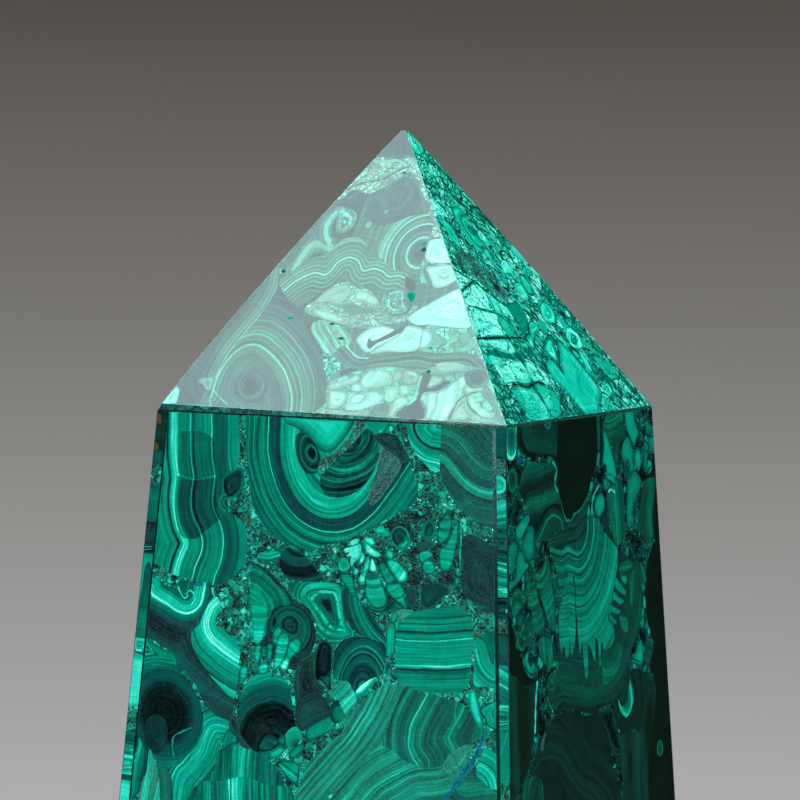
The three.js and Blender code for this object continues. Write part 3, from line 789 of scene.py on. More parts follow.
          (17.8, 47.3), (16, 51), (14.8, 54), (14, 56.5), (13.5, 57.7), (11, 59.5), (8, 62.5), (5, 66),
          (2.5, 70), (1.5, 83.3), lighter=-0.05),
    Stone("lower_bundle", LOWER_LINE, (13.5, 57.7), (16, 58.8), (18.5, 60.3), (21, 61.2), (24, 61),
          (26.5, 60), (28.5, 58.5), (30.5, 59), (29, 62), (26.5, 66), (24, 70), (22, 74.5), (-1, 77.4),
          (1.8, 71.5), (5, 66.2), (8, 62.6), (11, 59.6), lighter=-0.04),
    Stone("eye_bands", EYE_LINE, (17.5, 47), (20, 47.8), (23, 48.1), (26, 48.6), (29, 49.3), (30.3, 50.4),
          (31.5, 51.9), (33, 54), (32, 55.5), (30, 57), (28, 59), (26, 60.3), (23, 61.2), (20.5, 61),
          (17.5, 59.8), (15.5, 58.5), (13.5, 57.7), (14.2, 55.4), (15.4, 52), lighter=-0.05),
    vein("bright", 0.3, (27.8, 48.9), (27.5, 51), (27.7, 53.2), (26.4, 54), (25.7, 55.6), (26.2, 57),
         (27.8, 57.7), lighter=-0.21),
    vein("dim", 0.3, (27.9, 53.4), (28.3, 55.2)),
    chip("mottled", (25.4, 61.5), (26.3, 59), (28.2, 57.2), (30, 56.4), (31.2, 57), (30.2, 59.5),
         (28.2, 61.9), (26.6, 62.6), lighter=-0.05),
    Stone("night", along((30, 64), (37, 63)), (27.5, 66), (29, 63.5), (30.8, 61.5), (33, 62.6), (35.4, 64),
          (38, 66), (38, 76.5), (24, 77.1), lighter=0.02),
    Stone("mint_arcs", rings(31.5, 64.5), (33.3, 57.3), (34.5, 57), (36.6, 58.5), (37, 62.5), (36, 64),
          (33.8, 63), (32.2, 61.3), lighter=0.03),
    vein("blue", 1.1, (26.3, 66.5), (28.8, 63), (30.8, 60.6), (32, 58), (33, 55.5), (33.8, 53.9)),
    vein("blue", 0.5, (29.3, 61), (30.3, 60.2), (31.3, 59.5), lighter=0.2),
    Stone("arc_piece", along((31, 39.5), (31.6, 41.5), (32.8, 43.4), (34.4, 44.4), (37, 44.8)), (30.9, 38),
          (31.8, 36.8), (38, 36), (38, 45.5), (33, 45.9), (31, 45.8), (30.8, 43), (31, 40.5)),
    chip("pale", (30.2, 46.8), (31, 46.6), (32, 48.6), (33, 51.8), (33.2, 53.6), (32.3, 53.3), (31, 51.5),
         (30.1, 49.5), lighter=0.12),
    chip("finger", (32.2, 50.2), (34, 48.8), (37, 48), (37, 53), (34, 53), (33.3, 51.5), lighter=-0.04),
    Stone("column", along((14.3, 36), (14.2, 42)), (13.5, 37.3), (15.1, 36), (15, 41), (13.6, 41.6),
          lighter=-0.04),
]

# The right flank, in the same way: across is towards the back
SCALLOP_LINE = along((0.9, 17.5), (1, 20.5), (0, 22.5), (-1.5, 24), (-3.5, 24.8), (-6, 24.4), (-9, 23.6),
                     (-12, 24), (-15, 23.6), (-17.5, 23), (-19.5, 24), (-22, 25.6), (-25, 26.6),
                     (-28, 28.5))
SURROUND_LINE = along((26, 26), (26, 33), (24.5, 38), (21, 42), (17, 45.5), (14, 48.3), (11, 50), (7, 50.6),
                      (3, 50.2), (0, 50.8), (-3, 50.3), (-6, 49.5), (-10, 49), (-14, 48), (-18, 49))
SLOPE_LINE = along((-36, 66), (-27, 61), (-24, 60), (-20, 60), (-16, 61.5), (-13, 63.8), (-9.5, 66.5),
                   (-6, 68.8), (-2, 70), (4, 74))
RIGHT = [
    chip("coal", (28, 10.5), (31, 12.5), (35, 11), (42, 9), (42, 81.9), (23, 74.6), (25, 66), (27, 60),
         (30.5, 52), (29.5, 48), (31, 44), (28.5, 40), (28, 34), (29.5, 29), (33, 26), (33.5, 24)),
    Stone("dark_slope", SLOPE_LINE, (-28, 60), (-26, 57), (-23, 55.5), (-20, 54.5), (-18, 53), (-14, 53),
          (-9, 53.3), (-5, 54.3), (0, 55), (3, 55.3), (6, 58.5), (8.2, 61), (8.5, 65), (10.5, 69),
          (11, 76.8), (-36, 82.3), (-33, 66), (-30, 62), lighter=0.06),
    Stone("olive", along((17.5, 58), (17.5, 66), (17, 82.7)), (8.7, 62), (10, 60), (13, 59.8), (16, 59.8),
          (22, 60.6), (24, 60.3), (23, 64), (22.4, 68), (22.5, 74.1), (12, 75.7), (13.5, 70), (12.5, 67),
          (10, 64), lighter=0.04),
    Stone("coal", rings(17.3, 66, 3, 90), (16.8, 63.5), (17.6, 63), (18.2, 65), (18.2, 68), (17.4, 70),
          (16.6, 68), (16.5, 65.5), lighter=0.08),
    Stone("dark_panel", along((23.5, 60), (24.5, 68), (25, 78.5)), (24, 60.3), (27, 56.5), (29.5, 52),
          (31.5, 53), (31, 57), (28, 63), (26, 70), (26, 78), (22.5, 74.1), (22.4, 68), (23, 64),
          lighter=0.01),
    Stone("dark_u", rings(15.5, 51.5, 1.3, 50), (11, 53), (10.4, 56), (12, 58.8), (15, 59.6), (20, 59.8),
          (24, 60.3), (27, 56.5), (28.7, 52.5), (28.3, 50.2), (24, 49), (19, 48.5), (15, 50.5),
          lighter=0.07),
    chip("deep", (8.5, 62), (6.5, 58.5), (3, 55), (8, 54.3), (10, 55.5), (10.5, 58), (12.8, 61.8),
         (13.5, 63.5), (11, 63.5), lighter=-0.06),
    Stone("surround", SURROUND_LINE, (-17, 47), (-15, 43), (-14.5, 38), (-10, 38), (0, 38), (9, 36),
          (13, 33), (14, 28), (15, 25.5), (17.5, 26.5), (22, 28.3), (25, 29.3), (26.5, 31), (27, 35),
          (25.7, 39), (23.5, 41.7), (20, 45), (17.3, 48.2), (14, 51.2), (12, 53), (8, 53.8), (4, 54),
          (0, 54.6), (-5, 53.8), (-10, 52.5), (-14, 52.5), (-17.3, 53), (-18.7, 51.5), (-16, 49.5),
          lighter=-0.04),
    Stone("surround", rings(9, 40), (5.4, 49.3), (5.6, 45), (7, 43), (10, 42), (13, 42.6), (15.6, 44.3),
          (14, 47), (11, 49.2), (8, 49.8), lighter=0.11),
    Stone("surround", rings(1, 40), (-1.3, 49.6), (-1.6, 46), (0, 43.8), (2.3, 45.3), (4.2, 46.8),
          (4, 49.6), (1.3, 50.5), lighter=-0.01),
    Stone("surround", rings(17, 34), (14.4, 38.2), (16, 37.8), (18, 38.6), (18.8, 40.2), (18, 41.3),
          (16, 40.5), lighter=0.2),
    Stone("surround", along((22.5, 28), (21.5, 33), (20.5, 36)), (20, 31.5), (21.5, 30.2), (23.5, 30),
          (23.5, 33), (21.8, 36), (20.4, 36.2), (20.2, 34), lighter=0.04),
    Stone("scallop", SCALLOP_LINE, (-15, 26.5), (-17.6, 22.7), (-14, 23.1), (-12, 23.5), (-9, 22.9),
          (-6, 23.8), (-3.5, 24.2), (-2, 23.7), (-0.6, 22.2), (0.5, 20.5), (0.5, 18.8), (3, 18.7), (6, 19),
          (7, 20.1), (9, 21.8), (11, 23), (13.2, 24.3), (14.8, 25.5), (14.6, 28), (13.7, 30), (12.2, 32.5),
          (11, 35), (10.5, 38), (12, 41), (10, 43), (6.5, 43.5), (6, 42), (5, 42.5), (4.7, 46), (4, 46),
          (3.7, 42), (2.3, 41), (2, 45), (0, 42.5), (-1.2, 42), (-1.6, 47), (-2.8, 47.8), (-3.5, 44),
          (-3.9, 41), (-5, 43), (-5.6, 41), (-5.8, 36), (-6.5, 36), (-6.9, 39), (-8.3, 42.6), (-9.5, 42.3),
          (-9.9, 39.5), (-10.3, 42.7), (-11.5, 43), (-12.7, 40.7), (-13.7, 42), (-14.4, 40), (-14.3, 35),
          (-12, 31), (-13.5, 29.5), lighter=0.02),
    vein("groove", 0.55, (-7, 28.6), (-6.2, 31), (-6.3, 34), (-6.4, 37), (-6.3, 41)),
    vein("groove", 0.3, (-10.6, 27), (-10.9, 28.8), (-11.9, 30.6), (-13, 33), lighter=-0.19),
    Stone("scallop", rings(-14, 26), (-15.4, 28), (-14.8, 28.8), (-13.8, 30), (-12, 30.1), (-12.1, 31.5),
          (-13.4, 33.4), (-14.5, 33.6), (-15.2, 31.5), lighter=-0.08),
    Stone("flank_fan", rings(-22.5, 24), (-24.4, 28), (-24.5, 26.6), (-22, 25.9), (-19.5, 24.6),
          (-18, 24.6), (-17.3, 27), (-16.6, 30.5), (-15.9, 34), (-15.6, 37), (-17, 37.8), (-19, 37),
          (-20.3, 34.5), (-22.3, 31.5), lighter=-0.01),
    Stone("flank_fan", rings(-26.5, 25), (-26.9, 36), (-27, 33.5), (-28.3, 31.4), (-27.2, 28.5),
          (-25.2, 27.4), (-24.2, 29.3), (-22.9, 32), (-21.6, 34), (-21, 36.3), (-21.4, 37.5), (-24, 37.9),
          (-26, 37.5), lighter=-0.04),
    Stone("surround", along((-30, 34), (-27, 28)), (-30.3, 31.6), (-28.2, 27.9), (-27, 28.2), (-28.3, 30.3),
          (-29.7, 31.8), lighter=0.07),
    Stone("surround", rings(-33, 34), (-35.6, 33), (-35.3, 30.5), (-34, 28.9), (-32, 28.7), (-31, 30.1),
          (-31, 31.6), (-33, 33), lighter=0.17),
    Stone("flank_fan", rings(-35, 30), (-33.6, 33.9), (-32, 33), (-30.5, 34.4), (-29.9, 35.6),
          (-30.1, 37.2), (-31.6, 36.4), (-33, 35.1), lighter=-0.04),
    Stone("surround", rings(-30, 32), (-29.6, 34.4), (-28.5, 33.4), (-27.3, 34), (-27.1, 36), (-28.1, 37.6),
          (-29.5, 36.4), lighter=0.1),
    chip("pale_cell", (-35.2, 34.3), (-34.8, 33.6), (-34.1, 33.7), (-34, 34.6), (-34.6, 35), lighter=0.24),
    Stone("loop", rings(-31.6, 37.9), (-34.1, 37.6), (-33.4, 36.6), (-32.4, 37.2), (-31, 38), (-29.9, 39),
          (-31, 39.9), (-32.8, 39.7), (-33.9, 38.8), lighter=0.02),
    chip("pale_cell", (-31, 41.5), (-30, 40.5), (-28.5, 40.2), (-29, 41.8), (-28, 43), (-26.6, 42.4),
         (-25.8, 43), (-26.5, 44), (-28, 44.4), (-29.8, 43.5), lighter=0.09),
    Stone("flank_fan", along((-21.5, 36), (-20, 46)), (-24.4, 39), (-22.5, 38.2), (-20, 38.4),
          (-18.2, 39.3), (-17.8, 41), (-18, 43.5), (-19, 44.5), (-20.6, 45), (-21, 43.8), (-22.2, 43),
          (-23.7, 41.5), lighter=0.12),
    Stone("surround", rings(-18.2, 46), (-21.1, 48), (-20.3, 46), (-18.5, 45.1), (-16.4, 45.5),
          (-15.2, 47.5), (-15.8, 49.4), (-17.5, 50.9), (-19.3, 50.8), (-20.7, 49.5), lighter=0.04),
    chip("coal", (-37.8, 33.5), (-35.8, 35), (-34.3, 37), (-34.2, 39), (-32, 41), (-31, 43.3), (-28.5, 45),
         (-26.5, 45.4), (-26, 46), (-31, 46.4), (-33.5, 44.6), (-36, 43.9), (-42, 43), (-42, 34),
         lighter=-0.11),
    Stone("dark_panel", along((-36, 42), (-36, 50), (-36.3, 60), (-35.5, 70)), (-42, 43), (-36, 44.1),
          (-33.5, 44.8), (-31.5, 46.4), (-28, 46.5), (-25.6, 46), (-26.2, 49), (-26.8, 52), (-27.3, 55),
          (-29, 58), (-30.5, 60.4), (-32, 62.2), (-34, 63.6), (-37, 66), (-42, 70), lighter=0.03),
    vein("mid", 0.8, (-25.2, 45.9), (-26, 48), (-26.5, 50.5), (-26.9, 53), (-27.2, 55.2), lighter=0.32),
    Stone("flank_fan", rings(-27.5, 66.5, 1.3, 90), (-35, 68), (-33.7, 63.8), (-31.5, 62.4), (-29.5, 62.4),
          (-27, 62.7), (-25, 64), (-24.3, 66), (-25, 70), (-30, 74), (-35, 73), lighter=-0.09),
    chip("coal", (-13.2, -3), (-13.3, 3), (-12.6, 6), (-13.4, 7.3), (-12.3, 8.7), (-13, 10.5), (-12.2, 13),
         (-11, 15.3), (-9.5, 17.6), (-7, 18.6), (-5.5, 17.6), (-2, 16.3), (1.5, 14.2), (3, 12), (5, 10),
         (6.3, 8.6), (7, 7), (7, -3)),
    Stone("deep_panel", along((-28.3, -3), (-28.4, 1), (-27.6, 3), (-25.5, 4.7), (-22, 5.3), (-16, 5.8),
          (-12, 6.5)), (-30, -3), (-30.4, 1), (-29.5, 3.4), (-27.5, 5), (-25, 5.8), (-20, 5.5), (-16, 6.2),
          (-13, 6.9), (-12.5, 5.5), (-13, -3), lighter=-0.17),
    Stone("loop", rings(-16.3, -0.6), (-18, -1), (-17.7, 0.6), (-16.3, 1.3), (-15, 0.8), (-14.8, -1),
          lighter=0.07),
    Stone("ring_cell", rings(-33.1, 1.6, 1.2, 90), (-37.5, -1), (-37, 2.5), (-36, 4.6), (-34, 5.8),
          (-32, 5.5), (-30.9, 4), (-30.6, 2), (-30.8, -2), (-37, -2), lighter=0.04),
    chip("pale_cell", (-30.6, 4.4), (-29.9, 3.9), (-29, 4.8), (-29.2, 5.4), (-30.3, 5.3), lighter=0.2),
    chip("blue", (-30.6, 6.1), (-29.6, 5.4), (-28.7, 5.9), (-29, 6.5), (-29.9, 6.6), lighter=-0.4),
    chip("pale_cell", (-28.6, 6), (-27.6, 5.8), (-26.7, 6), (-27.6, 6.4), lighter=0.23),
    vein("dim", 0.25, (-26.5, 6.3), (-24, 6.4), (-21, 5.9), (-18, 6), (-15.4, 6.7), lighter=-0.36),
    Stone("loop", rings(-33, 9.4), (-35, 9.5), (-34.2, 7.5), (-32, 7.1), (-31.1, 8.5), (-31.2, 10.6),
          (-32.5, 11.8), (-34.3, 11.4), lighter=0.03),
    Stone("flank_leaf", along((-31, 12), (-29, 11.5), (-26, 10.5), (-22, 10.2), (-17, 9.7), (-12, 9)),
          (-30.2, 11.5), (-29.5, 9.5), (-28, 7.8), (-25.5, 6.8), (-22, 6.9), (-18.5, 8.3), (-16, 8.2),
          (-14.4, 7.2), (-13, 8.6), (-13.6, 10.5), (-12.6, 12.3), (-11.6, 14.5), (-10.8, 16.3), (-12, 15.4),
          (-16, 15.3), (-20, 17.5), (-22.5, 19), (-24, 17.8), (-26, 16.3), (-28, 14), lighter=-0.04),
    vein("mid", 0.7, (-14.7, 7.2), (-13.3, 8.1), (-12.9, 9), (-13.8, 10.4), (-13.9, 11.5), (-12.6, 12.8),
         lighter=0.2),
    Stone("dome_arc", along((-25, 22), (-21.5, 20), (-19.5, 18.5), (-17, 17.2), (-14.5, 16.9),
          (-12.3, 17.6), (-11.4, 18.6), (-11.3, 21)), (-24.5, 20), (-22, 18), (-19.5, 15.9), (-16, 14.9),
          (-13, 14.9), (-10.8, 16.4), (-10.2, 18.3), (-10.8, 19.8), (-13, 19.5), (-15.5, 20.3), (-19, 21),
          (-21.5, 21.3), (-23, 21), lighter=-0.04),
    chip("pale_cell", (-32.8, 18.3), (-31.5, 17.4), (-29, 16.4), (-27, 15.8), (-25.8, 16.8), (-28, 18.7),
         (-30.5, 20.3), (-31.5, 20.1), (-32.6, 19.3), lighter=0.07),
    chip("pale_cell", (-30.1, 21), (-28, 19.1), (-26, 17.9), (-24.4, 18.5), (-24.1, 20.5), (-24.3, 22.8),
         (-25.6, 24.1), (-27.3, 24.3), (-29, 23.4), lighter=-0.08),
    chip("pale_cell", (-37.5, 22), (-35, 20.2), (-33.5, 19.7), (-32, 20.5), (-31.3, 21.5), (-32.5, 23.5),
         (-33.5, 25.6), (-35, 26.2), (-37.5, 25.5), lighter=-0.1),
    chip("pale_cell", (-33.6, 26.6), (-32.6, 24), (-31.5, 22.3), (-30, 22.5), (-28.8, 24), (-26.8, 24.9),
         (-29, 26.1), (-32, 27.7), (-35.5, 28.8), (-38.5, 29.5), (-38, 26.9), (-35.5, 27)),
    Stone("layers", along((-18, 21.5), (-12, 21), (-8, 20.3), (-4, 20), (2, 17)), (-10, 18.3), (-8, 18.6),
          (-5.5, 17.8), (-3, 16.9), (0, 16), (1.8, 15.2), (2, 16.6), (0.4, 18.4), (0.4, 20.2), (-0.6, 22.1),
          (-2, 23.6), (-4, 24), (-7, 23.2), (-9.5, 22.5), (-12, 23), (-15, 22.7), (-17.5, 22.2),
          (-19, 22.7), (-17, 21), (-13, 20), (-10.5, 19.6), lighter=-0.01),
    vein("mid", 0.6, (-8.6, 18.2), (-7, 18.5), (-5.6, 17.5), (-4.2, 17.1), (-2.5, 16.8), (-0.6, 15.8),
         (1.5, 14.7), lighter=-0.02),
    chip("pale_cell", (0.7, 18.2), (1.1, 16.9), (1.8, 16.3), (2.3, 17.2), (2.1, 18.2), lighter=0.2),
    vein("mid", 0.8, (3.1, 18), (3.2, 16.4), (3.9, 15), (5.2, 13.9), (7, 12.9), lighter=0.21),
    chip("pale_cell", (4.3, 17), (5, 15.4), (6.5, 14.5), (8.5, 14.4), (9.4, 15.5), (9.5, 17), (8.5, 18),
         (6.5, 18.9), (5, 18.1), lighter=0.05),
    Stone("cell_bands", along((14, 8), (15, 14), (16, 26)), (10.3, 15.5), (11, 14), (12.5, 12.9),
          (14.5, 13.4), (16, 12.2), (17.5, 12.3), (18.9, 14), (19.2, 17), (19, 20), (19, 22.5), (17.5, 24),
          (15, 24.9), (13, 23.6), (12, 21.5), (11, 18.5), lighter=0.03),
    vein("bright", 0.4, (11.4, 14.5), (12.6, 14), (13.7, 14.3), (14.6, 14.8), lighter=0.11),
    chip("pale_cell", (10.2, 10.8), (12.2, 10.1), (14, 11.4), (15.5, 13.3), (14, 13), (12.4, 12.4),
         (11.2, 12), lighter=0.12),
    chip("pale_cell", (9.2, 12), (11, 11.8), (11.3, 13), (10.2, 14), (9.4, 13.5), lighter=0.05),
    chip("pale_cell", (9.6, 2.6), (10.6, 2.9), (12.3, 4.6), (13.5, 6.5), (14.9, 9), (15.7, 11.5),
         (15, 12.3), (12, 11.4), (10.4, 11.3), (11, 9.9), (9.7, 9.2), (8.6, 9.7), (9.3, 8), (10, 5.5),
         lighter=0.08),
    Stone("cell_bands", along((6, 0), (14, 0.6), (21, -1)), (9.7, 1.8), (11, 0.5), (12, -3), (19, -3),
          (20, 1.5), (21.1, 4), (20, 5.1), (18.5, 5.5), (17.2, 7), (16, 9.6), (15, 8.5), (14, 6),
          (12.8, 4.4), (11.2, 3), lighter=-0.01),
    chip("pale_cell", (20.3, -3), (24.7, -3), (25.8, 1.5), (27, 3.5), (27.7, 4.3), (26.5, 5.4), (25, 6.8),
         (24.2, 6), (22.5, 4.4), (21.2, 2.6), lighter=0.06),
    chip("pale_cell", (18.6, 7.5), (19, 6.1), (20.5, 4.9), (22.3, 4.6), (23.5, 6), (24.3, 7.5), (24.3, 9),
         (24.8, 10.7), (24.2, 11.6), (22.5, 11.7), (21.8, 10.8), (22.3, 9.8), (21, 9.3), (20.9, 11),
         (20.2, 12.6), (19.5, 12.8), (19.8, 10), (19, 9)),
    chip("pale_cell", (21, 13), (22, 12), (24.5, 11.1), (26, 11.6), (28.1, 13.2), (27.5, 14.9),
         (25.5, 16.4), (24.2, 17.5), (23.5, 19), (23.8, 21), (22, 22.1), (20.1, 21.7), (19.8, 19),
         (20.6, 16), lighter=-0.05),
    chip("pale_cell", (24.8, 9), (25.3, 7.7), (27, 7.1), (28.3, 8), (28.6, 9.7), (27.6, 11.2), (26.4, 11.5),
         (25.2, 10.4), lighter=0.04),
    chip("pale_cell", (29.7, 11), (30, 9), (30.7, 7.7), (31.9, 8), (31.5, 9.5), (30.8, 11.3), lighter=0.02),
    chip("pale_cell", (29.2, 7.6), (30, 6), (31.4, 5.7), (31.3, 7), (30.2, 7.8), lighter=-0.02),
    chip("pale_cell", (32, 5.4), (33.5, 5.1), (38, 5.2), (38, 8.2), (34.5, 8.7), (33, 8), (32.3, 6.8)),
    chip("pale_cell", (31, 3), (32, 2.1), (34, 3), (38, 4.2), (33, 5), (31.3, 4.5), lighter=-0.03),
    vein("mid", 0.35, (29.3, 3), (30.6, 2.9), (32.2, 2.3), lighter=0.1),
    chip("mottled", (6.1, 9.2), (6.4, 7.8), (7, 6.9), (8, 7), (7.7, 8.1), (6.9, 9.3), lighter=-0.07),
    Stone("surround", along((7.6, -3), (7.7, 7)), (7.1, -3), (8.2, -3), (8.4, 2), (8, 5.6), (7.4, 6.9),
          (7, 4), lighter=-0.01),
    chip("coal", (8.4, -3), (9.6, -3), (9.6, 2), (9.8, 5), (9.1, 8), (8.4, 9), (8.1, 6), (8.5, 2),
         lighter=0.1),
    chip("coal", (7.2, 19), (9, 18.2), (9.8, 16.8), (10.4, 18.5), (11.5, 21.7), (12.9, 24.1), (14.8, 25.3),
         (12, 23.6), (9, 21.4), lighter=0.17),
    Stone("cell_bands", along((33.8, 12), (33.6, 17), (32.6, 20), (32.6, 27)), (25, 22.5), (26, 20),
          (27, 17.5), (28.2, 15), (30, 13.3), (32, 13.1), (35.5, 13.5), (34.4, 17.5), (33.4, 20),
          (33.3, 22.5), (33.3, 24.4), (30.5, 24.8), (28, 24.2), (26, 23.3), lighter=-0.03),
    Stone("surround", along((15, 29), (22, 29)), (15.4, 29.5), (16, 28.3), (19, 28), (22.3, 28.5),
          (20, 29.8), (17, 29.9), lighter=0.04),
    chip("pale_cell", (15.5, 30), (17, 30.2), (19, 30.8), (19.2, 31.8), (18, 32.4), (16.2, 31.5),
         lighter=0.05),
    chip("pale_cell", (13.4, 30.5), (15, 31.2), (17.5, 33), (18.8, 33.8), (17.6, 34.3), (14.8, 33.4),
         (12.8, 32.2), lighter=0.05),
    chip("pale_cell", (12.3, 33), (14.5, 34.2), (17.3, 35.3), (15.5, 35.9), (13.5, 35.3), (11.3, 34.2),
         lighter=0.09),
    chip("pale_cell", (10.5, 35.2), (12.5, 35.9), (15.5, 37), (14.5, 37.6), (12, 37.3), (10, 36.3),
         lighter=0.04),
    chip("pale_cell", (9.5, 36.8), (11.5, 37.7), (13.4, 38.8), (12.6, 39.4), (10.5, 38.9), (9, 37.8),
         lighter=0.05),
    chip("pale_cell", (25.4, 28.9), (27, 29.2), (28.5, 31.3), (29.1, 33), (27.8, 32.7), (26.5, 30.5),
         lighter=-0.02),
    chip("pale_cell", (26.2, 33), (27.4, 32.9), (27.5, 34.4), (26.6, 34.3), lighter=0.07),
    Stone("ring_cell", rings(15.8, 52.8, 1.4, 55), (12.7, 53.4), (13.6, 54.6), (15, 54.9), (16.3, 54.5),
          (17.3, 53), (18.3, 51), (19, 49.4), (20.5, 48.9), (22.1, 49.3), (21.6, 51.5), (20.4, 54),
          (18.5, 56.1), (16.3, 57.2), (14.5, 56.5), (13, 55.2), lighter=-0.06),
    chip("pale_cell", (19.1, 47.1), (21, 46), (22.5, 44.9), (23.8, 43.7), (25, 43.3), (26, 45), (25.9, 47),
         (24.8, 48.3), (22, 47.7), lighter=0.03),
    vein("groove", 0.3, (19.8, 46.5), (22, 46.9), (24.8, 47.7)),
    Stone("surround", rings(29, 47), (26.6, 45), (28, 44), (30.3, 44.4), (31, 46), (29.5, 47.3),
          (27.5, 47.2)),
    chip("pale_cell", (25.4, 40.8), (25.7, 39), (26.5, 39), (26.9, 40.2), (26.3, 41.4), lighter=0.07),
    chip("pale_cell", (25.2, 49), (26.4, 48.5), (27.6, 48.2), (27.3, 49), (26, 49.6), lighter=0.2),
    Stone("loop", rings(32.6, 65), (31, 65), (31.6, 63.7), (33, 63.4), (34.1, 64.4), (34, 65.8),
          (32.8, 66.4), (31.4, 66.1), lighter=0.11),
    chip("mottled", (-24.9, 58.3), (-24.4, 57), (-22.8, 55.5), (-22.2, 55.8), (-23.3, 57.3), (-23.7, 58.6),
         lighter=-0.27),
]

# The cap's front slope: across, and up from the bed
RING_LINE = along((-24.6, 3), (-24.6, 6.5), (-23.5, 9.7), (-21.5, 11.8), (-19, 12.6), (-16.8, 12),
                  (-14, 10.3), (-11.3, 8), (-9.4, 5.5), (-8.2, 3), (-7.6, 0))
PANEL_LINE = along((-18.2, 26), (-18, 22.5), (-19.3, 18.5), (-21.5, 14.8), (-23.6, 11), (-24.8, 7))
CONTOUR_LINE = along((-17, 21.5), (-15, 23.7), (-13, 25), (-11, 25.8), (-9, 25.5), (-8, 26.3), (-7, 27.9),
                     (-5, 28.8), (-3, 28.1), (-1.5, 26.4), (0.5, 26.8), (2.5, 26.4), (4, 25.6), (6, 25.8),
                     (8, 25))
SHELF_LINE = along((-1, 12.8), (1, 11.6), (3, 10.8), (6, 11.3), (10, 11.8), (14, 12.3), (18, 12),
                   (22, 12.3), (25, 12), (28.5, 10))
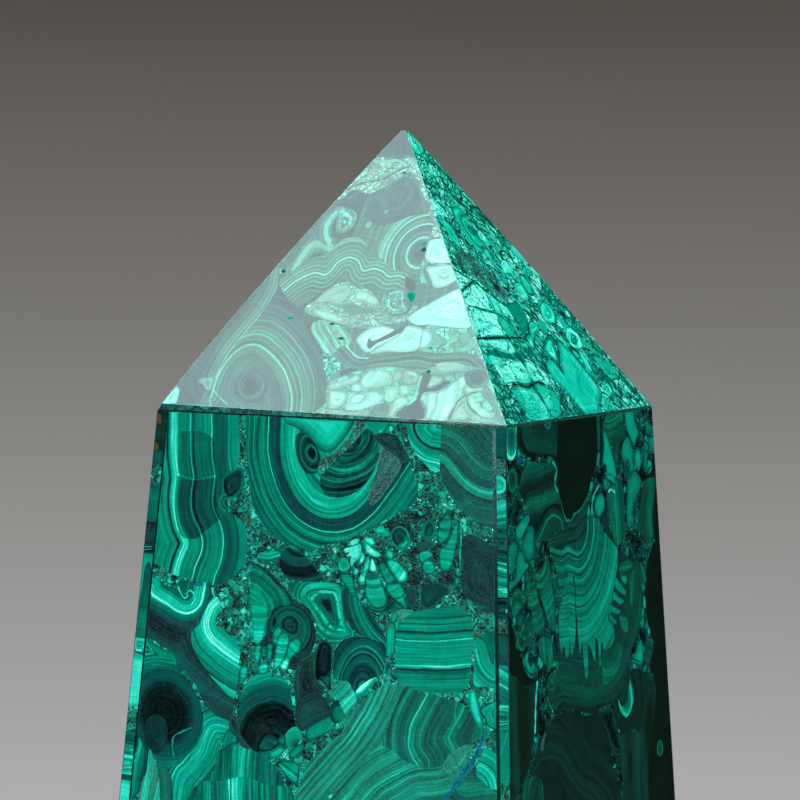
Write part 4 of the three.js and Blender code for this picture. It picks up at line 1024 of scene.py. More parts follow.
CAP_FRONT = [
    chip("cap_grey", (-38, -1), (0, -1), (0, 54), (-38, 54), lighter=-0.16),
    chip("cap_grey", (-1, -1), (38, -1), (38, 54), (-1, 54)),
    Stone("cap_side", PANEL_LINE, (-18.5, 26.5), (-18, 22.5), (-19.3, 18.5), (-21.5, 14.8), (-23.6, 11),
          (-24.8, 7), (-25.2, 4), (-24, -1), (-38, -1), (-30, 20)),
    Stone("cap_disc", RING_LINE, (-24.8, 7), (-23.6, 11), (-21.5, 14.8), (-19.3, 18.5), (-18, 22.5),
          (-18.2, 25.5), (-16, 22.5), (-13, 19.5), (-10, 16.5), (-7.5, 13.5), (-5, 11), (-3, 8.5),
          (-1.7, 5.5), (-1, 2.5), (-0.3, -1), (-24, -1), (-25, 3)),
    Stone("cap_core", rings(-17.3, 5.4, 1.3, 150), (-20.8, 5), (-19.5, 7.6), (-17.2, 8.2), (-14.5, 6.6),
          (-12.8, 3.6), (-14, 1.2), (-17, 1.2), (-19.8, 2.6)),
    vein("cap_light", 0.25, (-24.8, 4.3), (-23.6, 3.4), (-22, 2.4), (-20.6, 1.6)),
    chip("cap_chip", (-28.2, 6.1), (-27, 6.3), (-25.4, 6.5), (-25, 5.6), (-25.1, 4.3), (-26, 4.1), (-27, 5),
         (-28, 5.4), lighter=-0.17),
    chip("cap_corner", (-34.6, 1.1), (-34.3, 3.4), (-33, 4.8), (-31.6, 4.6), (-31, 3.4), (-31, 1.6),
         (-31.7, 1), (-33.5, 0.9), lighter=-0.06),
    chip("cap_haze", (-18.6, 27.5), (-16.8, 26), (-14.5, 27.5), (-13, 29.5), (-14, 32), (-12.8, 34),
         (-11.5, 37.5), (-12.5, 39.6), (-16, 37), lighter=0.02),
    Stone("cap_swirl", along((-15.3, 26), (-15, 28.5), (-13.6, 30.6), (-11.5, 31), (-9.5, 30.4)),
          (-17.5, 25.5), (-16.3, 28), (-15, 31), (-12.6, 33), (-11, 32.5), (-8.8, 32.2), (-9, 30.2),
          (-10.5, 29), (-12.5, 28.8), (-14.3, 27.3), (-16, 25), lighter=-0.06),
    Stone("cap_swirl", along((-10.2, 37), (-11.3, 35.5), (-11.6, 33.8), (-11, 32.2), (-10, 31.3)),
          (-10, 38), (-12, 37), (-13.2, 34.5), (-12.7, 32), (-10.5, 30.8), (-9.6, 32), (-10.4, 34),
          (-10.2, 36), lighter=-0.09),
    chip("cap_mottle", (-10.6, 37.6), (-9.2, 37.9), (-6.5, 36.8), (-6, 35.3), (-6.7, 33.8), (-8.5, 33),
         (-9.8, 34.2), (-10, 36), lighter=-0.06),
    chip("cap_chip", (-10.3, 36.8), (-9.6, 37.7), (-8.8, 37.3), (-9.2, 36.5)),
    Stone("cap_plain", rings(1, 40, 1.2, 40), (-4.8, 37), (-2.5, 40), (-0.6, 42.5), (1.6, 43.6),
          (4.4, 41.8), (6, 39), (7, 37.3), (5, 36.4), (2, 35.4), (-1, 34.6), (-3.6, 35)),
    chip("cap_light", (-3.9, 34.7), (-3.5, 35.3), (-2.8, 35.3), (-2.5, 34.8), (-2.9, 34.2), (-3.6, 34.2),
         lighter=-0.12),
    chip("cap_light", (-1, 37.2), (-0.4, 37.6), (0, 37.2), (-0.4, 36.8), lighter=-0.15),
    chip("cap_ragged", (-10.5, 39.3), (-8.5, 41), (-5, 40.4), (-2.2, 41.7), (0, 43.4), (2, 44.6), (4, 42.8),
         (5.5, 40.8), (8, 39), (3.3, 46), (1, 47.2), (-1, 46.6), (-4, 47), (-7, 48), (-14, 40),
         lighter=-0.03),
    vein("cap_shade", 0.5, (-10.5, 40.8), (-8, 42), (-6, 42.6), (-3, 43.2), (-1, 44.6), (1.5, 45.6),
         lighter=0.03),
    vein("cap_shade", 0.35, (-9, 39.4), (-7.5, 40.4), (-5, 42.3), (-3, 44.6), (-1, 45.8), lighter=0.17),
    vein("cap_light", 0.5, (-6.3, 46.6), (-4, 46.2), (-2, 46.8), (0.4, 46), lighter=-0.06),
    chip("cap_tip", (-8, 47.6), (-5.2, 47.2), (-3, 47.4), (-1.2, 46.9), (0.3, 47.8), (1.8, 47.2), (5, 47),
         (0, 55), (-6, 55)),
    Stone("cap_rings", rings(9, 30), (9.8, 26.3), (7.5, 25.8), (5, 26), (3, 26.4), (1.5, 28.1), (0.2, 30.5),
          (0.5, 33), (2, 35.2), (5, 36.6), (8, 37), (9.4, 36.2), (9.9, 34), (9.6, 32), (10.1, 30.5),
          (9.7, 28.5)),
    chip("cap_ragged", (8.2, 37.4), (9.8, 35.6), (10, 33.8), (10.5, 33), (13.5, 33), (9, 40.5),
         lighter=0.01),
    Stone("cap_contours", CONTOUR_LINE, (-17.8, 23.8), (-15.8, 26), (-14, 27.6), (-12, 28.6), (-10, 29),
          (-9, 30.6), (-7, 32.2), (-4, 32.3), (-2.3, 31), (-1, 29.2), (1.6, 28.6), (4, 27), (7.3, 26.2),
          (8.4, 24.5), (6.4, 23), (3, 22.6), (0, 23.7), (-3, 24.4), (-6, 24), (-9, 22), (-12, 19.8),
          (-14.5, 20.6)),
    chip("cap_shade", (7.3, 25.4), (9, 25.2), (10, 23.8), (9.6, 22.9), (8.2, 23.6), lighter=-0.1),
    chip("cap_ragged", (-11, 19.3), (-9, 21.2), (-7.5, 23), (-5.5, 24), (-3.8, 24.3), (-1.5, 23.2), (1, 23),
         (3.6, 20.9), (4.5, 19.5), (7, 19.2), (9.3, 19.8), (11.5, 20.6), (10.4, 18.2), (9.5, 17.6), (6, 17),
         (3, 16.2), (0, 16.2), (-3, 17), (-6, 17.6), (-9.5, 18.2), lighter=-0.05),
    chip("cap_mottle", (4, 22.6), (6, 23.4), (8, 23.2), (9, 21), (10.4, 19.9), (9, 18.6), (6.4, 18.4),
         (4.4, 19.8), lighter=-0.03),
    chip("cap_cell", (-9.5, 20.4), (-7.5, 22.8), (-5.5, 23.8), (-4, 24.1), (-2.6, 22.8), (-3, 21.5),
         (-4.6, 20.2), (-7, 20.6), lighter=-0.13),
    chip("cap_cell", (-1.8, 22.8), (-0.4, 23), (1.6, 22.4), (3.5, 20.9), (2.6, 20.3), (0.6, 20.9),
         (-1.4, 21.3), lighter=-0.1),
    chip("cap_shade", (-5, 20), (-2, 20.6), (0.5, 20), (2.5, 19.9), (3.6, 19), (1, 18.7), (-1.5, 18.3),
         (-2.6, 19.2), lighter=0.23),
    chip("cap_cell", (-9.6, 19.4), (-6.5, 19), (-3.5, 18.2), (-1.4, 17.1), (-2.2, 16.7), (-5, 17.2),
         (-8, 18), lighter=-0.05),
    Stone("cap_weave", along((-6, 17), (-2, 13)), (-8.6, 15.8), (-7.4, 17.4), (-4, 16.8), (-1.2, 15.6),
          (0.3, 14), (-0.4, 12.6), (-2.2, 11.6), (-4, 11.2), (-6, 13)),
    chip("cap_cell", (-4.4, 15.3), (-3.2, 16), (-2, 15.4), (-2.6, 14.6), (-3.8, 14.5), lighter=-0.04),
    chip("cap_cell", (13, 20.6), (15, 21.9), (18.5, 23.8), (19.6, 23.6), (23.6, 17.6), (21.5, 16.9),
         (18, 17), (14.5, 17.2), (12, 17.2), (10.2, 18.2), (11.3, 19.5), lighter=0.08),
    chip("cap_cell", (10.2, 32.3), (13, 32.3), (15.3, 30), (15.3, 28.3), (12.6, 28), (10.4, 28.8),
         (9.9, 30.5), lighter=0.08),
    chip("cap_cell", (10.8, 27.4), (12.5, 27.7), (15.5, 28), (17.5, 26.5), (17.6, 25.3), (15.6, 24),
         (13.6, 24), (12.6, 25.2), (11.8, 26.2), lighter=0.06),
    chip("cap_mottle", (9.8, 28.6), (11, 28.3), (10.5, 27), (11.3, 25.8), (12, 24.6), (10.6, 24.4),
         (9.8, 26), lighter=0.08),
    chip("cap_cell", (1.2, 14.4), (2.8, 16), (5.5, 16.8), (8, 16.2), (9.6, 15.2), (8.6, 14.2), (6, 13.2),
         (4.4, 12), (3, 12.4), (1.8, 13.4), lighter=0.06),
    chip("cap_cell", (4.6, 11.8), (8, 12.2), (13, 12.5), (14.4, 14), (14, 16.3), (10.6, 17), (9.6, 15.6),
         (7, 13.8), lighter=-0.02),
    chip("cap_shade", (3.6, 14.6), (3.6, 13.2), (4.4, 12.6), (5.4, 13.6), (7, 14.3), (9, 15.4),
         (10.2, 16.8), (8.5, 16.2), (6.5, 15), (5, 14.2), (4.2, 14.1)),
    chip("cap_net", (14.3, 12.6), (18, 12.4), (22, 12.6), (25, 12.2), (28, 11), (24, 17.2), (22, 16.8),
         (18, 16.8), (14.4, 17), (14.7, 14.5), lighter=-0.16),
    chip("cap_cell", (13.9, 16.4), (15.4, 16), (16.1, 14.8), (15.6, 13.4), (14.2, 13.1), (13.8, 14.8)),
    Stone("cap_shelf", SHELF_LINE, (-1.2, 13), (1, 11.9), (3, 11), (6, 11.6), (10, 12), (14, 12.6),
          (18, 12.3), (22, 12.6), (25, 12.3), (30, 10), (28.5, 8), (26, 9.2), (23, 9), (20, 8.8), (18, 9.5),
          (16, 8.4), (14, 9), (11, 9.8), (9, 9.8), (6, 8.8), (3, 8.8), (0.5, 9), (-1.6, 7.4), (-3.2, 8.5),
          (-3.8, 10.5), (-2.5, 11.5), lighter=0.08),
    vein("cap_light", 0.35, (-0.6, 13.1), (1, 11.9), (2.6, 11), (4.6, 11), lighter=0.06),
    chip("cap_rubble", (-5, 10.8), (-3.8, 11.7), (-2.4, 11), (-1, 10), (-0.3, 9), (-1.6, 7.8), (-2.2, 6.6),
         (-3, 8), lighter=-0.14),
    chip("cap_light", (-1.6, 9.6), (-1.2, 10.1), (-0.6, 9.9), (-0.8, 9.3), lighter=0.1),
    chip("cap_plain", (-0.2, 8.2), (1, 9), (2.8, 9), (3.6, 8.2), (2.4, 7.6), (0.6, 7.2), lighter=-0.08),
    chip("cap_net", (-2, 6.2), (0, 7.4), (3, 8.6), (9, 9.6), (14, 9.4), (17, 9.6), (20, 10.9), (24.4, 10.4),
         (28.6, 9), (36, -1), (-0.8, -1), (-1.4, 3), lighter=-0.2),
    chip("cap_cell", (-1.7, 5.6), (-1.2, 6.3), (1.5, 7.1), (3.6, 8), (4.1, 7.6), (3.4, 6.6), (1.2, 5.9),
         (-0.6, 5.2), lighter=-0.05),
    Stone("cap_cell", rings(3, 8, 1.5, 20), (4.3, 7.8), (5.4, 8.8), (7.5, 9.1), (9.4, 8.9), (10.4, 8),
          (10, 6.5), (8.8, 5.9), (6, 5.7), (4.5, 6.3), lighter=-0.07),
    chip("cap_cell", (2.9, 6.2), (4, 6.6), (5.2, 5.6), (4.6, 5.1), (3, 5.2)),
    chip("cap_cell", (-1.2, 5.1), (0.6, 5.3), (2.3, 4.9), (2.7, 3.8), (2.2, 2.6), (0.4, 1.9), (-0.6, 2.2),
         (-1.1, 3.8), lighter=-0.09),
    Stone("cap_cell", rings(5, 4, 2, 10), (2.9, 4.7), (5, 5), (8, 5.2), (9.8, 4.9), (9.6, 3.6), (8, 2.7),
          (5.5, 1.9), (3, 1.8), (2.7, 3)),
    chip("cap_cell", (-0.6, 1.7), (2, 1.6), (5, 1.5), (7.5, 2), (8, 0.9), (-0.4, 0.8), lighter=-0.14),
    chip("cap_cell", (10.5, 8.9), (12, 9.1), (12.5, 8), (11.5, 7.1), (10.6, 6.7), lighter=-0.22),
    chip("cap_cell", (12.2, 9.2), (14, 9.2), (15.5, 8.6), (15.6, 7), (13.8, 6.6), (12.7, 7.1),
         lighter=-0.16),
    chip("cap_cell", (10, 6), (11.6, 6.5), (12.2, 5.4), (12, 3.8), (10.4, 3.6), (9.9, 4.8), lighter=-0.05),
    chip("cap_cell", (12.5, 6.4), (14, 6.3), (14.6, 5.2), (13.5, 4.8), (12.6, 5.2)),
    chip("cap_grey", (8.1, 2.5), (10, 3.3), (11.3, 3), (11.4, 1), (8, 0.9), lighter=0.09),
    chip("cap_cell", (12.2, 4.2), (14, 4.6), (15.2, 3.8), (14.2, 2.9), (12.9, 1.9), (12.8, 0.9),
         (11.7, 0.9), (11.6, 2.4), lighter=-0.01),
    Stone("cap_cell", rings(14, 2, 1.2, 50), (17.3, 5.1), (19.5, 5.5), (21.5, 6.3), (23.4, 8.1),
          (24.9, 8.6), (25.3, 7.6), (24.6, 6.4), (24.8, 5.2), (24.2, 3.6), (23.4, 1.6), (23, 0.8),
          (19.3, 0.8), (19, 2.4), (17.8, 3.8)),
    chip("cap_cell", (25.1, 8.2), (26, 6.9), (28.4, 7), (28.6, 6.2), (27.4, 5.9), (26, 5.5), (25.1, 6)),
    chip("cap_cell", (24.7, 4.8), (25.8, 5.1), (27, 3), (29, 1.8), (31.4, 1.3), (32.4, 0.9), (28, 0.8),
         (23.7, 0.8), lighter=-0.08),
    chip("cap_cell", (26.3, 5.3), (27.3, 5.2), (27.9, 4.4), (28.8, 4), (29.3, 3.3), (30.3, 3.2), (31, 2.6),
         (32.2, 2.4), (32, 1.7), (30.6, 1.6), (28.8, 2.2), (27, 3.6), lighter=0.01),
    chip("cap_grey", (28.8, 7.2), (30, 6.6), (32.6, 3.2), (34.4, 0.8), (33.2, 1), (31.8, 3), (29.8, 4.6),
         (28.6, 5.6), lighter=0.16),
    chip("cap_cell", (17.9, 8.6), (20.2, 8.4), (21, 7.4), (19.4, 6.6), (17.6, 6), lighter=-0.22),
    chip("cap_cell", (18.1, 10.3), (19.6, 10.8), (22.4, 10.6), (24.4, 10.2), (24.6, 9.4), (22, 9.2),
         (20, 8.8), (18.4, 9.2), lighter=-0.09),
    Stone("cap_core", rings(26.8, 8.6, 1.3, 170), (24.4, 9), (25, 7.4), (26.6, 6.5), (28.6, 6.8),
          (29.4, 7.6), (28.4, 9.6), (26, 9.8), lighter=0.11),
    chip("cap_shade", (15.8, 8.6), (17, 9), (18, 8.4), (17.7, 6.4), (19, 6.4), (21, 7.6), (22, 7.4),
         (20, 5.9), (17.4, 5.4), (17.2, 4), (18.2, 2.6), (18.6, 1), (16, 0.7), (13.2, 1.2), (14, 2.6),
         (15.6, 3.4), (16.4, 4.6), (16.3, 6.6), lighter=-0.04),
    vein("cap_light", 0.45, (16.1, 8.4), (15.9, 6.6), (16, 5), (15.3, 4.2), lighter=-0.01),
    vein("cap_shade", 0.25, (23.6, 0.8), (24, 2.6), (24.6, 4.4), (26, 5.4), (28, 6), lighter=-0.29),
    vein("cap_shade", 0.2, (26, 5.2), (26.6, 3.6), (28, 2.8), (30, 1.4)),
    vein("cap_shade", 0.2, (18, 16.8), (18.4, 15), (17.8, 12.6)),
    vein("cap_shade", 0.2, (12, 28.1), (13.4, 28.2), (15.8, 28.2)),
    chip("pit", (-18.2, 25.8), (-17.7, 26.2), (-17.1, 25.9), (-17.5, 25.5), step=0.2),
    chip("pit", (-5.9, 37.2), (-5.7, 37.4), (-5.5, 37.2), (-5.7, 37), step=0.2),
    chip("pit", (2.7, 36.7), (3.1, 37), (3.3, 36.8), (2.9, 36.6), step=0.2),
    chip("pit", (0.4, 44.4), (0.9, 44.6), (1.2, 44.4), (0.7, 44.2), step=0.2),
    chip("pit", (8.7, 31.6), (9.1, 31.9), (9.5, 31.6), (9.1, 31.3), step=0.2, lighter=0.2),
    chip("pit", (8.9, 30.6), (9.4, 31), (9.9, 30.7), (9.7, 30.2), (9.2, 30.2), step=0.2),
    chip("pit", (8.7, 22.4), (9.3, 22.9), (10.1, 22.7), (10.5, 21.9), (10, 21.2), (9.4, 21.5), step=0.2,
         lighter=0.2),
    chip("pit", (-14, 17.5), (-13.2, 17.8), (-12.6, 17.5), (-13.3, 17.2), step=0.2, lighter=0.2),
    chip("pit", (-5.1, 16.7), (-4.6, 17), (-4.1, 16.8), (-4.5, 16.5), step=0.2),
    chip("pit", (-2.6, 14.3), (-1.9, 14.5), (-1.2, 14.2), (-2, 14), step=0.2),
    chip("pit", (16, 13.2), (16.4, 13.5), (16.7, 13.2), (16.4, 12.9), step=0.2, lighter=0.2),
    chip("pit", (16.8, 9.1), (17.2, 9.4), (17.6, 9.1), (17.2, 8.8), step=0.2),
    chip("pit", (-31.6, 6.3), (-31.2, 6.5), (-30.9, 6.3), (-31.3, 6.1), step=0.2),
]

# The cap's right slope, in the same way: across is towards the back
CAP_RIGHT = [
    chip("small_net", (-36, 27), (36, 27), (36, 56), (-36, 56)),
    Stone("flow_net", along((0, 52), (36, 0)), (4, 46), (-1, 30), (-4, 24), (-4, -1), (38, -1), (38, 27),
          (18, 54)),
    chip("dark_net", (-38, -1), (-23, -1), (-22.5, 3), (-24, 7), (-24.6, 10), (-30, 10), lighter=0.1),
    chip("dark_net", (-16.5, 28.5), (-14, 30), (-11.5, 33), (-9.6, 34.4), (-8, 31), (-5, 29.5), (-5, 27.5),
         (-10, 25.5), (-14.5, 26), lighter=0.18),
    chip("panel", (-20, 23.6), (-18, 27), (-15, 26), (-12, 25.1), (-16, 24.5), lighter=0.08),
    chip("panel", (-21, 20.9), (-20, 23.1), (-16, 23.9), (-12, 24.6), (-10.3, 23.6), (-10.2, 22),
         (-11, 20.6), (-11, 19.5), (-15, 20.1), lighter=0.06),
    chip("panel", (-10.3, 23.5), (-8, 22.1), (-5.6, 20.7), (-4.2, 19.9), (-4, 17.5), (-7, 17.9),
         (-9.5, 18.8), (-10.7, 19.5), (-9.9, 21), lighter=-0.05),
    chip("panel", (-25, 15.5), (-21.3, 20.6), (-15, 19.7), (-10.6, 18.9), (-12.2, 17.5), (-11.8, 15.4),
         (-16, 15.3), (-20, 15.4), lighter=0.05),
    chip("panel", (-11.5, 18.3), (-9.5, 18.5), (-7.5, 17.6), (-6.5, 16.7), (-8, 15.3), (-11.3, 15.2),
         lighter=-0.18),
    chip("panel", (-25.5, 14.8), (-23, 15), (-20.6, 13), (-24, 13), (-26, 13), lighter=-0.05),
    chip("panel", (-22.4, 14.8), (-20.4, 13.1), (-17, 12.2), (-13, 12), (-11.8, 13.2), (-12.6, 14.5),
         (-16, 14.8), lighter=0.02),
    chip("panel", (-25.4, 12.3), (-20, 11.8), (-15, 11), (-12.6, 10.8), (-12, 9), (-13, 7.1), (-16, 6.8),
         (-20, 7.3), (-24.6, 7.2), (-25, 9), lighter=-0.02),
    chip("panel", (-11.6, 10), (-10.6, 11.1), (-8.4, 10.9), (-6, 9.5), (-5, 8.3), (-5.2, 6.6), (-7, 6),
         (-9.5, 7), (-12.2, 7.1), lighter=-0.03),
    chip("panel", (-23.6, 6.4), (-20, 6.6), (-16, 6), (-14, 6), (-14, 0.8), (-23.4, 0.8), (-23.8, 3),
         lighter=-0.15),
    chip("panel", (-12.3, 6.4), (-10, 6.5), (-7.5, 5.6), (-5.4, 4.6), (-6, 3), (-7.5, 2), (-9, 0.8),
         (-13.2, 0.8), (-12.8, 3), lighter=-0.16),
    chip("dark_net", (-12, 13), (-10.6, 14.8), (-8.6, 14.6), (-6, 15.2), (-4.4, 14.8), (-4.4, 11),
         (-6.6, 11.4), (-8.6, 12), (-10, 11.7), (-11.4, 12), lighter=0.12),
    chip("panel", (-8, 14), (-6.8, 14.2), (-5, 13.6), (-6, 12.6), (-7.8, 12.8), lighter=-0.04),
    chip("panel", (-7.4, 10.6), (-5.4, 10.6), (-5, 9.2), lighter=-0.08),
    vein("dark_vein", 0.45, (-25.4, 15.2), (-18, 15), (-12, 14.8), (-6, 14.6), (-3.6, 13.6), lighter=-0.06),
    vein("dark_vein", 0.3, (-20.8, 20.9), (-14, 19.8), (-9, 18.7), (-4, 17.4), lighter=0.21),
    vein("dark_vein", 0.35, (-20, 23.3), (-16, 24.2), (-12, 24.9), (-10.4, 23.8), (-7.8, 22.2),
         (-4.4, 20.2), lighter=-0.04),
    vein("dark_vein", 0.35, (-25.8, 12.6), (-20, 12.4), (-15, 11.4), (-10.5, 11.7), (-7, 11.3),
         lighter=0.27),
    vein("dark_vein", 0.3, (-24.6, 6.8), (-20, 6.9), (-16, 6.3), (-10, 6.9), (-7, 5.9), (-5.3, 4.4),
         lighter=-0.14),
    vein("dark_vein", 0.3, (-17.6, 27.2), (-14.5, 26), (-10.6, 24.4)),
    vein("dark_vein", 0.35, (-16.6, 28.8), (-13.6, 27.2), (-10.4, 25.4)),
    vein("dark_vein", 0.4, (-13.6, 6.4), (-13.2, 3.6), (-13.6, 0.8), lighter=0.25),
    vein("dark_vein", 0.3, (-8.4, 10.9), (-6.4, 9.6), (-4.8, 8.2)),
    vein("dark_vein", 0.35, (-4.5, 15), (-4.6, 10), (-4.6, 5), (-5.4, 2.4), lighter=0.03),
    chip("granular", (-14.4, 28.4), (-12, 30.2), (-9, 30.4), (-6, 29.4), (-4, 27.4), (-2, 26.4), (-1, 24),
         (-0.6, 22.5), (-2.6, 21), (-5.5, 21.2), (-7.5, 22.8), (-10, 24.8), (-12.5, 26.4)),
    chip("pit", (-4.8, 23.8), (-3.6, 24.4), (-2.6, 23.8), (-3, 23), (-4.2, 23), lighter=-0.25),
    chip("flat_green", (-4.2, 20.4), (-1, 20.8), (1.6, 20.4), (1.9, 18.4), (0.6, 16.8), (-1.4, 15.8),
         (-3.6, 15.4), (-4.2, 17.4), lighter=-0.06),
    chip("slope_loops", (0, 16.6), (2, 17.4), (4.2, 16.8), (3.8, 15.6), (1.6, 15.2), (-1.4, 13.6),
         (-4, 12.2), (-4, 14.8), (-2, 15.4), lighter=-0.06),
    chip("panel", (5, 17.2), (6.6, 17.6), (8.2, 16.6), (7.6, 15.2), (5.6, 14.8), (4.6, 15.8),
         lighter=-0.15),
    chip("slope_loops", (-3.6, 10.8), (-1, 12), (2, 13.2), (5, 14.4), (8, 14.6), (6, 11.6), (3.2, 9.2),
         (1.6, 10.8), (-1, 11.1), lighter=0.05),
    chip("half_circle", (-3, 7.4), (-2.6, 9.4), (-1, 10.5), (1.4, 10.4), (2.8, 9.2), (3.4, 8.4), (5, 10.1),
         (7, 11.7), (9, 13.6), (10.3, 13.3), (12.3, 11.6), (13.8, 9), (15, 6), (15.6, 4.2), (13.5, 3),
         (11, 1.9), (9.4, 0.4), (2, 0.4), (0.8, 2.5), (-0.6, 5), lighter=-0.07),
    chip("dark_net", (-4.6, 4.8), (-2.8, 7), (-1.2, 5), (0.6, 2.6), (1.6, 0), (-9, -1), (-6, 2.4),
         lighter=0.09),
    vein("dark_vein", 0.35, (-4, 9.6), (-2.4, 10.8), (0, 11), (1.8, 10.6), (3, 9.2), (4.6, 10), (6.6, 11.4),
         (8, 13), (9.4, 13.9), (11.4, 12.8), (13.2, 10.4), (14.4, 7.4), (15.6, 4.2), lighter=-0.02),
    vein("dark_vein", 0.3, (15.7, 4), (13, 2.8), (10.4, 1.8), (8, 0.4), lighter=0.32),
    vein("dark_vein", 0.4, (15.4, 4), (17, 3.2), (18.2, 2.2), (19, 0.6), lighter=-0.28),
    chip("pit", (2.2, 9.2), (2.8, 9.8), (3.8, 9.2), (3.4, 8), (2.8, 7.6), lighter=-0.1),
    chip("panel", (16.2, 4.2), (17.8, 5.6), (19.8, 5.7), (21, 4.4), (19.6, 3.3), (17.6, 3.1),
         lighter=-0.08),
    chip("panel", (12, 1.9), (14.6, 3.3), (16.4, 2.6), (17.4, 1), (16, 0.4), (12, 0.4), lighter=-0.17),
    chip("dark_net", (17.4, 6.4), (18.8, 7.6), (18.6, 10), (19.4, 10.9), (20.6, 8.6), (21.9, 7.9),
         (22.2, 5.6), (21.2, 4), (20.2, 5.9), (18.4, 5.9), lighter=-0.11),
    Stone("slope_loops", rings(16.6, 9.4, 3, 80), (15.2, 8), (15.6, 11), (16.6, 11.8), (17.6, 10),
          (17.4, 7.6), (16.4, 6.4), lighter=0.02),
    chip("panel", (20.8, 9.6), (22.4, 10.8), (25, 9.8), (27, 8.6), (27.5, 6.4), (25.2, 5.7), (22.8, 5.9),
         (22.2, 7.9), lighter=-0.21),
    Stone("slope_loops", rings(17, 13.6, 2.2, 15), (14.2, 12.4), (14.6, 15), (17, 16.2), (20, 15.4),
          (21, 13.2), (19.4, 11.8), (16.6, 11.8), lighter=0.04),
    Stone("slope_loops", rings(12.2, 18.4, 1.9, 20), (8.8, 17.6), (10, 20), (12.4, 21), (15, 20),
          (15.4, 17.6), (13, 16.4), (10.4, 16.4), lighter=-0.03),
    chip("dark_net", (17.8, 24.2), (20.4, 25), (25, 15.6), (23.4, 13), (20.8, 14.6), (19.8, 17), (17, 17.4),
         (16, 20.6), (13.6, 22), (16.4, 23), lighter=0.06),
    chip("panel", (20.2, 18), (21.2, 19.2), (22.4, 18.6), (21.8, 17.2), lighter=0.02),
    chip("panel", (4.4, 21.2), (4.4, 23.6), (6, 24.4), (8.4, 24), (8, 21.6), (6.4, 20.8), lighter=-0.13),
    chip("panel", (3.6, 25.2), (4.6, 27.8), (7.4, 28.4), (9, 26.8), (8.4, 25), (6, 24.8), lighter=-0.11),
    Stone("slope_loops", rings(10.4, 23.6, 1.3, 60), (8.7, 22), (9, 25), (11.4, 25.8), (12.8, 24), (12, 22),
          lighter=-0.06),
    chip("panel", (11.8, 26), (12.8, 27.8), (15, 27.6), (15.6, 26), (13.8, 25), lighter=-0.26),
    chip("panel", (12.6, 29.6), (14.4, 31.2), (16.6, 29.6), (17.6, 27), (16, 27.4), (14.4, 28.6),
         lighter=-0.18),
    chip("dark_net", (10, 31.6), (12, 33.8), (14.4, 33), (12.4, 30.4), (11, 28), (10.2, 29.4),
         lighter=0.02),
    chip("dark_net", (24.4, 14.4), (27.6, 11), (29.6, 6.6), (33, 2), (30.6, 2.4), (28.4, 4.6), (27.8, 8),
         (26, 10.6), (22.6, 12), (22, 13.2), lighter=0.06),
    chip("half_moon", (-9.4, 30.6), (-8.2, 31.4), (-7.4, 33), (-7.6, 34.8), (-8.6, 36.2), (-10.2, 35.6),
         (-10.6, 33), lighter=-0.08),
    vein("dark_vein", 0.6, (-8, 36.4), (-7, 35), (-6.6, 33.2), (-7.2, 31.8)),
    chip("panel", (-11.8, 36.6), (-9.6, 39.8), (-7.4, 39.6), (-5.8, 37.6), (-6.2, 36.2), (-8.6, 36.8),
         lighter=0.01),
    Stone("slope_loops", rings(0.6, 34, 1.2, 80), (-3.4, 34.6), (-2.6, 37.4), (0, 38.4), (2, 36.6), (2, 33),
          (1, 30.4), (-1.4, 29.8), (-3, 31.6), lighter=-0.09),
    chip("panel", (2.4, 32), (2.6, 33.6), (4.2, 34), (5.6, 33), (5.2, 31.2), (3.6, 31), lighter=-0.05),
    chip("dark_net", (-8.4, 41), (-7, 43.6), (-4.2, 43.4), (-3, 41), (-4.6, 39.6), (-6.6, 39.8),
         lighter=0.13),
    chip("dark_net", (3.4, 40.4), (5, 43.6), (6.4, 45), (9, 42), (8, 40.6), (7, 42.4), (5.6, 41),
         lighter=0.08),
    chip("panel", (-1.2, 43.8), (-0.6, 46), (1.2, 46.4), (2, 45), (0.8, 43.8), lighter=-0.05),
    chip("panel", (-2, 47.8), (-2.4, 50.4), (0, 52.6), (3, 49.6), (1.4, 48.2), lighter=-0.08),
]


def course(look, top, bottom, slope=0.0, lighter=0.0, field=inwards):
    """A fragment right across a slab's narrow edge, between two depths. Its ends slope down to the right."""
    return Stone(
        look, field, (-41, top - slope), (-31, top), (31, top), (41, top + slope),
        (41, bottom + slope), (31, bottom), (-31, bottom), (-41, bottom - slope), lighter=lighter,
    )


# The sawn edges of the two slabs, on the front, from the shoulder down
LEFT_EDGE = [
    course("olive", -1, 7.2, lighter=-0.04),
    chip("rust", (-35.1, 0.4), (-34.2, 0.7), (-34.1, 2.2), (-35, 2)),
    chip("rust", (-35.3, 5.8), (-34.4, 6), (-34.4, 7.1), (-35.4, 7)),
    course("dim", 7.2, 9.6, lighter=-0.05),
    course("ground", 9.6, 13.8),
    course("dim", 13.8, 20.4),
    course("slate", 20.4, 24.7),
    course("deep", 24.7, 26.4, 1),
    vein("bright", 0.2, (-36.6, 25), (-34.8, 24.9), lighter=-0.15),
    vein("bright", 0.2, (-36.6, 25.6), (-34.8, 25.3), lighter=-0.2),
    course("mid", 26.4, 36.2, lighter=0.04),
    chip("dim", (-36, 28.6), (-34.8, 28.4), (-34.6, 37), (-36.9, 37), (-36.4, 32), lighter=-0.04),
    course("dim", 36.2, 41.8, lighter=0.04),
    course("flow", 41.8, 43.9),
    course("gravel", 43.9, 45),
    course("bright", 45, 54.4, lighter=-0.14),
    vein("bright", 0.2, (-38.2, 46.8), (-36.4, 46)),
    course("ground", 54.4, 58.6),
    course("deep", 58.6, 61),
    vein("bright", 0.25, (-38.6, 58.9), (-36.6, 58.2), lighter=-0.1),
    course("fine", 61, 63.3),
    course("flow", 63.3, 67, lighter=0.05),
    course("deep", 67, 68.3),
    course("bright", 68.3, 76, lighter=-0.14),
]
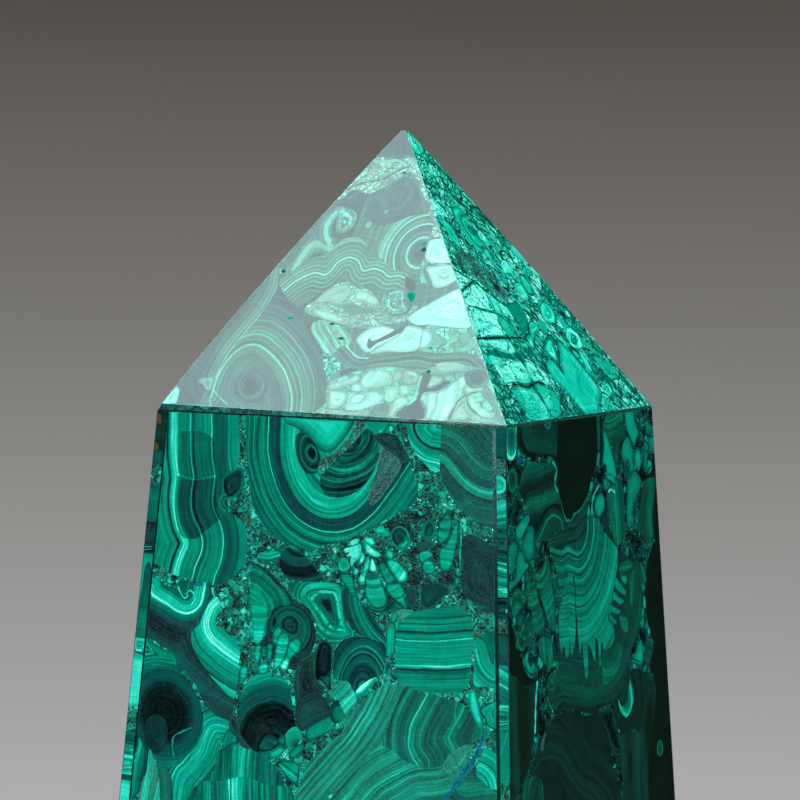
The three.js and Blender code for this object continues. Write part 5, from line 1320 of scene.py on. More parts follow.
RIGHT_EDGE = [
    course("dim", -1, 5.6, lighter=-0.12),
    course("granite", 5.6, 12.8, -1),
    Stone("half_ring", rings(33.9, 10.1), (32, 8.3), (33.9, 8.3), (35.2, 9), (35.6, 10.1), (35.2, 11.3),
          (33.9, 11.9), (32, 11.9)),
    course("flow", 13, 17.4, -1, field=along((31, 14), (38, 12))),
    vein("bright", 0.4, (32.8, 13.8), (34.6, 13.4), (36.4, 12.8), lighter=-0.1),
    vein("bright", 0.2, (33, 15), (34.8, 14.8), (36.4, 14.4), lighter=-0.25),
    course("deep", 17.4, 22.4, 1),
    chip("pale", (35, 17.8), (35.7, 18), (35.9, 18.9), (35.4, 19.1)),
    chip("rust", (35.7, 19.6), (36, 19.8), (36.1, 21), (35.8, 20.8)),
    course("fine", 22.4, 28.3, 1, field=along((31, 24), (38, 24.8))),
    course("flow", 28.3, 30, 0.4),
    vein("bright", 0.25, (33.8, 27.9), (35.6, 28.1), (37.6, 28.6), lighter=-0.05),
    course("deep", 30, 33.9),
    chip("bright", (36.4, 32), (36.9, 31.9), (37, 32.6), (36.5, 32.7), lighter=-0.1),
    course("granite", 33.9, 36.2),
    course("slate", 36.2, 41.7, 1, lighter=0.04),
    vein("dim", 0.25, (35.4, 36.6), (35.8, 38.6), (36.8, 40.6), (38, 41.4), lighter=0.06),
    vein("dim", 0.2, (36.2, 36.4), (36.6, 38.2), (37.4, 39.8), lighter=0.04),
    course("flow", 41.7, 49, 2.6, lighter=-0.08, field=along((31, 41), (39, 45))),
    course("fine", 49, 54, -1.6, lighter=0.04),
    course("mid", 54, 66, -2, lighter=-0.05),
    vein("bright", 0.3, (37.8, 53.6), (37.2, 56), (36.2, 59), lighter=-0.15),
    course("ground", 62.8, 68),
]
SLAB_EDGES = {"left": LEFT_EDGE, "right": RIGHT_EDGE}

# The loose fragments elsewhere: their looks and their spacing
BLOCK_LOOKS = ["bold", "fine", "fine", "deep", "feather"]
FLANK_LOOKS = ["deep", "deep", "fine", "feather"]
CAP_LOOKS = ["cracked", "fine", "bold"]
BLOCK_SPACING = 17
FLANK_SPACING = 15
EDGE_SPACING = 9
CAP_SPACING = 13


# Materials
BAND_SHIFT = 7.3  # how far a fragment's seed moves its bands
PALE_STONE_SOFTER = 0.08
STONE_IOR = 1.72
PALETTE = [
    (0.0, "040d0d"), (0.1, "0b2325"), (0.2, "0c3a3b"), (0.3, "084e4a"), (0.42, "036351"),
    (0.55, "03826b"), (0.68, "049d85"), (0.8, "0ac3a8"), (0.9, "38e0c9"), (1.0, "84f6e8"),
]
DARK_STONE = "0c2619"  # what the darkest stone turns to where a look is brown
MINT_WHITE = "fff6fa"
SILVER = "7c9fa0"
RUST = "5c3a2a"


def srgb(code):
    """A colour from its six hex digits, as linear values."""
    values = [int(code[i : i + 2], 16) / 255 for i in (0, 2, 4)]
    return (*((v / 12.92 if v <= 0.04045 else ((v + 0.055) / 1.055) ** 2.4) for v in values), 1)


def node(tree, kind, inputs=None, **settings):
    """Adds a node. An input given as a socket is linked, and any other is a constant."""
    made = tree.nodes.new("ShaderNode" + kind)
    for name, value in settings.items():
        setattr(made, name, value)
    for name, value in (inputs or {}).items():
        if isinstance(value, bpy.types.NodeSocket):
            tree.links.new(value, made.inputs[name])
        else:
            made.inputs[name].default_value = value
    return made


def maths(tree, operation, *values, clamp=False):
    made = node(tree, "Math", dict(enumerate(values)), operation=operation, use_clamp=clamp)
    return made.outputs[0]


def ramp(tree, factor, stops, smooth_steps=False):
    """A colour ramp from (place, grey level or hex colour) pairs."""
    assert len(stops) <= 32, stops
    made = node(tree, "ValToRGB", {"Fac": factor})
    made.color_ramp.interpolation = "EASE" if smooth_steps else "LINEAR"
    elements = made.color_ramp.elements
    while len(elements) < len(stops):
        elements.new(1)
    for element, (place, value) in zip(elements, stops):
        element.position = place
        element.color = srgb(value) if isinstance(value, str) else (value, value, value, 1)
    return made.outputs[0]


def new_group(name, inputs, outputs):
    tree = bpy.data.node_groups.new(name, "ShaderNodeTree")
    for label, default in inputs.items():
        socket = tree.interface.new_socket(label, in_out="INPUT", socket_type="NodeSocketFloat")
        socket.default_value = default
    for label, kind in outputs.items():
        tree.interface.new_socket(label, in_out="OUTPUT", socket_type="NodeSocket" + kind)
    return tree, tree.nodes.new("NodeGroupInput").outputs, tree.nodes.new("NodeGroupOutput").inputs


def use_group(tree, group, **inputs):
    made = tree.nodes.new("ShaderNodeGroup")
    made.node_tree = group
    for name, value in inputs.items():
        socket = made.inputs[name.replace("_", " ")]
        if isinstance(value, bpy.types.NodeSocket):
            tree.links.new(value, socket)
        else:
            socket.default_value = value
    return made.outputs


def millimetres(tree):
    place = node(tree, "TexCoord").outputs["Object"]
    return node(tree, "VectorMath", {0: place, "Scale": 1000}, operation="SCALE").outputs[0]


def signed(tree, value, amount):
    """A noise value from 0 to 1 as a shift of up to the amount each way."""
    centred = maths(tree, "SUBTRACT", value, 0.5)
    return maths(tree, "MULTIPLY", centred, amount)


def growth_group():
    """Reads a fragment's maps: how far across its bands a point lies, with the waver of real growth."""
    tree, given, gives = new_group(
        "growth",
        {"Wobble": 0.6, "Crinkle": 0.15, "Line Scale": 1.5, "Fibre Scale": 2.2},
        {
            "Distance": "Float", "Lines": "Float", "Fibre": "Float", "Lighter": "Float", "Edge": "Float",
            "Seed": "Float", "Along": "Float",
        },
    )
    maps = {}
    for name in UV_MAPS:
        uv = node(tree, "UVMap", uv_map=name).outputs[0]
        maps[name] = node(tree, "SeparateXYZ", {0: uv}).outputs
    across, run = maps["bands"]["X"], maps["bands"]["Y"]
    lighter, seed = maps["marks"]["X"], maps["marks"]["Y"]
    place = millimetres(tree)
    broad = node(tree, "TexNoise", {"Vector": place, "Scale": 0.16, "Detail": 2.0}).outputs[0]
    small = node(tree, "TexNoise", {"Vector": place, "Scale": 0.8, "Detail": 3.0}).outputs[0]
    broad = maths(tree, "MULTIPLY", signed(tree, broad, 2.0), given["Wobble"])
    small = maths(tree, "MULTIPLY", signed(tree, small, 2.0), given["Crinkle"])
    distance = maths(tree, "ADD", maths(tree, "ADD", across, broad), small)
    shifted = maths(tree, "MULTIPLY_ADD", seed, BAND_SHIFT, distance)
    line_across = maths(tree, "MULTIPLY", shifted, given["Line Scale"])
    line_along = maths(tree, "MULTIPLY", run, 0.06)
    line_place = node(tree, "CombineXYZ", {"X": line_across, "Y": line_along}).outputs[0]
    lines = node(
        tree, "TexNoise", {"Vector": line_place, "Scale": 1.0, "Detail": 3.0, "Roughness": 0.7},
        noise_dimensions="2D",
    ).outputs[0]
    light = node(tree, "MapRange", {"Value": lines, "From Min": 0.5, "From Max": 0.68}).outputs[0]
    dark = node(tree, "MapRange", {"Value": lines, "From Min": 0.48, "From Max": 0.32}).outputs[0]
    lines = maths(tree, "MULTIPLY_ADD", dark, -0.7, light)
    fibre_across = maths(tree, "MULTIPLY", distance, 0.3)
    fibre_along = maths(tree, "MULTIPLY", run, given["Fibre Scale"])
    fibre_place = node(tree, "CombineXYZ", {"X": fibre_across, "Y": fibre_along}).outputs[0]
    fibre = node(
        tree, "TexNoise", {"Vector": fibre_place, "Scale": 1.0, "Detail": 2.0}, noise_dimensions="2D"
    ).outputs[0]
    tree.links.new(distance, gives["Distance"])
    tree.links.new(lines, gives["Lines"])
    tree.links.new(signed(tree, fibre, 2.0), gives["Fibre"])
    tree.links.new(lighter, gives["Lighter"])
    tree.links.new(maps["rim"]["X"], gives["Edge"])
    tree.links.new(seed, gives["Seed"])
    tree.links.new(run, gives["Along"])
    return tree


def malachite_group():
    """The stone's colour at a tone from 0, nearly black, to 1, pale mint, with its fine grain."""
    tree, given, gives = new_group(
        "malachite",
        {"Tone": 0.5, "Grain": 0.05, "Grey": 0.0, "Brown": 0.0, "White": 0.0},
        {"Color": "Color", "Shade": "Float"},
    )
    place = millimetres(tree)
    grain = node(tree, "TexNoise", {"Vector": place, "Scale": 5.5, "Detail": 2.0}).outputs[0]
    cloud = node(tree, "TexNoise", {"Vector": place, "Scale": 0.35, "Detail": 2.0}).outputs[0]
    contrasted = maths(tree, "MULTIPLY_ADD", given["Tone"], 1.12, -0.054)
    speckled = maths(tree, "MULTIPLY", signed(tree, grain, 4.0), given["Grain"])
    shade = maths(tree, "ADD", contrasted, speckled)
    shade = maths(tree, "ADD", shade, signed(tree, cloud, 0.12), clamp=True)
    green = ramp(tree, shade, PALETTE)
    drift = node(tree, "TexNoise", {"Vector": place, "Scale": 0.09, "Detail": 1.0}).outputs[0]
    hue = node(tree, "MapRange", {"Value": drift, "To Min": 0.487, "To Max": 0.508}).outputs[0]
    green = node(tree, "HueSaturation", {"Hue": hue, "Color": green}).outputs[0]
    specks = node(tree, "TexNoise", {"Vector": place, "Scale": 4.2, "Detail": 1.0}).outputs[0]
    silver = node(
        tree, "MapRange", {"Value": specks, "From Min": 0.42, "From Max": 0.75, "To Max": given["Grey"]}
    ).outputs[0]
    dark = node(
        tree, "MapRange",
        {"Value": shade, "From Min": 0.25, "From Max": 0.75, "To Min": given["Brown"], "To Max": 0},
    )
    green = node(
        tree, "Mix", {"Factor": dark.outputs[0], "A": green, "B": srgb(DARK_STONE)}, data_type="RGBA"
    ).outputs["Result"]
    # Tones above 0.2 are mixed towards white. Where the cap's looks use it, this is paler stone and partly a
    # painted reflection: the whitish veil of the softbox that the cap's front slope mirrors.
    pale = node(tree, "MapRange", {"Value": shade, "From Min": 0.2, "To Max": given["White"]}).outputs[0]
    green = node(
        tree, "Mix", {"Factor": pale, "A": green, "B": srgb(MINT_WHITE)}, data_type="RGBA"
    ).outputs["Result"]
    grey = node(tree, "Mix", {"Factor": silver, "A": green, "B": srgb(SILVER)}, data_type="RGBA")
    tree.links.new(grey.outputs["Result"], gives["Color"])
    tree.links.new(shade, gives["Shade"])
    return tree


def crushed_group():
    """The ground between the fragments: dust, chips of several sizes and thin light veins."""
    tree, given, gives = new_group(
        "crushed",
        {"Chip Scale": 0.8, "Chips": 0.45, "Base": 0.4, "Speckle": 0.35},
        {"Tone": "Float", "Rust": "Float"},
    )
    place = millimetres(tree)
    cloud = node(tree, "TexNoise", {"Vector": place, "Scale": 0.3, "Detail": 3.0}).outputs[0]
    bend = node(tree, "TexNoise", {"Vector": place, "Scale": 0.9, "Detail": 2.0}).outputs["Color"]
    bent = node(tree, "VectorMath", {0: bend, "Scale": 1.6}, operation="SCALE").outputs[0]
    place = node(tree, "VectorMath", {0: place, 1: bent}, operation="ADD").outputs[0]
    grains = node(tree, "TexVoronoi", {"Vector": place, "Scale": 3.2})
    grain = node(tree, "SeparateXYZ", {0: grains.outputs["Color"]}).outputs
    tone = maths(tree, "ADD", signed(tree, cloud, 1.2), given["Base"])
    speckled = maths(tree, "MULTIPLY", signed(tree, grain["X"], 1.0), given["Speckle"])
    tone = maths(tree, "ADD", speckled, tone)
    glint = maths(tree, "GREATER_THAN", grain["Y"], 0.95)
    tone = maths(tree, "MULTIPLY_ADD", glint, 0.3, tone)
    for scale, width, light in ((0.45, 0.07, 0.25), (1.1, 0.05, -0.25)):
        border = node(
            tree, "TexVoronoi", {"Vector": place, "Scale": scale}, feature="DISTANCE_TO_EDGE"
        ).outputs["Distance"]
        reach = width * scale * 1.6
        thin = node(
            tree, "MapRange", {"Value": border, "From Max": reach, "To Min": light, "To Max": 0}
        ).outputs[0]
        tone = maths(tree, "ADD", tone, thin)
    chips = node(tree, "TexVoronoi", {"Vector": place, "Scale": given["Chip Scale"], "Randomness": 0.9})
    border = node(
        tree, "TexVoronoi", {"Vector": place, "Scale": given["Chip Scale"], "Randomness": 0.9},
        feature="DISTANCE_TO_EDGE",
    ).outputs["Distance"]
    kind = node(tree, "SeparateXYZ", {0: chips.outputs["Color"]}).outputs
    chip = maths(tree, "ADD", maths(tree, "ADD", signed(tree, kind["X"], 0.5), given["Base"]), 0.12)
    chip = maths(tree, "MULTIPLY_ADD", border, 0.4, chip)
    big = maths(tree, "LESS_THAN", kind["Y"], given["Chips"])
    inside = node(tree, "MapRange", {"Value": border, "From Min": 0.04, "From Max": 0.1}).outputs[0]
    big = maths(tree, "MULTIPLY", big, inside)
    tone = node(tree, "Mix", {"Factor": big, "A": tone, "B": chip}, data_type="FLOAT")
    tree.links.new(tone.outputs["Result"], gives["Tone"])
    tree.links.new(maths(tree, "GREATER_THAN", grain["Z"], 0.996), gives["Rust"])
    return tree


def cracks_group():
    """A net of veins in broken stone, as a mask, with a random value for each cell of it and the distance
    in from the cell's border. With Flow at 1 the cells are drawn out along the fragment's bands."""
    tree, given, gives = new_group(
        "cracks",
        {"Cell Scale": 0.25, "Vein Width": 0.3, "Across": 0.0, "Along": 0.0, "Flow": 0.0},
        {"Vein": "Float", "Cell": "Float", "Inward": "Float"},
    )
    along = maths(tree, "MULTIPLY", given["Along"], 0.5)
    drawn = node(tree, "CombineXYZ", {"X": given["Across"], "Y": along}).outputs[0]
    place = node(
        tree, "Mix", {"Factor": given["Flow"], "A": millimetres(tree), "B": drawn}, data_type="VECTOR"
    ).outputs["Result"]
    for scale, reach in ((0.22, 5.0), (1.1, 0.9)):
        bend = node(tree, "TexNoise", {"Vector": place, "Scale": scale, "Detail": 1.0}).outputs["Color"]
        bent = node(tree, "VectorMath", {0: bend, "Scale": reach}, operation="SCALE").outputs[0]
        place = node(tree, "VectorMath", {0: place, 1: bent}, operation="ADD").outputs[0]
    veins = []
    thick = node(tree, "TexNoise", {"Vector": place, "Scale": 0.3}).outputs[0]
    thick = maths(tree, "MULTIPLY", thick, given["Vein Width"])
    for times, share in ((1.0, 1.0), (2.7, 0.45)):
        scale = maths(tree, "MULTIPLY", given["Cell Scale"], times)
        border = node(
            tree, "TexVoronoi", {"Vector": place, "Scale": scale}, feature="DISTANCE_TO_EDGE"
        ).outputs["Distance"]
        width = maths(tree, "MULTIPLY", thick, share)
        inner = maths(tree, "DIVIDE", border, scale)
        vein_mask = node(
            tree, "MapRange", {"Value": inner, "From Max": width, "To Min": share**0.5, "To Max": 0},
            interpolation_type="SMOOTHSTEP",
        )
        veins.append(vein_mask.outputs[0])
        if share == 1:
            tree.links.new(inner, gives["Inward"])
    cell = node(tree, "TexVoronoi", {"Vector": place, "Scale": given["Cell Scale"]}).outputs["Color"]
    tree.links.new(maths(tree, "MAXIMUM", *veins), gives["Vein"])
    tree.links.new(node(tree, "SeparateXYZ", {0: cell}).outputs["X"], gives["Cell"])
    return tree


class Quarry:
    """Builds the stone materials, each from the shared groups with its own values."""

    def __init__(self):
        self.growth = growth_group()
        self.malachite = malachite_group()
        self.crushed = crushed_group()
        self.cracks = cracks_group()
        self.materials = {}

    def start(self, name):
        material = bpy.data.materials.new(name)
        material.use_nodes = True
        tree = material.node_tree
        self.materials[name] = material
        return tree, tree.nodes["Principled BSDF"]

    def finish(self, tree, shader, colour, shade, gloss, relief=0.0, height=None):
        """Joins the colour to the shader. Pale stone is a little softer than dark, so it shines less."""
        tree.links.new(colour, shader.inputs["Base Color"])
        soft = node(tree, "MapRange", {"Value": shade, "To Min": gloss, "To Max": gloss + PALE_STONE_SOFTER})
        tree.links.new(soft.outputs[0], shader.inputs["Roughness"])
        shader.inputs["IOR"].default_value = STONE_IOR
        if gloss > 0.5:
            shader.inputs["Specular IOR Level"].default_value = 0.04
        if relief:
            bump = node(tree, "Bump", {"Height": height, "Strength": relief, "Distance": 0.0001})
            tree.links.new(bump.outputs[0], shader.inputs["Normal"])

    def rimmed(self, tree, tone, edge, rim, reach):
        """Shifts the tone near a fragment's outline."""
        if not rim:
            return tone
        near = node(tree, "MapRange", {"Value": edge, "From Max": reach, "To Min": rim, "To Max": 0})
        return maths(tree, "ADD", tone, near.outputs[0])

    def banded(self, name, bands, thin=(), wobble=0.5, crinkle=0.1, lines=0.12, line_scale=1.6, fibre=0.05,
               rim=0.0, repeat=False, grain=0.02, grey=0.0, brown=0.0, white_and_sheen=0.0, tint=None, gloss=0.09):
        """bands lists places across the growth, in millimetres, with the tone there, and thin lists the
        lines on them, as (place, tone, width)."""
        tree, shader = self.start(name)
        read = use_group(tree, self.growth, Wobble=wobble, Crinkle=crinkle, Line_Scale=line_scale)
        first, last = bands[0][0], bands[-1][0]
        distance = read["Distance"]
        if repeat:
            moved = maths(tree, "MULTIPLY_ADD", read["Seed"], BAND_SHIFT, distance)
            distance = maths(tree, "PINGPONG", moved, last)
        share = node(tree, "MapRange", {"Value": distance, "From Min": first, "From Max": last}).outputs[0]
        tone = ramp(tree, share, [((place - first) / (last - first), tone) for place, tone in bands])
        if thin:
            shifts = rules(bands, thin)
            stops = [((place - first) / (last - first), 0.5 + shift / 2) for place, shift in shifts]
            shift = signed(tree, ramp(tree, share, stops), 2.0)
            tone = maths(tree, "ADD", tone, shift)
        tone = maths(tree, "MULTIPLY_ADD", read["Lines"], lines, tone)
        tone = maths(tree, "MULTIPLY_ADD", read["Fibre"], fibre, tone)
        tone = maths(tree, "ADD", tone, read["Lighter"])
        tone = self.rimmed(tree, tone, read["Edge"], rim, 0.45)
        stone = use_group(tree, self.malachite, Tone=tone, Grain=grain, Grey=grey, Brown=brown, White=white_and_sheen)
        colour = stone["Color"]
        if tint:
            mixed = node(tree, "Mix", {"Factor": 0.75, "A": colour, "B": srgb(tint)}, data_type="RGBA")
            colour = mixed.outputs["Result"]
        self.finish(tree, shader, colour, stone["Shade"], gloss)

    def cracked(self, name, cell_scale, vein_width, pale, dark, lines=0.1, spread=0.3, rings=0.0, rim=0.0,
                white_and_sheen=0.0, flow=False, gloss=0.1):
        """Pale cells parted by a net of dark veins, with finer cracks inside the cells. spread is how much
        the cells differ, and rings how strong the faint bands inside them are."""
        tree, shader = self.start(name)
        read = use_group(tree, self.growth, Wobble=0.8, Crinkle=0.3, Line_Scale=1.6)
        net = use_group(
            tree, self.cracks, Cell_Scale=cell_scale, Vein_Width=vein_width, Across=read["Distance"],
            Along=read["Along"], Flow=float(flow),
        )
        tone = maths(tree, "ADD", signed(tree, net["Cell"], spread), pale)
        tone = maths(tree, "MULTIPLY_ADD", read["Lines"], lines, tone)
        tone = maths(tree, "ADD", tone, read["Lighter"])
        if rings:
            wave = maths(tree, "SINE", maths(tree, "MULTIPLY", net["Inward"], 9.0))
            tone = maths(tree, "MULTIPLY_ADD", wave, rings, tone)
        tone = self.rimmed(tree, tone, read["Edge"], rim, 0.3)
        mixed = node(tree, "Mix", {"Factor": net["Vein"], "A": tone, "B": dark}, data_type="FLOAT")
        tone = mixed.outputs["Result"]
        stone = use_group(tree, self.malachite, Tone=tone, Grain=0.03, Grey=0.03, White=white_and_sheen)
        self.finish(tree, shader, stone["Color"], stone["Shade"], gloss)

    def resin(self, name, shades, axis, low, high, gloss=0.5):
        """Glue mixed with stone dust. Its colour changes along one axis, between two places in metres."""
        tree, shader = self.start(name)
        place = node(tree, "TexCoord").outputs["Object"]
        noise = node(tree, "TexNoise", {"Vector": place, "Scale": 2200.0, "Detail": 3.0}).outputs[0]
        run = node(tree, "SeparateXYZ", {0: place}).outputs[axis]
        share = node(tree, "MapRange", {"Value": run, "From Min": low, "From Max": high}).outputs[0]
        share = maths(tree, "ADD", share, signed(tree, noise, 0.9))
        tree.links.new(ramp(tree, share, shades), shader.inputs["Base Color"])
        shader.inputs["Roughness"].default_value = gloss
        shader.inputs["Specular IOR Level"].default_value = 0.03

    def ground(self, name, chip_scale, chips, base, speckle, grey=0.1):
        """Crushed stone, with rust and the odd silver grain."""
        tree, shader = self.start(name)
        read = use_group(
            tree, self.crushed, Chip_Scale=chip_scale, Chips=chips, Base=base, Speckle=speckle
        )
        stone = use_group(tree, self.malachite, Tone=read["Tone"], Grain=0.03, Grey=grey)
        rust = node(
            tree, "Mix", {"Factor": read["Rust"], "A": stone["Color"], "B": srgb(RUST)}, data_type="RGBA"
        )
        self.finish(tree, shader, rust.outputs["Result"], stone["Shade"], 0.12, 0.12, read["Tone"])


def rules(bands, lines):
    """Thin lines, given as (place, tone, width), as shifts of the broad bands under them."""
    places = [place for place, _ in bands]
    tones = [tone for _, tone in bands]
    shifts = [
        (place, tone - float(np.interp(place, places, tones)), width * 0.75) for place, tone, width in lines
    ]
    stops = {places[0]: 0, places[-1]: 0}
    for place, _, reach in shifts:
        for stop in (place - reach, place, place + reach):
            stops[stop] = sum(shift * max(0, 1 - abs(stop - at) / wide) for at, shift, wide in shifts)
    return sorted(stops.items())


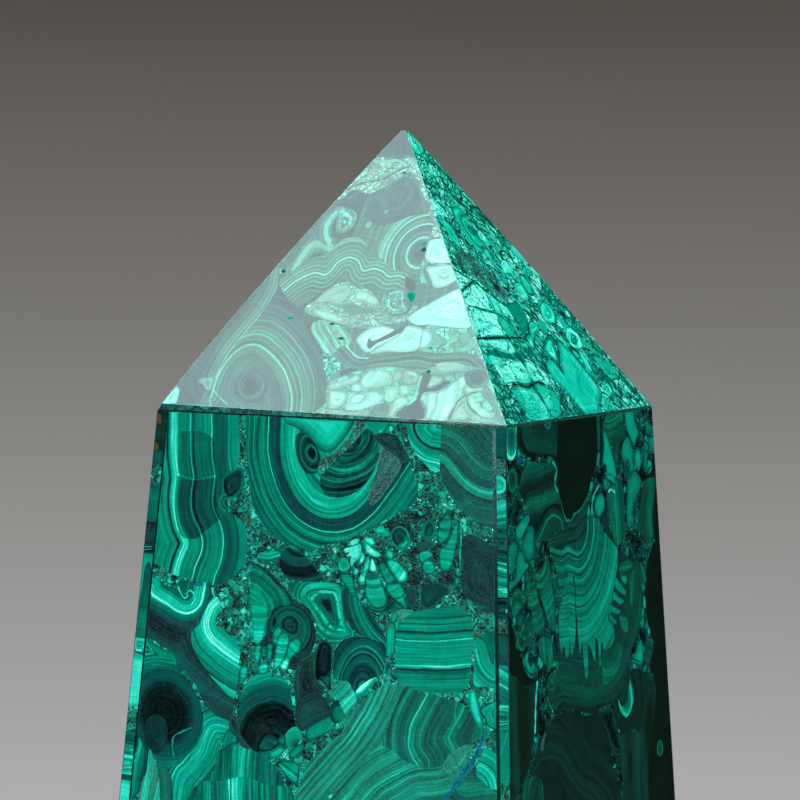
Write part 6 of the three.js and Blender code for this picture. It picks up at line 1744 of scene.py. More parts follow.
# Each look: broad bands as (place across the growth in mm, tone), thin lines as (place, tone, width),
# and how far the growth wavers
LOOKS = {
    "wavy": {
        "bands": [(-8, 0.5), (-4.4, 0.55), (-3.9, 0.72), (-2.9, 0.72), (-2.4, 0.48), (1.3, 0.46),
                  (3.7, 0.52), (5.2, 0.3), (7, 0.34), (9, 0.5), (12, 0.55)],
        "thin": [(-6.1, 0.3, 0.3), (-4.75, 0.04, 0.5), (-3.7, 0.9, 0.25), (-3.1, 0.86, 0.25),
                 (0, 0.92, 0.22), (0.6, 0.22, 0.5), (4.3, 0.9, 0.25), (7.8, 0.65, 0.25)],
        "wobble": 0.25, "lines": 0.1, "line_scale": 2.2, "fibre": 0.04,
    },
    "disc": {
        "bands": [(-14, 0.3), (-9, 0.34), (-6, 0.3), (-3, 0.42), (-0.9, 0.18), (0.7, 0.18), (1, 0.5),
                  (2, 0.56), (2.6, 0.6), (4.6, 0.6), (5.4, 0.45), (7, 0.5)],
        "thin": [(-1.6, 0.8, 0.25), (-2.6, 0.5, 0.25), (-3.7, 0.2, 0.4), (-4.5, 0.62, 0.25),
                 (-5.6, 0.5, 0.3), (1.7, 0.36, 0.3), (2.4, 0.42, 0.25), (4.9, 0.3, 0.3), (5.8, 0.25, 0.35),
                 (6.5, 0.7, 0.25)],
        "wobble": 0.25, "line_scale": 1.8,
    },
    "disc_eye": {
        "bands": [(0, 0.15), (0.7, 0.2), (1.1, 0.62), (1.4, 0.3), (1.9, 0.3), (2.2, 0.6), (2.5, 0.35),
                  (4, 0.3)],
        "wobble": 0.3, "lines": 0.14, "line_scale": 2.5,
    },
    "disc_core": {
        "bands": [(0, 0.2), (2, 0.3), (3, 0.45), (4.4, 0.35), (5.2, 0.55), (5.8, 0.3), (6.5, 0.4),
                  (9, 0.32)],
        "wobble": 0.4, "lines": 0.28, "line_scale": 1.5, "fibre": 0.1,
    },
    "grey_silk": {
        "bands": [(-6, 0.35), (-3, 0.3), (0, 0.3)],
        "lines": 0.2, "line_scale": 2.4, "fibre": 0.12, "grey": 0.5,
    },
    "plum": {
        "bands": [(0, 0.26), (0.5, 0.15), (1.6, 0.2), (2.6, 0.12), (4, 0.18), (6, 0.13)],
        "wobble": 2, "lines": 0.08, "line_scale": 0.8, "grain": 0.012, "grey": 0.1,
    },
    "cave": {"bands": [(0, 0.22), (1, 0.3), (3, 0.26)], "wobble": 1, "lines": 0.06, "grain": 0.01},
    "ball": {"bands": [(0, 0.4), (0.3, 0.68), (0.8, 0.5), (1.5, 0.36)], "rim": -0.15},
    "pale": {"bands": [(0, 0.3), (0.5, 0.6), (1.5, 0.82), (5, 0.92)], "wobble": 0.4, "lines": 0.05},
    "loops": {
        "bands": [(0, 0.3), (0.5, 0.3), (0.8, 0.6), (1.1, 0.35), (1.5, 0.65), (2, 0.4)],
        "wobble": 0.1, "lines": 0.1,
    },
    "bright_arcs": {
        "bands": [(-8, 0.78), (-4, 0.78), (-1.5, 0.62), (0, 0.55), (1.5, 0.62), (5, 0.66)],
        "thin": [(0, 0.1, 0.35), (-0.8, 0.45, 0.3), (-2.6, 0.85, 0.3), (1, 0.4, 0.3)],
        "wobble": 0.2, "lines": 0.16, "line_scale": 2,
    },
    "teal_bands": {
        "bands": [(-7, 0.34), (-4, 0.4), (-2.2, 0.22), (-1.4, 0.6), (-0.6, 0.5), (0.6, 0.3), (3, 0.42),
                  (5, 0.3), (9, 0.3)],
        "thin": [(0, 0.2, 0.35), (-1, 0.74, 0.35), (-1.9, 0.6, 0.3), (2.9, 0.6, 0.25), (1.4, 0.5, 0.25)],
        "wobble": 0.3, "line_scale": 2, "fibre": 0.06, "grey": 0.15,
    },
    "dark_cell": {
        "bands": [(0, 0.4), (0.3, 0.5), (0.5, 0.2), (1.2, 0.24), (2.4, 0.38)],
        "wobble": 0.4, "lines": 0.14,
    },
    "finger": {
        "bands": [(0, 0.56), (1.5, 0.64), (1.8, 0.52), (3.2, 0.66), (4.1, 0.56), (5.2, 0.68)],
        "wobble": 0.3, "lines": 0.14, "line_scale": 1.3, "rim": -0.34, "repeat": True,
    },
    "petals": {"bands": [(0, 0.6), (0.15, 0.86), (1, 0.98)], "lines": 0.1, "fibre": 0.16},
    "striped": {
        "bands": [(-12, 0.5), (-8, 0.52), (-7, 0.4), (-6.4, 0.6), (-4, 0.58), (-2, 0.56), (0, 0.5),
                  (1, 0.55), (5, 0.45)],
        "thin": [(0, 0.12, 0.4), (-1.5, 0.84, 0.3), (1.5, 0.35, 0.3), (2.6, 0.3, 0.3), (-6, 0.84, 0.3),
                 (-6.7, 0.12, 0.4), (-8.3, 0.36, 0.3)],
        "wobble": 0.3, "line_scale": 2.2,
    },
    "bold": {
        "bands": [(0, 0.2), (1.2, 0.48), (2, 0.44), (2.6, 0.72), (3.3, 0.58), (4.2, 0.32), (5, 0.55),
                  (6, 0.68), (6.8, 0.28), (8, 0.5)],
        "wobble": 0.9, "lines": 0.22, "line_scale": 1.7, "rim": -0.2, "repeat": True,
    },
    "fine": {
        "bands": [(0, 0.38), (1.5, 0.52), (3, 0.42), (4.5, 0.58), (6, 0.34), (7, 0.48)],
        "wobble": 0.8, "lines": 0.3, "line_scale": 2.2, "rim": -0.2, "repeat": True,
    },
    "deep": {
        "bands": [(0, 0.1), (1.5, 0.24), (2.2, 0.4), (2.8, 0.18), (4, 0.34), (5, 0.12), (6.5, 0.3)],
        "wobble": 0.9, "lines": 0.16, "line_scale": 1.8, "rim": 0.15, "repeat": True,
    },
    "feather": {
        "bands": [(0, 0.25), (2, 0.42), (4, 0.34), (6, 0.5), (8, 0.3)],
        "wobble": 1.2, "lines": 0.14, "fibre": 0.35, "rim": -0.1, "repeat": True,
    },
    "bright": {"bands": [(0, 0.78), (1, 0.95)], "lines": 0.04},
    "dim": {"bands": [(0, 0.32), (1, 0.42)], "lines": 0.04},
    "blue": {
        "bands": [(0, 0.2), (0.2, 0.5), (0.6, 0.1)],
        "wobble": 0.6, "crinkle": 0.6, "lines": 0.35, "grain": 0.14, "tint": "0c5a80",
    },
    "night": {
        "bands": [(-11, 0.34), (-9, 0.28), (-8, 0.36), (-6, 0.31), (-4.8, 0.2), (-3.5, 0.22), (-2, 0.32),
                  (-0.8, 0.46), (0, 0.5), (3, 0.24), (8, 0.2), (12, 0.28)],
        "wobble": 0.3, "lines": 0.1, "line_scale": 2, "grain": 0.055, "grey": 0.08,
    },
    "u_bands": {
        "bands": [(-2, 0.28), (-1.3, 0.36), (-0.8, 0.54), (-0.4, 0.6), (0, 0.8), (0.6, 0.74), (1.2, 0.7),
                  (1.8, 0.64), (2.4, 0.56), (3, 0.42), (4.2, 0.42), (5, 0.38)],
        "thin": [(0, 0.98, 0.4), (0.8, 0.86, 0.2), (1.5, 0.84, 0.25), (2.5, 0.34, 0.3), (3.4, 0.56, 0.25)],
        "wobble": 0.15, "line_scale": 2.2,
    },
    "swirl": {
        "bands": [(-7.5, 0.35), (-6.6, 0.42), (-6.1, 0.7), (-5, 0.68), (-4.4, 0.46), (-3.8, 0.52),
                  (-3, 0.6), (-1.8, 0.62), (-0.8, 0.72), (0.5, 0.84), (1.2, 0.78), (1.8, 0.7), (2.6, 0.6),
                  (4, 0.66)],
        "thin": [(-5.6, 0.78, 0.25), (-4.8, 0.24, 0.3), (-2.3, 0.5, 0.3), (0, 0.97, 0.35),
                 (0.9, 0.95, 0.25), (1.6, 0.62, 0.2), (3.2, 0.5, 0.25)],
        "wobble": 0.15, "lines": 0.13, "line_scale": 2.2,
    },
    "nested_lines": {
        "bands": [(0, 0.46), (0.8, 0.54), (2, 0.47), (3, 0.5)],
        "thin": [(0.6, 0.66, 0.25), (1.3, 0.68, 0.25), (1.9, 0.66, 0.25), (2.4, 0.7, 0.25),
                 (1.6, 0.34, 0.2)],
        "wobble": 0.1, "lines": 0.14, "line_scale": 2.6,
    },
    "black_ball": {
        "bands": [(0, 0.1), (4, 0.12), (5.2, 0.16), (5.8, 0.27), (6.4, 0.33), (7.2, 0.32), (8, 0.42),
                  (9, 0.46), (11, 0.5)],
        "thin": [(5, 0.24, 0.2), (7.6, 0.26, 0.3), (8.6, 0.56, 0.25)],
        "wobble": 0.4, "lines": 0.05, "fibre": 0.06,
    },
    "flow": {
        "bands": [(-4, 0.5), (-2, 0.56), (-1.2, 0.64), (0, 0.68), (1, 0.62), (2.6, 0.57), (4, 0.52)],
        "thin": [(-3.3, 0.42, 0.3), (-2.4, 0.64, 0.25), (-1.6, 0.74, 0.25), (0.5, 0.8, 0.25),
                 (1.3, 0.5, 0.25)],
        "wobble": 0.4, "lines": 0.2, "line_scale": 2,
    },
    "grey_fan": {
        "bands": [(-3, 0.66), (-1.1, 0.6), (0, 0.66), (1.2, 0.6), (3, 0.66)],
        "lines": 0.22, "line_scale": 2, "grey": 0.25,
    },
    "pillars": {
        "bands": [(-12, 0.4), (-9, 0.28), (-7, 0.44), (-6, 0.38), (-5, 0.5), (-3.6, 0.37), (-2.2, 0.42),
                  (-1.4, 0.6), (0.4, 0.72), (1.2, 0.62), (2.4, 0.47), (3.6, 0.4), (5.4, 0.47), (7.6, 0.37),
                  (9.4, 0.52), (12, 0.44)],
        "thin": [(-1.1, 0.78, 0.3), (-0.6, 0.46, 0.25), (0.4, 0.84, 0.3), (3.1, 0.6, 0.25),
                 (5.8, 0.62, 0.25)],
        "lines": 0.2, "line_scale": 2,
    },
    "leaf": {"bands": [(0, 0.42), (0.7, 0.58), (2, 0.62)], "lines": 0.16, "grain": 0.07, "rim": -0.3},
    "dome": {
        "bands": [(-8, 0.5), (-6.4, 0.42), (-5.6, 0.17), (-3, 0.12), (-0.8, 0.09), (-0.3, 0.22),
                  (0.3, 0.34), (1, 0.3), (1.8, 0.38), (2.6, 0.44), (3.2, 0.52), (4.4, 0.6), (6, 0.66)],
        "thin": [(0.1, 0.46, 0.25), (0.7, 0.42, 0.2), (1.2, 0.24, 0.25), (3.7, 0.72, 0.3)],
        "wobble": 0.3, "lines": 0.1, "line_scale": 2, "grain": 0.03,
    },
    "slate": {"bands": [(0, 0.14), (1, 0.2), (3, 0.26)], "lines": 0.05, "grey": 0.07},
    "striped_small": {
        "bands": [(-1.2, 0.42), (-0.4, 0.5), (0.4, 0.58), (1.2, 0.52)],
        "thin": [(-0.1, 0.78, 0.25), (0.6, 0.74, 0.25), (-0.5, 0.32, 0.25)],
        "wobble": 0.15, "lines": 0.1,
    },
    "dark_arcs": {
        "bands": [(0, 0.48), (1.3, 0.46), (1.8, 0.2), (2.4, 0.2), (3, 0.32), (3.8, 0.3), (4.6, 0.15),
                  (5.8, 0.13), (6.4, 0.25), (7, 0.27), (8, 0.18)],
        "thin": [(2.7, 0.42, 0.25), (3.3, 0.4, 0.25), (4, 0.36, 0.2), (6.6, 0.36, 0.25)],
        "wobble": 0.2, "lines": 0.05, "line_scale": 2,
    },
    "kite_ground": {
        "bands": [(0, 0.62), (0.8, 0.56), (1.6, 0.48), (2.4, 0.42), (4, 0.34)],
        "thin": [(0.1, 0.78, 0.25), (0.6, 0.44, 0.25), (1.1, 0.7, 0.2), (1.5, 0.4, 0.2), (2, 0.56, 0.2)],
        "wobble": 0.15, "line_scale": 2.2,
    },
    "kite": {
        "bands": [(0, 0.72), (0.5, 0.5), (0.9, 0.4), (1.3, 0.3), (1.8, 0.14), (3, 0.12)],
        "thin": [(0.15, 0.92, 0.3), (0.95, 0.6, 0.25), (1.3, 0.46, 0.2)],
        "wobble": 0.1, "lines": 0.08, "grain": 0.06,
    },
    "fan": {
        "bands": [(-4, 0.42), (-3, 0.28), (-2.2, 0.34), (-1.4, 0.44), (-0.6, 0.6), (-0.2, 0.4), (0.3, 0.42),
                  (0.7, 0.26), (1.2, 0.32), (1.9, 0.42), (2.6, 0.2)],
        "thin": [(-3.6, 0.54, 0.2), (-1.9, 0.52, 0.2), (-0.9, 0.64, 0.2), (0, 0.74, 0.25), (0.5, 0.6, 0.2),
                 (2.1, 0.14, 0.25)],
        "wobble": 0.15, "lines": 0.1, "line_scale": 2.2,
    },
    "cloud": {
        "bands": [(0, 0.4), (1.4, 0.5), (2, 0.64), (4.2, 0.64), (5, 0.54), (5.8, 0.5), (6.2, 0.38),
                  (7, 0.4), (7.6, 0.5), (8.6, 0.44), (9.2, 0.22)],
        "thin": [(4.6, 0.4, 0.3), (5.3, 0.62, 0.25), (6.6, 0.5, 0.2), (7.3, 0.34, 0.2), (8, 0.6, 0.25)],
        "lines": 0.14, "line_scale": 1.8, "fibre": 0.12,
    },
    "column": {
        "bands": [(-1.2, 0.42), (-0.5, 0.72), (0.4, 0.64), (1.2, 0.46), (4.6, 0.66), (5.5, 0.68),
                  (6.4, 0.54), (7.4, 0.6), (8.8, 0.7), (9.8, 0.78), (12, 0.66)],
        "wobble": 0.2, "lines": 0.14, "line_scale": 1.8, "rim": -0.15,
    },
    "bulb": {
        "bands": [(0, 0.15), (2, 0.18), (2.5, 0.3), (3, 0.42), (3.8, 0.34), (4.6, 0.2), (6, 0.14)],
        "thin": [(2.7, 0.5, 0.2), (3.3, 0.54, 0.2), (3.6, 0.26, 0.2), (4.1, 0.4, 0.2)],
        "wobble": 0.25, "line_scale": 2.2,
    },
    "arch": {
        "bands": [(0, 0.6), (0.7, 0.6), (1, 0.44), (2, 0.3), (2.9, 0.24), (3.6, 0.38), (4.6, 0.38),
                  (5.4, 0.44), (6, 0.3), (7, 0.2), (8, 0.18)],
        "thin": [(1.3, 0.2, 0.3), (2.2, 0.16, 0.3), (3.4, 0.5, 0.2), (4.2, 0.16, 0.25), (4.4, 0.62, 0.2),
                 (4.8, 0.2, 0.2), (5.1, 0.66, 0.25), (5.7, 0.34, 0.2)],
        "wobble": 0.2, "lines": 0.1, "line_scale": 2,
    },
    "chip_bands": {
        "bands": [(-4.6, 0.3), (-4.1, 0.66), (-3.4, 0.78), (-2.6, 0.82), (-1.8, 0.72), (-1.3, 0.6),
                  (-0.4, 0.67), (0.4, 0.6), (1.4, 0.46)],
        "thin": [(-1.5, 0.4, 0.25), (-2.4, 0.9, 0.3)],
        "wobble": 0.3, "lines": 0.14, "fibre": 0.1, "grain": 0.06, "grey": 0.15,
    },
    "bundle": {
        "bands": [(-6, 0.36), (-5, 0.44), (-4.4, 0.52), (-2.4, 0.58), (-0.8, 0.58), (0.4, 0.58),
                  (1.4, 0.52), (2.6, 0.56), (4, 0.5)],
        "thin": [(-4.8, 0.7, 0.25), (-4.1, 0.36, 0.25), (-3.4, 0.74, 0.25), (-3, 0.38, 0.25),
                 (-2.5, 0.74, 0.25), (-2, 0.4, 0.25), (-1.4, 0.74, 0.25), (-0.7, 0.4, 0.3), (0, 0.72, 0.25),
                 (0.7, 0.44, 0.25)],
        "wobble": 0.3, "crinkle": 0.16, "lines": 0.14, "line_scale": 1.8, "grey": 0.16,
    },
    "lower_bundle": {
        "bands": [(-7, 0.64), (-5.8, 0.56), (-4.8, 0.48), (-4.2, 0.6), (-3, 0.6), (-2, 0.54), (-0.8, 0.64),
                  (0, 0.54), (1, 0.56), (2, 0.5), (3.4, 0.56), (4.6, 0.58), (5.6, 0.4)],
        "thin": [(-5.2, 0.32, 0.3), (-3.5, 0.74, 0.25), (-2.6, 0.4, 0.3), (-1.5, 0.42, 0.25),
                 (-0.7, 0.84, 0.25), (0.2, 0.36, 0.3), (1.1, 0.7, 0.25), (1.9, 0.36, 0.3),
                 (2.7, 0.68, 0.25), (4.2, 0.72, 0.25)],
        "wobble": 0.4, "crinkle": 0.2, "lines": 0.14, "line_scale": 1.8, "grey": 0.13,
    },
    "eye_bands": {
        "bands": [(-6, 0.5), (-5, 0.54), (-4.4, 0.42), (-3.6, 0.4), (-2.9, 0.54), (-2, 0.38), (-1.2, 0.42),
                  (-0.4, 0.5), (0.4, 0.56), (1.4, 0.42), (2.2, 0.52), (3, 0.38), (5, 0.42), (6, 0.4),
                  (7.4, 0.55), (9, 0.33), (10.4, 0.33), (11.4, 0.46), (13, 0.5)],
        "thin": [(-4.7, 0.66, 0.25), (-3.9, 0.26, 0.25), (-3.2, 0.66, 0.25), (-1.7, 0.26, 0.3),
                 (0, 0.86, 0.3), (2.2, 0.68, 0.25), (7.6, 0.7, 0.25)],
        "wobble": 0.25, "line_scale": 2, "grey": 0.08,
    },
    "mottled": {
        "bands": [(0, 0.48), (1, 0.56), (2, 0.62)],
        "lines": 0.14, "fibre": 0.2, "grain": 0.08, "grey": 0.3,
    },
    "mint_arcs": {
        "bands": [(2, 0.5), (3, 0.6), (4.4, 0.7), (5.2, 0.62), (6.4, 0.54), (7, 0.6), (9, 0.48)],
        "thin": [(3.5, 0.3, 0.25), (4.8, 0.84, 0.3), (5.5, 0.2, 0.3), (6.9, 0.74, 0.3)],
        "wobble": 0.15, "lines": 0.1,
    },
    "arc_piece": {
        "bands": [(-3, 0.72), (-2, 0.68), (-1.2, 0.55), (2, 0.54), (3, 0.4), (4.2, 0.38), (5.4, 0.22),
                  (7, 0.12)],
        "thin": [(0, 0.82, 0.3), (-0.6, 0.4, 0.25), (1.4, 0.68, 0.2), (2.4, 0.3, 0.25)],
        "wobble": 0.2, "line_scale": 2,
    },
    "coal": {
        "bands": [(0, 0.02), (1.5, 0.05), (4, 0.02), (9, 0.06)],
        "brown": 0.4, "lines": 0.02, "fibre": 0.04, "grain": 0.01,
    },
    "mid": {"bands": [(0, 0.45), (1, 0.56)], "lines": 0.04},
    "groove": {"bands": [(0, 0.12), (1, 0.06)], "brown": 0.5, "lines": 0.02},
    "pale_cell": {
        "bands": [(0, 0.34), (0.35, 0.46), (1, 0.54), (2.2, 0.6), (4, 0.54)],
        "wobble": 0.3, "lines": 0.07, "fibre": 0.06, "rim": -0.12,
    },
    "deep_panel": {
        "bands": [(-2, 0.04), (-1, 0.06), (-0.2, 0.12), (0.3, 0.46), (1.6, 0.5), (4, 0.42), (6.4, 0.38),
                  (8, 0.26), (9.4, 0.12), (12, 0.05), (16, 0.03)],
        "wobble": 0.3, "brown": 0.6, "lines": 0.08, "line_scale": 1.8,
    },
    "loop": {
        "bands": [(0, 0.2), (1, 0.24), (1.5, 0.4), (1.9, 0.48), (2.2, 0.26), (3, 0.16)],
        "wobble": 0.2, "brown": 0.5, "lines": 0.05,
    },
    "ring_cell": {
        "bands": [(0, 0.3), (1.2, 0.34), (2, 0.5), (2.7, 0.62), (3.1, 0.86), (3.5, 0.72), (3.9, 0.4),
                  (5, 0.2)],
        "wobble": 0.2, "lines": 0.1, "line_scale": 1.8,
    },
    "flank_leaf": {
        "bands": [(-8, 0.1), (-6, 0.24), (-4.6, 0.44), (-3.4, 0.5), (-2.2, 0.28), (-0.8, 0.14), (0.2, 0.2),
                  (1.4, 0.36), (3, 0.45)],
        "wobble": 0.4, "brown": 0.5, "lines": 0.08, "line_scale": 1.4,
    },
    "dome_arc": {
        "bands": [(-3, 0.3), (-0.6, 0.34), (0, 0.46), (0.4, 0.36), (1, 0.34), (1.5, 0.1), (2.4, 0.06),
                  (3.4, 0.2)],
        "thin": [(0, 0.6, 0.25)],
        "wobble": 0.2, "brown": 0.5, "lines": 0.08, "line_scale": 2,
    },
    "layers": {
        "bands": [(-3, 0.36), (-1.6, 0.24), (-0.6, 0.36), (0.3, 0.22), (1.2, 0.34), (2.4, 0.24), (4, 0.3)],
        "brown": 0.5, "lines": 0.16, "line_scale": 1.8,
    },
    "scallop": {
        "bands": [(-1.5, 0.3), (-0.4, 0.5), (0.3, 0.52), (0.9, 0.44), (2, 0.4), (3, 0.5), (4, 0.4),
                  (5.4, 0.52), (7, 0.44), (8.5, 0.54), (11, 0.5), (14, 0.56), (20, 0.5)],
        "thin": [(-0.2, 0.62, 0.25), (0.6, 0.06, 0.3), (1.6, 0.3, 0.25), (2.7, 0.6, 0.25), (3.7, 0.3, 0.25),
                 (4.9, 0.6, 0.25), (6.1, 0.36, 0.25), (7.7, 0.36, 0.3), (9.6, 0.42, 0.3)],
        "wobble": 0.45, "brown": 0.5, "line_scale": 1.7, "fibre": 0.06,
    },
    "flank_fan": {
        "bands": [(0, 0.3), (2.4, 0.34), (3.4, 0.48), (4.2, 0.38), (5.2, 0.52), (6.2, 0.4), (7.4, 0.5),
                  (8.6, 0.42), (10, 0.52), (13, 0.46)],
        "wobble": 0.3, "brown": 0.5, "lines": 0.14, "line_scale": 1.7, "rim": -0.15,
    },
    "surround": {
        "bands": [(-10, 0.28), (-6, 0.32), (-3, 0.36), (-0.6, 0.35), (0, 0.46), (0.5, 0.34), (1.2, 0.4),
                  (1.7, 0.28), (2.4, 0.36), (3.2, 0.2), (5, 0.26), (8, 0.34), (11, 0.34)],
        "wobble": 0.3, "brown": 0.5, "lines": 0.08, "line_scale": 1.8,
    },
    "cell_bands": {
        "bands": [(-9, 0.4), (-5, 0.34), (-2.4, 0.4), (-0.6, 0.48), (0.4, 0.44), (1.4, 0.34), (4, 0.36),
                  (7, 0.42), (9, 0.36)],
        "wobble": 0.3, "brown": 0.5, "lines": 0.1, "line_scale": 1.5, "rim": -0.1,
    },
    "dark_panel": {
        "bands": [(-6, 0.4), (-3, 0.14), (-2, 0.2), (-0.8, 0.3), (0.3, 0.33), (0.9, 0.24), (1.4, 0.3),
                  (1.8, 0.08), (3, 0.04), (5.6, 0.04), (6.6, 0.12), (8, 0.2), (10, 0.3)],
        "wobble": 0.3, "brown": 0.7, "lines": 0.05, "line_scale": 1.8,
    },
    "dark_slope": {
        "bands": [(-10, 0.08), (-4, 0.07), (-1.6, 0.1), (-0.6, 0.09), (0, 0.22), (0.6, 0.09), (1.4, 0.17),
                  (2.6, 0.15), (3.4, 0.07), (4.4, 0.15), (6, 0.07), (8, 0.12), (11, 0.05), (16, 0.1)],
        "wobble": 0.6, "brown": 0.5, "lines": 0.05, "line_scale": 1.4, "fibre": 0.03,
    },
    "dark_u": {
        "bands": [(0, 0.2), (3, 0.16), (5, 0.08), (7, 0.1), (8, 0.06), (9, 0.14), (10, 0.1), (12, 0.2),
                  (15, 0.1)],
        "wobble": 0.3, "brown": 0.5, "lines": 0.05,
    },
    "half_ring": {
        "bands": [(0, 0.6), (0.3, 0.72), (1, 0.66), (1.3, 0.78), (1.7, 0.66), (2, 0.5)],
        "wobble": 0.1, "crinkle": 0.05, "lines": 0.1,
    },
    "rust": {"bands": [(0, 0.3), (1, 0.5)], "lines": 0.1, "grain": 0.1, "tint": "5c3a1c"},
    "edge": {
        "bands": [(-5, 0.04), (-3, 0.26), (-1.6, 0.1), (0, 0.2), (1.5, 0.04), (3, 0.28), (5, 0.1)],
        "wobble": 7, "lines": 0.05, "gloss": 0.6,
    },
    "cap_grey": {
        "bands": [(0, 0.3), (4, 0.36)],
        "lines": 0.1, "line_scale": 1.2, "fibre": 0.1, "grain": 0.03,
    },
    "cap_plain": {
        "bands": [(0, 0.3), (1.6, 0.24), (2.4, 0.32), (3.4, 0.24), (6, 0.28)],
        "lines": 0.05, "fibre": 0.08, "grain": 0.03,
    },
    "cap_haze": {"bands": [(0, 0.3), (2, 0.2), (4, 0.26)], "wobble": 1, "lines": 0.14, "fibre": 0.14},
    "cap_tip": {"bands": [(0, 0.24), (1.5, 0.16), (5, 0.2)], "lines": 0.05, "fibre": 0.08, "grain": 0.04},
    "cap_shade": {"bands": [(0, 0.22), (1, 0.16)], "lines": 0.05, "grain": 0.03},
    "cap_light": {"bands": [(0, 0.7), (1, 0.8)], "lines": 0.05},
    "cap_chip": {"bands": [(0, 0.5), (0.3, 0.75), (1, 0.62)], "lines": 0.1, "grain": 0.08},
    "cap_corner": {"bands": [(0, 0.3), (0.3, 0.85), (0.9, 0.95), (1.4, 0.7)], "lines": 0.08, "grain": 0.05},
    "cap_side": {
        "bands": [(-0.6, 0.3), (0, 0.4), (1.2, 0.36), (2, 0.26), (4, 0.18), (7, 0.14), (12, 0.18)],
        "thin": [(0, 0.8, 0.3), (0.9, 0.56, 0.25), (1.6, 0.5, 0.25), (2.6, 0.36, 0.25)],
        "wobble": 0.2, "lines": 0.08, "line_scale": 2, "grain": 0.04,
    },
    "cap_cell": {
        "bands": [(0, 0.5), (0.2, 0.68), (0.8, 0.78), (1.5, 0.7), (2.2, 0.79), (3.2, 0.7), (4.5, 0.77)],
        "wobble": 0.9, "crinkle": 0.25, "lines": 0.14, "line_scale": 1.1, "rim": -0.2, "repeat": True,
        # whitened: paler stone, and partly a painted reflection veil
        "white_and_sheen": 0.26,
    },
    "cap_disc": {
        "bands": [(-12, 0.2), (-8, 0.2), (-6.4, 0.3), (-5.4, 0.26), (-3.6, 0.34), (-2, 0.4), (-0.6, 0.3),
                  (0.5, 0.4), (1.5, 0.34), (3, 0.3), (5, 0.34), (7, 0.3), (10, 0.24)],
        "thin": [(0, 0.88, 0.35), (-1, 0.5, 0.25), (-1.9, 0.72, 0.3), (-2.6, 0.5, 0.25), (-3.3, 0.48, 0.25),
                 (-4.4, 0.6, 0.25), (-5.1, 0.4, 0.25), (0.9, 0.5, 0.25), (-7, 0.36, 0.3)],
        "wobble": 0.25, "lines": 0.1, "line_scale": 1.8, "fibre": 0.04, "grain": 0.04,
    },
    "cap_core": {
        "bands": [(0, 0.1), (1.2, 0.16), (2, 0.34), (2.8, 0.24), (3.6, 0.36), (5, 0.32)],
        "wobble": 0.6, "line_scale": 1.4, "grain": 0.04,
    },
    "cap_swirl": {
        "bands": [(-2.4, 0.3), (-0.8, 0.44), (-0.3, 0.7), (0.4, 0.74), (0.9, 0.5), (2, 0.3)],
        "wobble": 0.4, "lines": 0.14, "fibre": 0.12,
    },
    "cap_mottle": {
        "bands": [(0, 0.4), (0.8, 0.6), (2, 0.5)],
        "wobble": 0.8, "lines": 0.3, "fibre": 0.3, "grain": 0.08,
    },
    "cap_weave": {
        "bands": [(-3, 0.5), (-1, 0.6), (1, 0.52), (3, 0.6)],
        "wobble": 0.4, "lines": 0.3, "line_scale": 1.8, "fibre": 0.12,
    },
    "cap_rings": {
        "bands": [(0, 0.16), (2.2, 0.3), (2.6, 0.5), (3.2, 0.36), (4.6, 0.32), (5.6, 0.4), (6.4, 0.36),
                  (7.5, 0.46), (8, 0.62), (8.7, 0.5), (9.3, 0.3)],
        "thin": [(2.8, 0.88, 0.3), (3.7, 0.5, 0.25), (5.2, 0.88, 0.3), (6, 0.5, 0.25), (6.9, 0.85, 0.3),
                 (7.7, 0.74, 0.25)],
        "wobble": 0.2, "lines": 0.06, "line_scale": 2,
    },
    "cap_contours": {
        "bands": [(-5, 0.4), (-3.4, 0.52), (-2.4, 0.34), (-1, 0.4), (1, 0.36), (3, 0.3), (5, 0.36)],
        "thin": [(-3, 0.66, 0.35), (-2, 0.54, 0.25), (-1.3, 0.62, 0.25), (-0.6, 0.6, 0.25), (0, 0.86, 0.3),
                 (0.7, 0.6, 0.25), (1.4, 0.66, 0.25), (2.2, 0.56, 0.25), (3, 0.5, 0.25)],
        "wobble": 0.25, "lines": 0.06, "line_scale": 2,
    },
    "cap_shelf": {
        "bands": [(-2, 0.3), (0, 0.24), (1, 0.18), (1.8, 0.3), (2.6, 0.2), (4, 0.3), (6, 0.4)],
        "thin": [(0.5, 0.36, 0.2), (1.4, 0.42, 0.25), (2.2, 0.4, 0.25), (3.1, 0.5, 0.25)],
        "lines": 0.1, "line_scale": 2, "fibre": 0.06,
    },
    "pit": {"bands": [(0, 0.44), (0.5, 0.36)], "lines": 0.02, "gloss": 0.9},
    "half_circle": {
        "bands": [(0, 0.46), (0.2, 0.7), (1.2, 0.84), (3, 0.8), (5, 0.76), (7, 0.8)],
        "wobble": 0.6, "lines": 0.05, "line_scale": 1, "fibre": 0.12, "grain": 0.03,
    },
    "half_moon": {"bands": [(0, 0.6), (0.5, 0.9), (1.4, 0.7)], "lines": 0.06},
    "dark_vein": {"bands": [(0, 0.2), (0.2, 0.06)], "lines": 0.03},
    "flat_green": {"bands": [(0, 0.5), (1, 0.62), (3, 0.6)], "lines": 0.08, "fibre": 0.2, "grain": 0.08},
    "slope_loops": {
        "bands": [(0, 0.7), (0.3, 0.34), (0.6, 0.74), (1.2, 0.84), (1.6, 0.7), (1.8, 0.4), (2, 0.74),
                  (2.7, 0.86), (3.2, 0.7)],
        "wobble": 1.2, "crinkle": 0.5, "rim": -0.3, "repeat": True,
    },
    "olive": {
        "bands": [(-8, 0.2), (-4, 0.27), (-2, 0.22), (0, 0.18), (2, 0.27), (4, 0.33), (6, 0.26)],
        "wobble": 0.8, "brown": 0.7, "lines": 0.08, "line_scale": 1.4,
    },
}

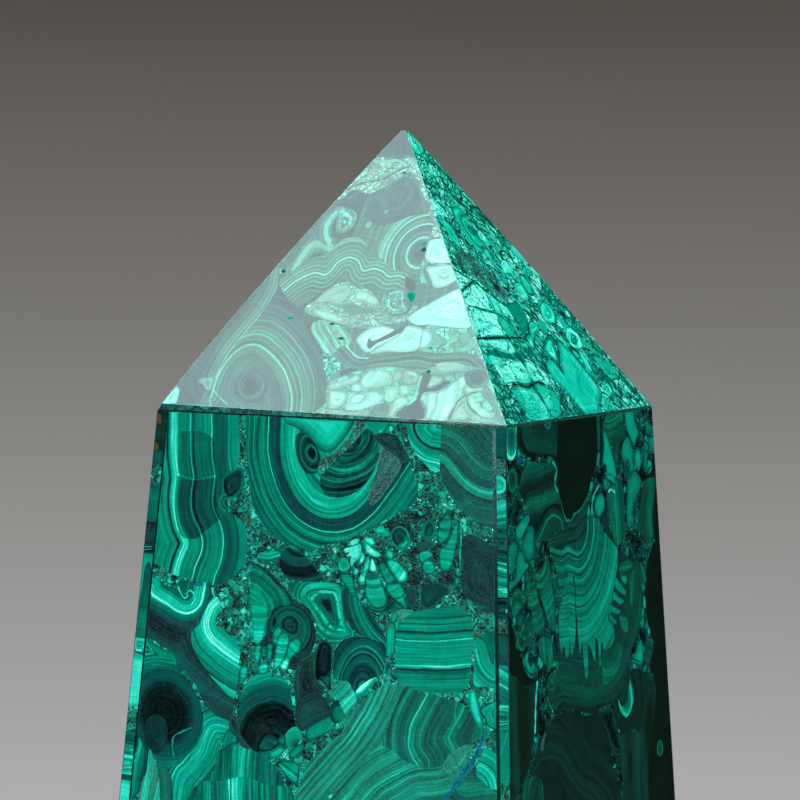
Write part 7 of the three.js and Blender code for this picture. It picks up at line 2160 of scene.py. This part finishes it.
# Crushed stone: how fine its chips are, how much of it they take up, its tone and how speckled it is
GROUNDS = {
    "ground": {"chip_scale": 0.9, "chips": 0.4, "base": 0.35, "speckle": 0.5},
    "dark_ground": {"chip_scale": 0.6, "chips": 0.25, "base": 0.2, "speckle": 0.12, "grey": 0.0},
    "gravel": {"chip_scale": 1.3, "chips": 0.3, "base": 0.4, "speckle": 0.5, "grey": 0.3},
    "dark_gravel": {"chip_scale": 1.3, "chips": 0.2, "base": 0.26, "speckle": 0.4, "grey": 0.12},
    "granite": {"chip_scale": 2.6, "chips": 0.1, "base": 0.33, "speckle": 0.3, "grey": 0.35},
    "pale_ground": {"chip_scale": 0.8, "chips": 0.5, "base": 0.66, "speckle": 0.3},
    "cap_rubble": {"chip_scale": 1.1, "chips": 0.5, "base": 0.5, "speckle": 0.5},
    "granular": {"chip_scale": 1.4, "chips": 0.1, "base": 0.44, "speckle": 0.3, "grey": 0.25},
}

# Cracked stone: how fine its cells are, how wide its veins, and the tones of both
CRACKED = {
    "cracked": {"cell_scale": 0.16, "vein_width": 0.9, "pale": 0.76, "dark": 0.35},
    "skirt": {"cell_scale": 0.5, "vein_width": 0.5, "pale": 0.44, "dark": 0.14},
    # The cap's arris facets: a pale, whitened, dull look, a painted highlight line along each arris, over the
    # stone's crack net.
    "cap_arris_stone_and_highlight": {"cell_scale": 0.8, "vein_width": 0.3, "pale": 0.78, "dark": 0.4, "white_and_sheen": 0.3, "gloss": 0.6},
    # On the cap's front slope the whitening of these looks is paler stone and partly a painted reflection
    # veil.
    "cap_ragged": {
        "cell_scale": 0.9, "vein_width": 0.6, "pale": 0.86, "dark": 0.36, "lines": 0.2, "white_and_sheen": 0.24,
    },
    "cap_net": {"cell_scale": 0.42, "vein_width": 0.3, "pale": 0.82, "dark": 0.36, "white_and_sheen": 0.1},
    "panel": {
        "cell_scale": 0.19, "vein_width": 0.28, "pale": 0.9, "dark": 0.26, "lines": 0.14, "spread": 0.14,
        "rim": -0.4,
    },
    "small_net": {
        "cell_scale": 0.42, "vein_width": 0.6, "pale": 0.84, "dark": 0.14, "spread": 0.24, "rings": 0.07,
    },
    "flow_net": {
        "cell_scale": 0.42, "vein_width": 0.55, "pale": 0.84, "dark": 0.14, "spread": 0.24, "rings": 0.07,
        "flow": True,
    },
    "dark_net": {"cell_scale": 0.5, "vein_width": 0.75, "pale": 0.74, "dark": 0.18, "rings": 0.07},
}

# Glue lines: colours along one axis, and where on it they start and end, in metres
RESIN_GREEN = "0a2422"
RESINS = {
    "side_resin": {
        "shades": [(0, RESIN_GREEN), (0.3, "12302e"), (0.45, "2c5256"), (0.6, "16383a"), (0.75, "527a80"),
                   (0.9, "2a4e54"), (1, "527a80")],
        "axis": "Z", "low": 0.28, "high": 0.318,
    },
    "dark_resin": {
        "shades": [(0, "04100f"), (0.6, RESIN_GREEN), (0.75, "2f5a56"), (1, RESIN_GREEN)],
        "axis": "Z", "low": 0.1, "high": 0.5,
    },
    "bed_resin_and_highlight": {
        # The pale pinkish stop near the right end is a painted highlight along the bed joint; the other stops
        # are the resin's colour.
        "shades": [(0, RESIN_GREEN), (0.8, RESIN_GREEN), (0.86, "8e8078"), (0.9, RESIN_GREEN), (1, "2a4a48")],
        "axis": "X", "low": -0.035, "high": 0.035,
    },
}
CAP_WHITE_AND_SHEEN = 0.12  # how much the cap's banded looks are whitened: paler stone, and partly a painted reflection, the veil of the softbox that the front slope mirrors


def stone_materials():
    quarry = Quarry()
    for name, values in GROUNDS.items():
        quarry.ground(name, **values)
    for name, values in CRACKED.items():
        quarry.cracked(name, **values)
    for name, values in LOOKS.items():
        # The cap's front looks are whitened: paler stone, and partly a painted reflection veil.
        quarry.banded(name, **{"white_and_sheen": CAP_WHITE_AND_SHEEN if name.startswith("cap_") else 0.0, **values})
    for name, values in RESINS.items():
        quarry.resin(name, **values)
    return quarry.materials


# The pieces


def mosaic(side, looks, spacing, seed, top=0):
    """Loose fragments over one face of the shaft, from some way below the shoulder down to the foot."""
    low, high = -BASE, BASE
    region = [Vector(p) for p in ((low, 0), (high, 0), (high, SHAFT_HEIGHT), (low, SHAFT_HEIGHT))]
    return loose_stones(region, spacing, looks, random.Random(seed), lambda p: p.y > top)


def shaft_block(materials):
    looks, bm = Looks(), new_bmesh()
    prism(bm, BLOCK_LOW.x, BLOCK_HIGH.x, -BASE, BASE)
    bm.normal_update()
    front, back = (face_towards(bm, SIDE_DIRECTION[side]) for side in ("front", "back"))
    looks.index("ground")
    stones = mosaic("front", BLOCK_LOOKS, BLOCK_SPACING, 3, HAND_LAID_DEPTH) + FRONT
    dress_flat(bm, looks, front, "front", stones, "ground")
    dress_flat(bm, looks, back, "back", mosaic("back", BLOCK_LOOKS, BLOCK_SPACING, 4), "ground")
    piece = new_piece("malachite_shaft", bm, looks, materials)
    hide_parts("shaft_block")


def side_slab(side, materials):
    """A flank slab. Its long outer edges are rounded, and its sawn edges show on the front and back."""
    looks, bm = Looks(), new_bmesh()
    looks.index("edge")
    if side == "left":
        prism(bm, -BASE, -BASE + LEFT_SLAB, -BASE, BASE)
    else:
        prism(bm, BASE - RIGHT_SLAB, BASE, -BASE, BASE)
    out = -1 if side == "left" else 1
    outermost = (SHOULDER - min(LEFT_SLAB, RIGHT_SLAB) / 2) * MM
    upright = [
        e
        for e in bm.edges
        if abs(e.verts[0].co.z - e.verts[1].co.z) > 0.1 and min(out * v.co.x for v in e.verts) > outermost
    ]
    bmesh.ops.bevel(
        bm, geom=upright, offset=ARRIS * MM, segments=2, profile=0.5, affect="EDGES", material=-1
    )
    bm.normal_update()
    flank, front, back = (face_towards(bm, SIDE_DIRECTION[name]) for name in (side, "front", "back"))
    if side == "right":
        stones = mosaic(side, FLANK_LOOKS, FLANK_SPACING, 5, HAND_LAID_DEPTH) + RIGHT
    else:
        stones = mosaic(side, FLANK_LOOKS, FLANK_SPACING, 6)
    front_stones = mosaic("front", BLOCK_LOOKS, EDGE_SPACING, 8) + SLAB_EDGES[side]
    dress_flat(bm, looks, flank, side, stones, "dark_ground")
    dress_flat(bm, looks, front, "front", front_stones, "ground")
    dress_flat(bm, looks, back, "back", mosaic("back", BLOCK_LOOKS, EDGE_SPACING, 9), "ground")
    piece = new_piece("malachite_%s_slab" % side, bm, looks, materials)
    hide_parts(side + "_side_slab")


def cap_solid(bm):
    """The cap without its stones: an eight-sided prism cut into levels, each drawn to its size and place."""
    bmesh.ops.create_cube(bm, size=2)
    upright = [e for e in bm.edges if abs(e.verts[0].co.z - e.verts[1].co.z) > 1]
    bmesh.ops.bevel(
        bm, geom=upright, offset=ARRIS / SHOULDER, segments=1, profile=0.5, affect="EDGES", material=-1
    )
    levels = SLOPE_STEPS + 1
    for level in range(1, levels):
        bmesh.ops.bisect_plane(
            bm, geom=bm.verts[:] + bm.edges[:] + bm.faces[:], plane_co=(0, 0, 2 * level / levels - 1),
            plane_no=(0, 0, 1),
        )
    for v in bm.verts:
        step = round((v.co.z + 1) / 2 * levels) - 1
        half, shift, height = cap_level(step, v.co.x * SHOULDER)
        v.co = Vector((v.co.x * SHOULDER * half + shift, v.co.y * SHOULDER * half, height)) * MM
    bm.normal_update()


def mid_line(side, height):
    """Middle of a slope at a height, along the slope's own level lines."""
    if side in ("left", "right"):
        return 0
    t = min(max((height / MM - BED) / (TIP - BED), 0), 1)
    return TIP_OFFSET * t**TIP_CURVE * MM


def slope_outline(bm, side):
    """The faces of one slope above the steep band, and their outline on the flat and in space."""
    direction = (Vector(SIDE_DIRECTION[side]) + Vector((0, 0, 0.5))).normalized()
    lowest = (BED + SKIRT_RIGHT / 2 + SKIRT_LEFT) * MM
    faces = [f for f in bm.faces if f.normal.dot(direction) > 0.93 and f.calc_center_median().z > lowest]
    axis = SIDE_AXIS[side]
    corners = {v for f in faces for v in f.verts}
    rising = sorted((v for v in corners if v.co[axis] < mid_line(side, v.co.z)), key=lambda v: v.co.z)
    falling = sorted((v for v in corners if v not in rising), key=lambda v: -v.co.z)
    loop = [v.co.copy() for v in rising + falling]
    region = [Vector((c[axis] / MM, c.z / MM - SHAFT_HEIGHT)) for c in loop]
    if area(region) < 0:
        loop, region = loop[::-1], region[::-1]
    return faces, region, loop


def pyramid_cap(materials):
    looks, bm = Looks(), new_bmesh()
    looks.index("skirt")
    cap_solid(bm)
    for face in bm.faces:
        facet = abs(abs(face.normal.x) - abs(face.normal.y)) < 0.1 and abs(face.normal.z) < 0.9
        # Arris facets wear the pale look: a painted highlight line along each arris.
        face.material_index = looks.index("cap_arris_stone_and_highlight") if facet else 0
    sheet = [Vector(p) for p in ((-36, 0), (36, 0), (36, 54), (-36, 54))]
    sides = {"front": CAP_FRONT, "right": CAP_RIGHT, "back": [], "left": []}
    for seed, (side, stones) in enumerate(sides.items()):
        faces, region, corners = slope_outline(bm, side)
        bmesh.ops.delete(bm, geom=faces, context="FACES_ONLY")
        under = loose_stones(sheet, CAP_SPACING, CAP_LOOKS, random.Random(20 + seed), lambda p: True)
        inlay(
            bm, looks, region, corners, under + stones, lambda u, up: cap_point(side, u, up), "pale_ground",
            lambda up: True,
        )
    piece = new_piece("malachite_cap", bm, looks, materials)
    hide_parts("pyramid_cap")


def glue_lines(materials):
    """The resin seams: two upright ones beside the block and a level one under the cap."""
    seams = {
        "left_glue_line": (-BASE + LEFT_SLAB, -BASE + LEFT_SLAB + LEFT_JOINT),
        "right_glue_line": (BASE - RIGHT_SLAB - RIGHT_JOINT, BASE - RIGHT_SLAB),
    }
    for name, (left, right) in seams.items():
        bm = bmesh.new()
        prism(bm, left, right, -BASE + SEAM_HOLLOW, BASE - SEAM_HOLLOW)
        looks = Looks()
        looks.index("dark_resin" if left < 0 else "side_resin")
        new_piece(name, bm, looks, materials)
    bm = bmesh.new()
    reach = SHOULDER - SEAM_HOLLOW
    bmesh.ops.create_cube(bm, size=1)
    for v in bm.verts:
        height = BED if v.co.z > 0 else SHAFT_HEIGHT
        v.co = Vector((math.copysign(reach, v.co.x), math.copysign(reach, v.co.y), height)) * MM
    looks = Looks()
    looks.index("bed_resin_and_highlight")
    new_piece("bed_glue_line", bm, looks, materials)


# The photograph's view: lengths in metres, angles in degrees
VIEW_AZIMUTH = 24.83
VIEW_ELEVATION = 3.55
VIEW_ROLL = 1.03
VIEW_DISTANCE = 0.84
VIEW_TARGET = Vector((-0.00203, 0, SHAFT_HEIGHT * MM + 0.00172))
FOCAL_PIXELS = 4474
PICTURE_PIXELS = 800
SENSOR = 36


def towards(azimuth, elevation):
    """Direction from the obelisk: azimuth 0 is the front, 90 the right flank."""
    azimuth, elevation = math.radians(azimuth), math.radians(elevation)
    flat = math.cos(elevation)
    return Vector((math.sin(azimuth) * flat, -math.cos(azimuth) * flat, math.sin(elevation)))


def add_camera():
    back = towards(VIEW_AZIMUTH, VIEW_ELEVATION)
    data = bpy.data.cameras.new("camera")
    data.sensor_width = SENSOR
    data.lens = FOCAL_PIXELS / PICTURE_PIXELS * SENSOR
    camera = bpy.data.objects.new("camera", data)
    bpy.context.collection.objects.link(camera)
    across = (-back).cross(Vector((0, 0, 1))).normalized()
    upwards = across.cross(-back)
    turned = Matrix.Rotation(math.radians(VIEW_ROLL), 3, back)
    axes = Matrix((turned @ across, turned @ upwards, back)).transposed()
    camera.matrix_world = Matrix.Translation(VIEW_TARGET + back * VIEW_DISTANCE) @ axes.to_4x4()
    bpy.context.scene.camera = camera


LIT = Vector((0, 0, 0.33))  # the point that every lamp looks at

# Each lamp: direction from the obelisk, distance and size in metres, power in watts and colour
LAMPS = {
    "key": ((-0.419, -0.405, 0.813), 1.6, 0.62, 5, "dcfbff"),
    "overhead": ((0.5, 0.12, 0.86), 1.8, 1.1, 38, "ffffff"),
    "front_fill": ((0.15, -1, 0.12), 2.2, 1.0, 41, "ffffff"),
    "flank_fill": ((1, -0.35, 0.3), 2.2, 0.9, 14, "ffffff"),
    "back_fill": ((-0.6, 0.75, 0.3), 2.4, 1.0, 12, "ffffff"),
}


def add_softbox(name, direction, distance, size, power, colour):
    data = bpy.data.lights.new(name, "AREA")
    data.shape = "RECTANGLE"
    data.size = data.size_y = size
    data.energy = power
    data.color = srgb(colour)[:3]
    light = bpy.data.objects.new(name, data)
    bpy.context.collection.objects.link(light)
    light.location = LIT + Vector(direction).normalized() * distance
    light.rotation_euler = (-Vector(direction)).to_track_quat("-Z", "Y").to_euler()


def add_world():
    """A studio that is pale below and dark above, as the picture's backdrop is. The stone mirrors a
    darker room than the camera sees."""
    world = bpy.data.worlds.new("studio")
    bpy.context.scene.world = world
    world.use_nodes = True
    tree = world.node_tree
    direction = node(tree, "TexCoord").outputs["Generated"]
    height = node(tree, "SeparateXYZ", {0: direction}).outputs["Z"]
    share = node(tree, "MapRange", {"Value": height, "From Min": -0.16, "From Max": 0.04}).outputs[0]
    shades = ramp(
        tree,
        share,
        [(0, "aeaeb0"), (0.07, "abaaac"), (0.33, "92918f"), (0.56, "7a7875"), (0.75, "686561"),
         (0.9, "56524d"), (1, "4a453f")],
    )
    seen = node(tree, "LightPath").outputs["Is Camera Ray"]
    strength = node(tree, "MapRange", {"Value": seen, "To Min": 0.03, "To Max": 1}).outputs[0]
    tree.links.new(shades, tree.nodes["Background"].inputs["Color"])
    tree.links.new(strength, tree.nodes["Background"].inputs["Strength"])


def add_floor():
    """A pale round floor that fades out into the studio."""
    bm = bmesh.new()
    bmesh.ops.create_circle(bm, cap_ends=True, segments=96, radius=1.1)
    mesh = bpy.data.meshes.new("floor")
    bm.to_mesh(mesh)
    bm.free()
    floor = bpy.data.objects.new("floor", mesh)
    bpy.context.collection.objects.link(floor)
    material = bpy.data.materials.new("pale_floor")
    material.use_nodes = True
    tree = material.node_tree
    place = node(tree, "TexCoord").outputs["Object"]
    reach = node(tree, "VectorMath", {0: place}, operation="LENGTH").outputs["Value"]
    alpha = node(
        tree,
        "MapRange",
        {"Value": reach, "From Min": 0.35, "From Max": 1.05, "To Min": 1, "To Max": 0},
        interpolation_type="SMOOTHSTEP",
    ).outputs[0]
    shader = tree.nodes["Principled BSDF"]
    tree.links.new(alpha, shader.inputs["Alpha"])
    shader.inputs["Base Color"].default_value = srgb("c4c4c6")
    shader.inputs["Roughness"].default_value = 0.7
    mesh.materials.append(material)


materials = stone_materials()
shaft_block(materials)
side_slab("left", materials)
side_slab("right", materials)
pyramid_cap(materials)
glue_lines(materials)
add_camera()
add_world()
add_floor()
for name, values in LAMPS.items():
    add_softbox(name, *values)
bpy.context.scene.view_settings.view_transform = "Standard"
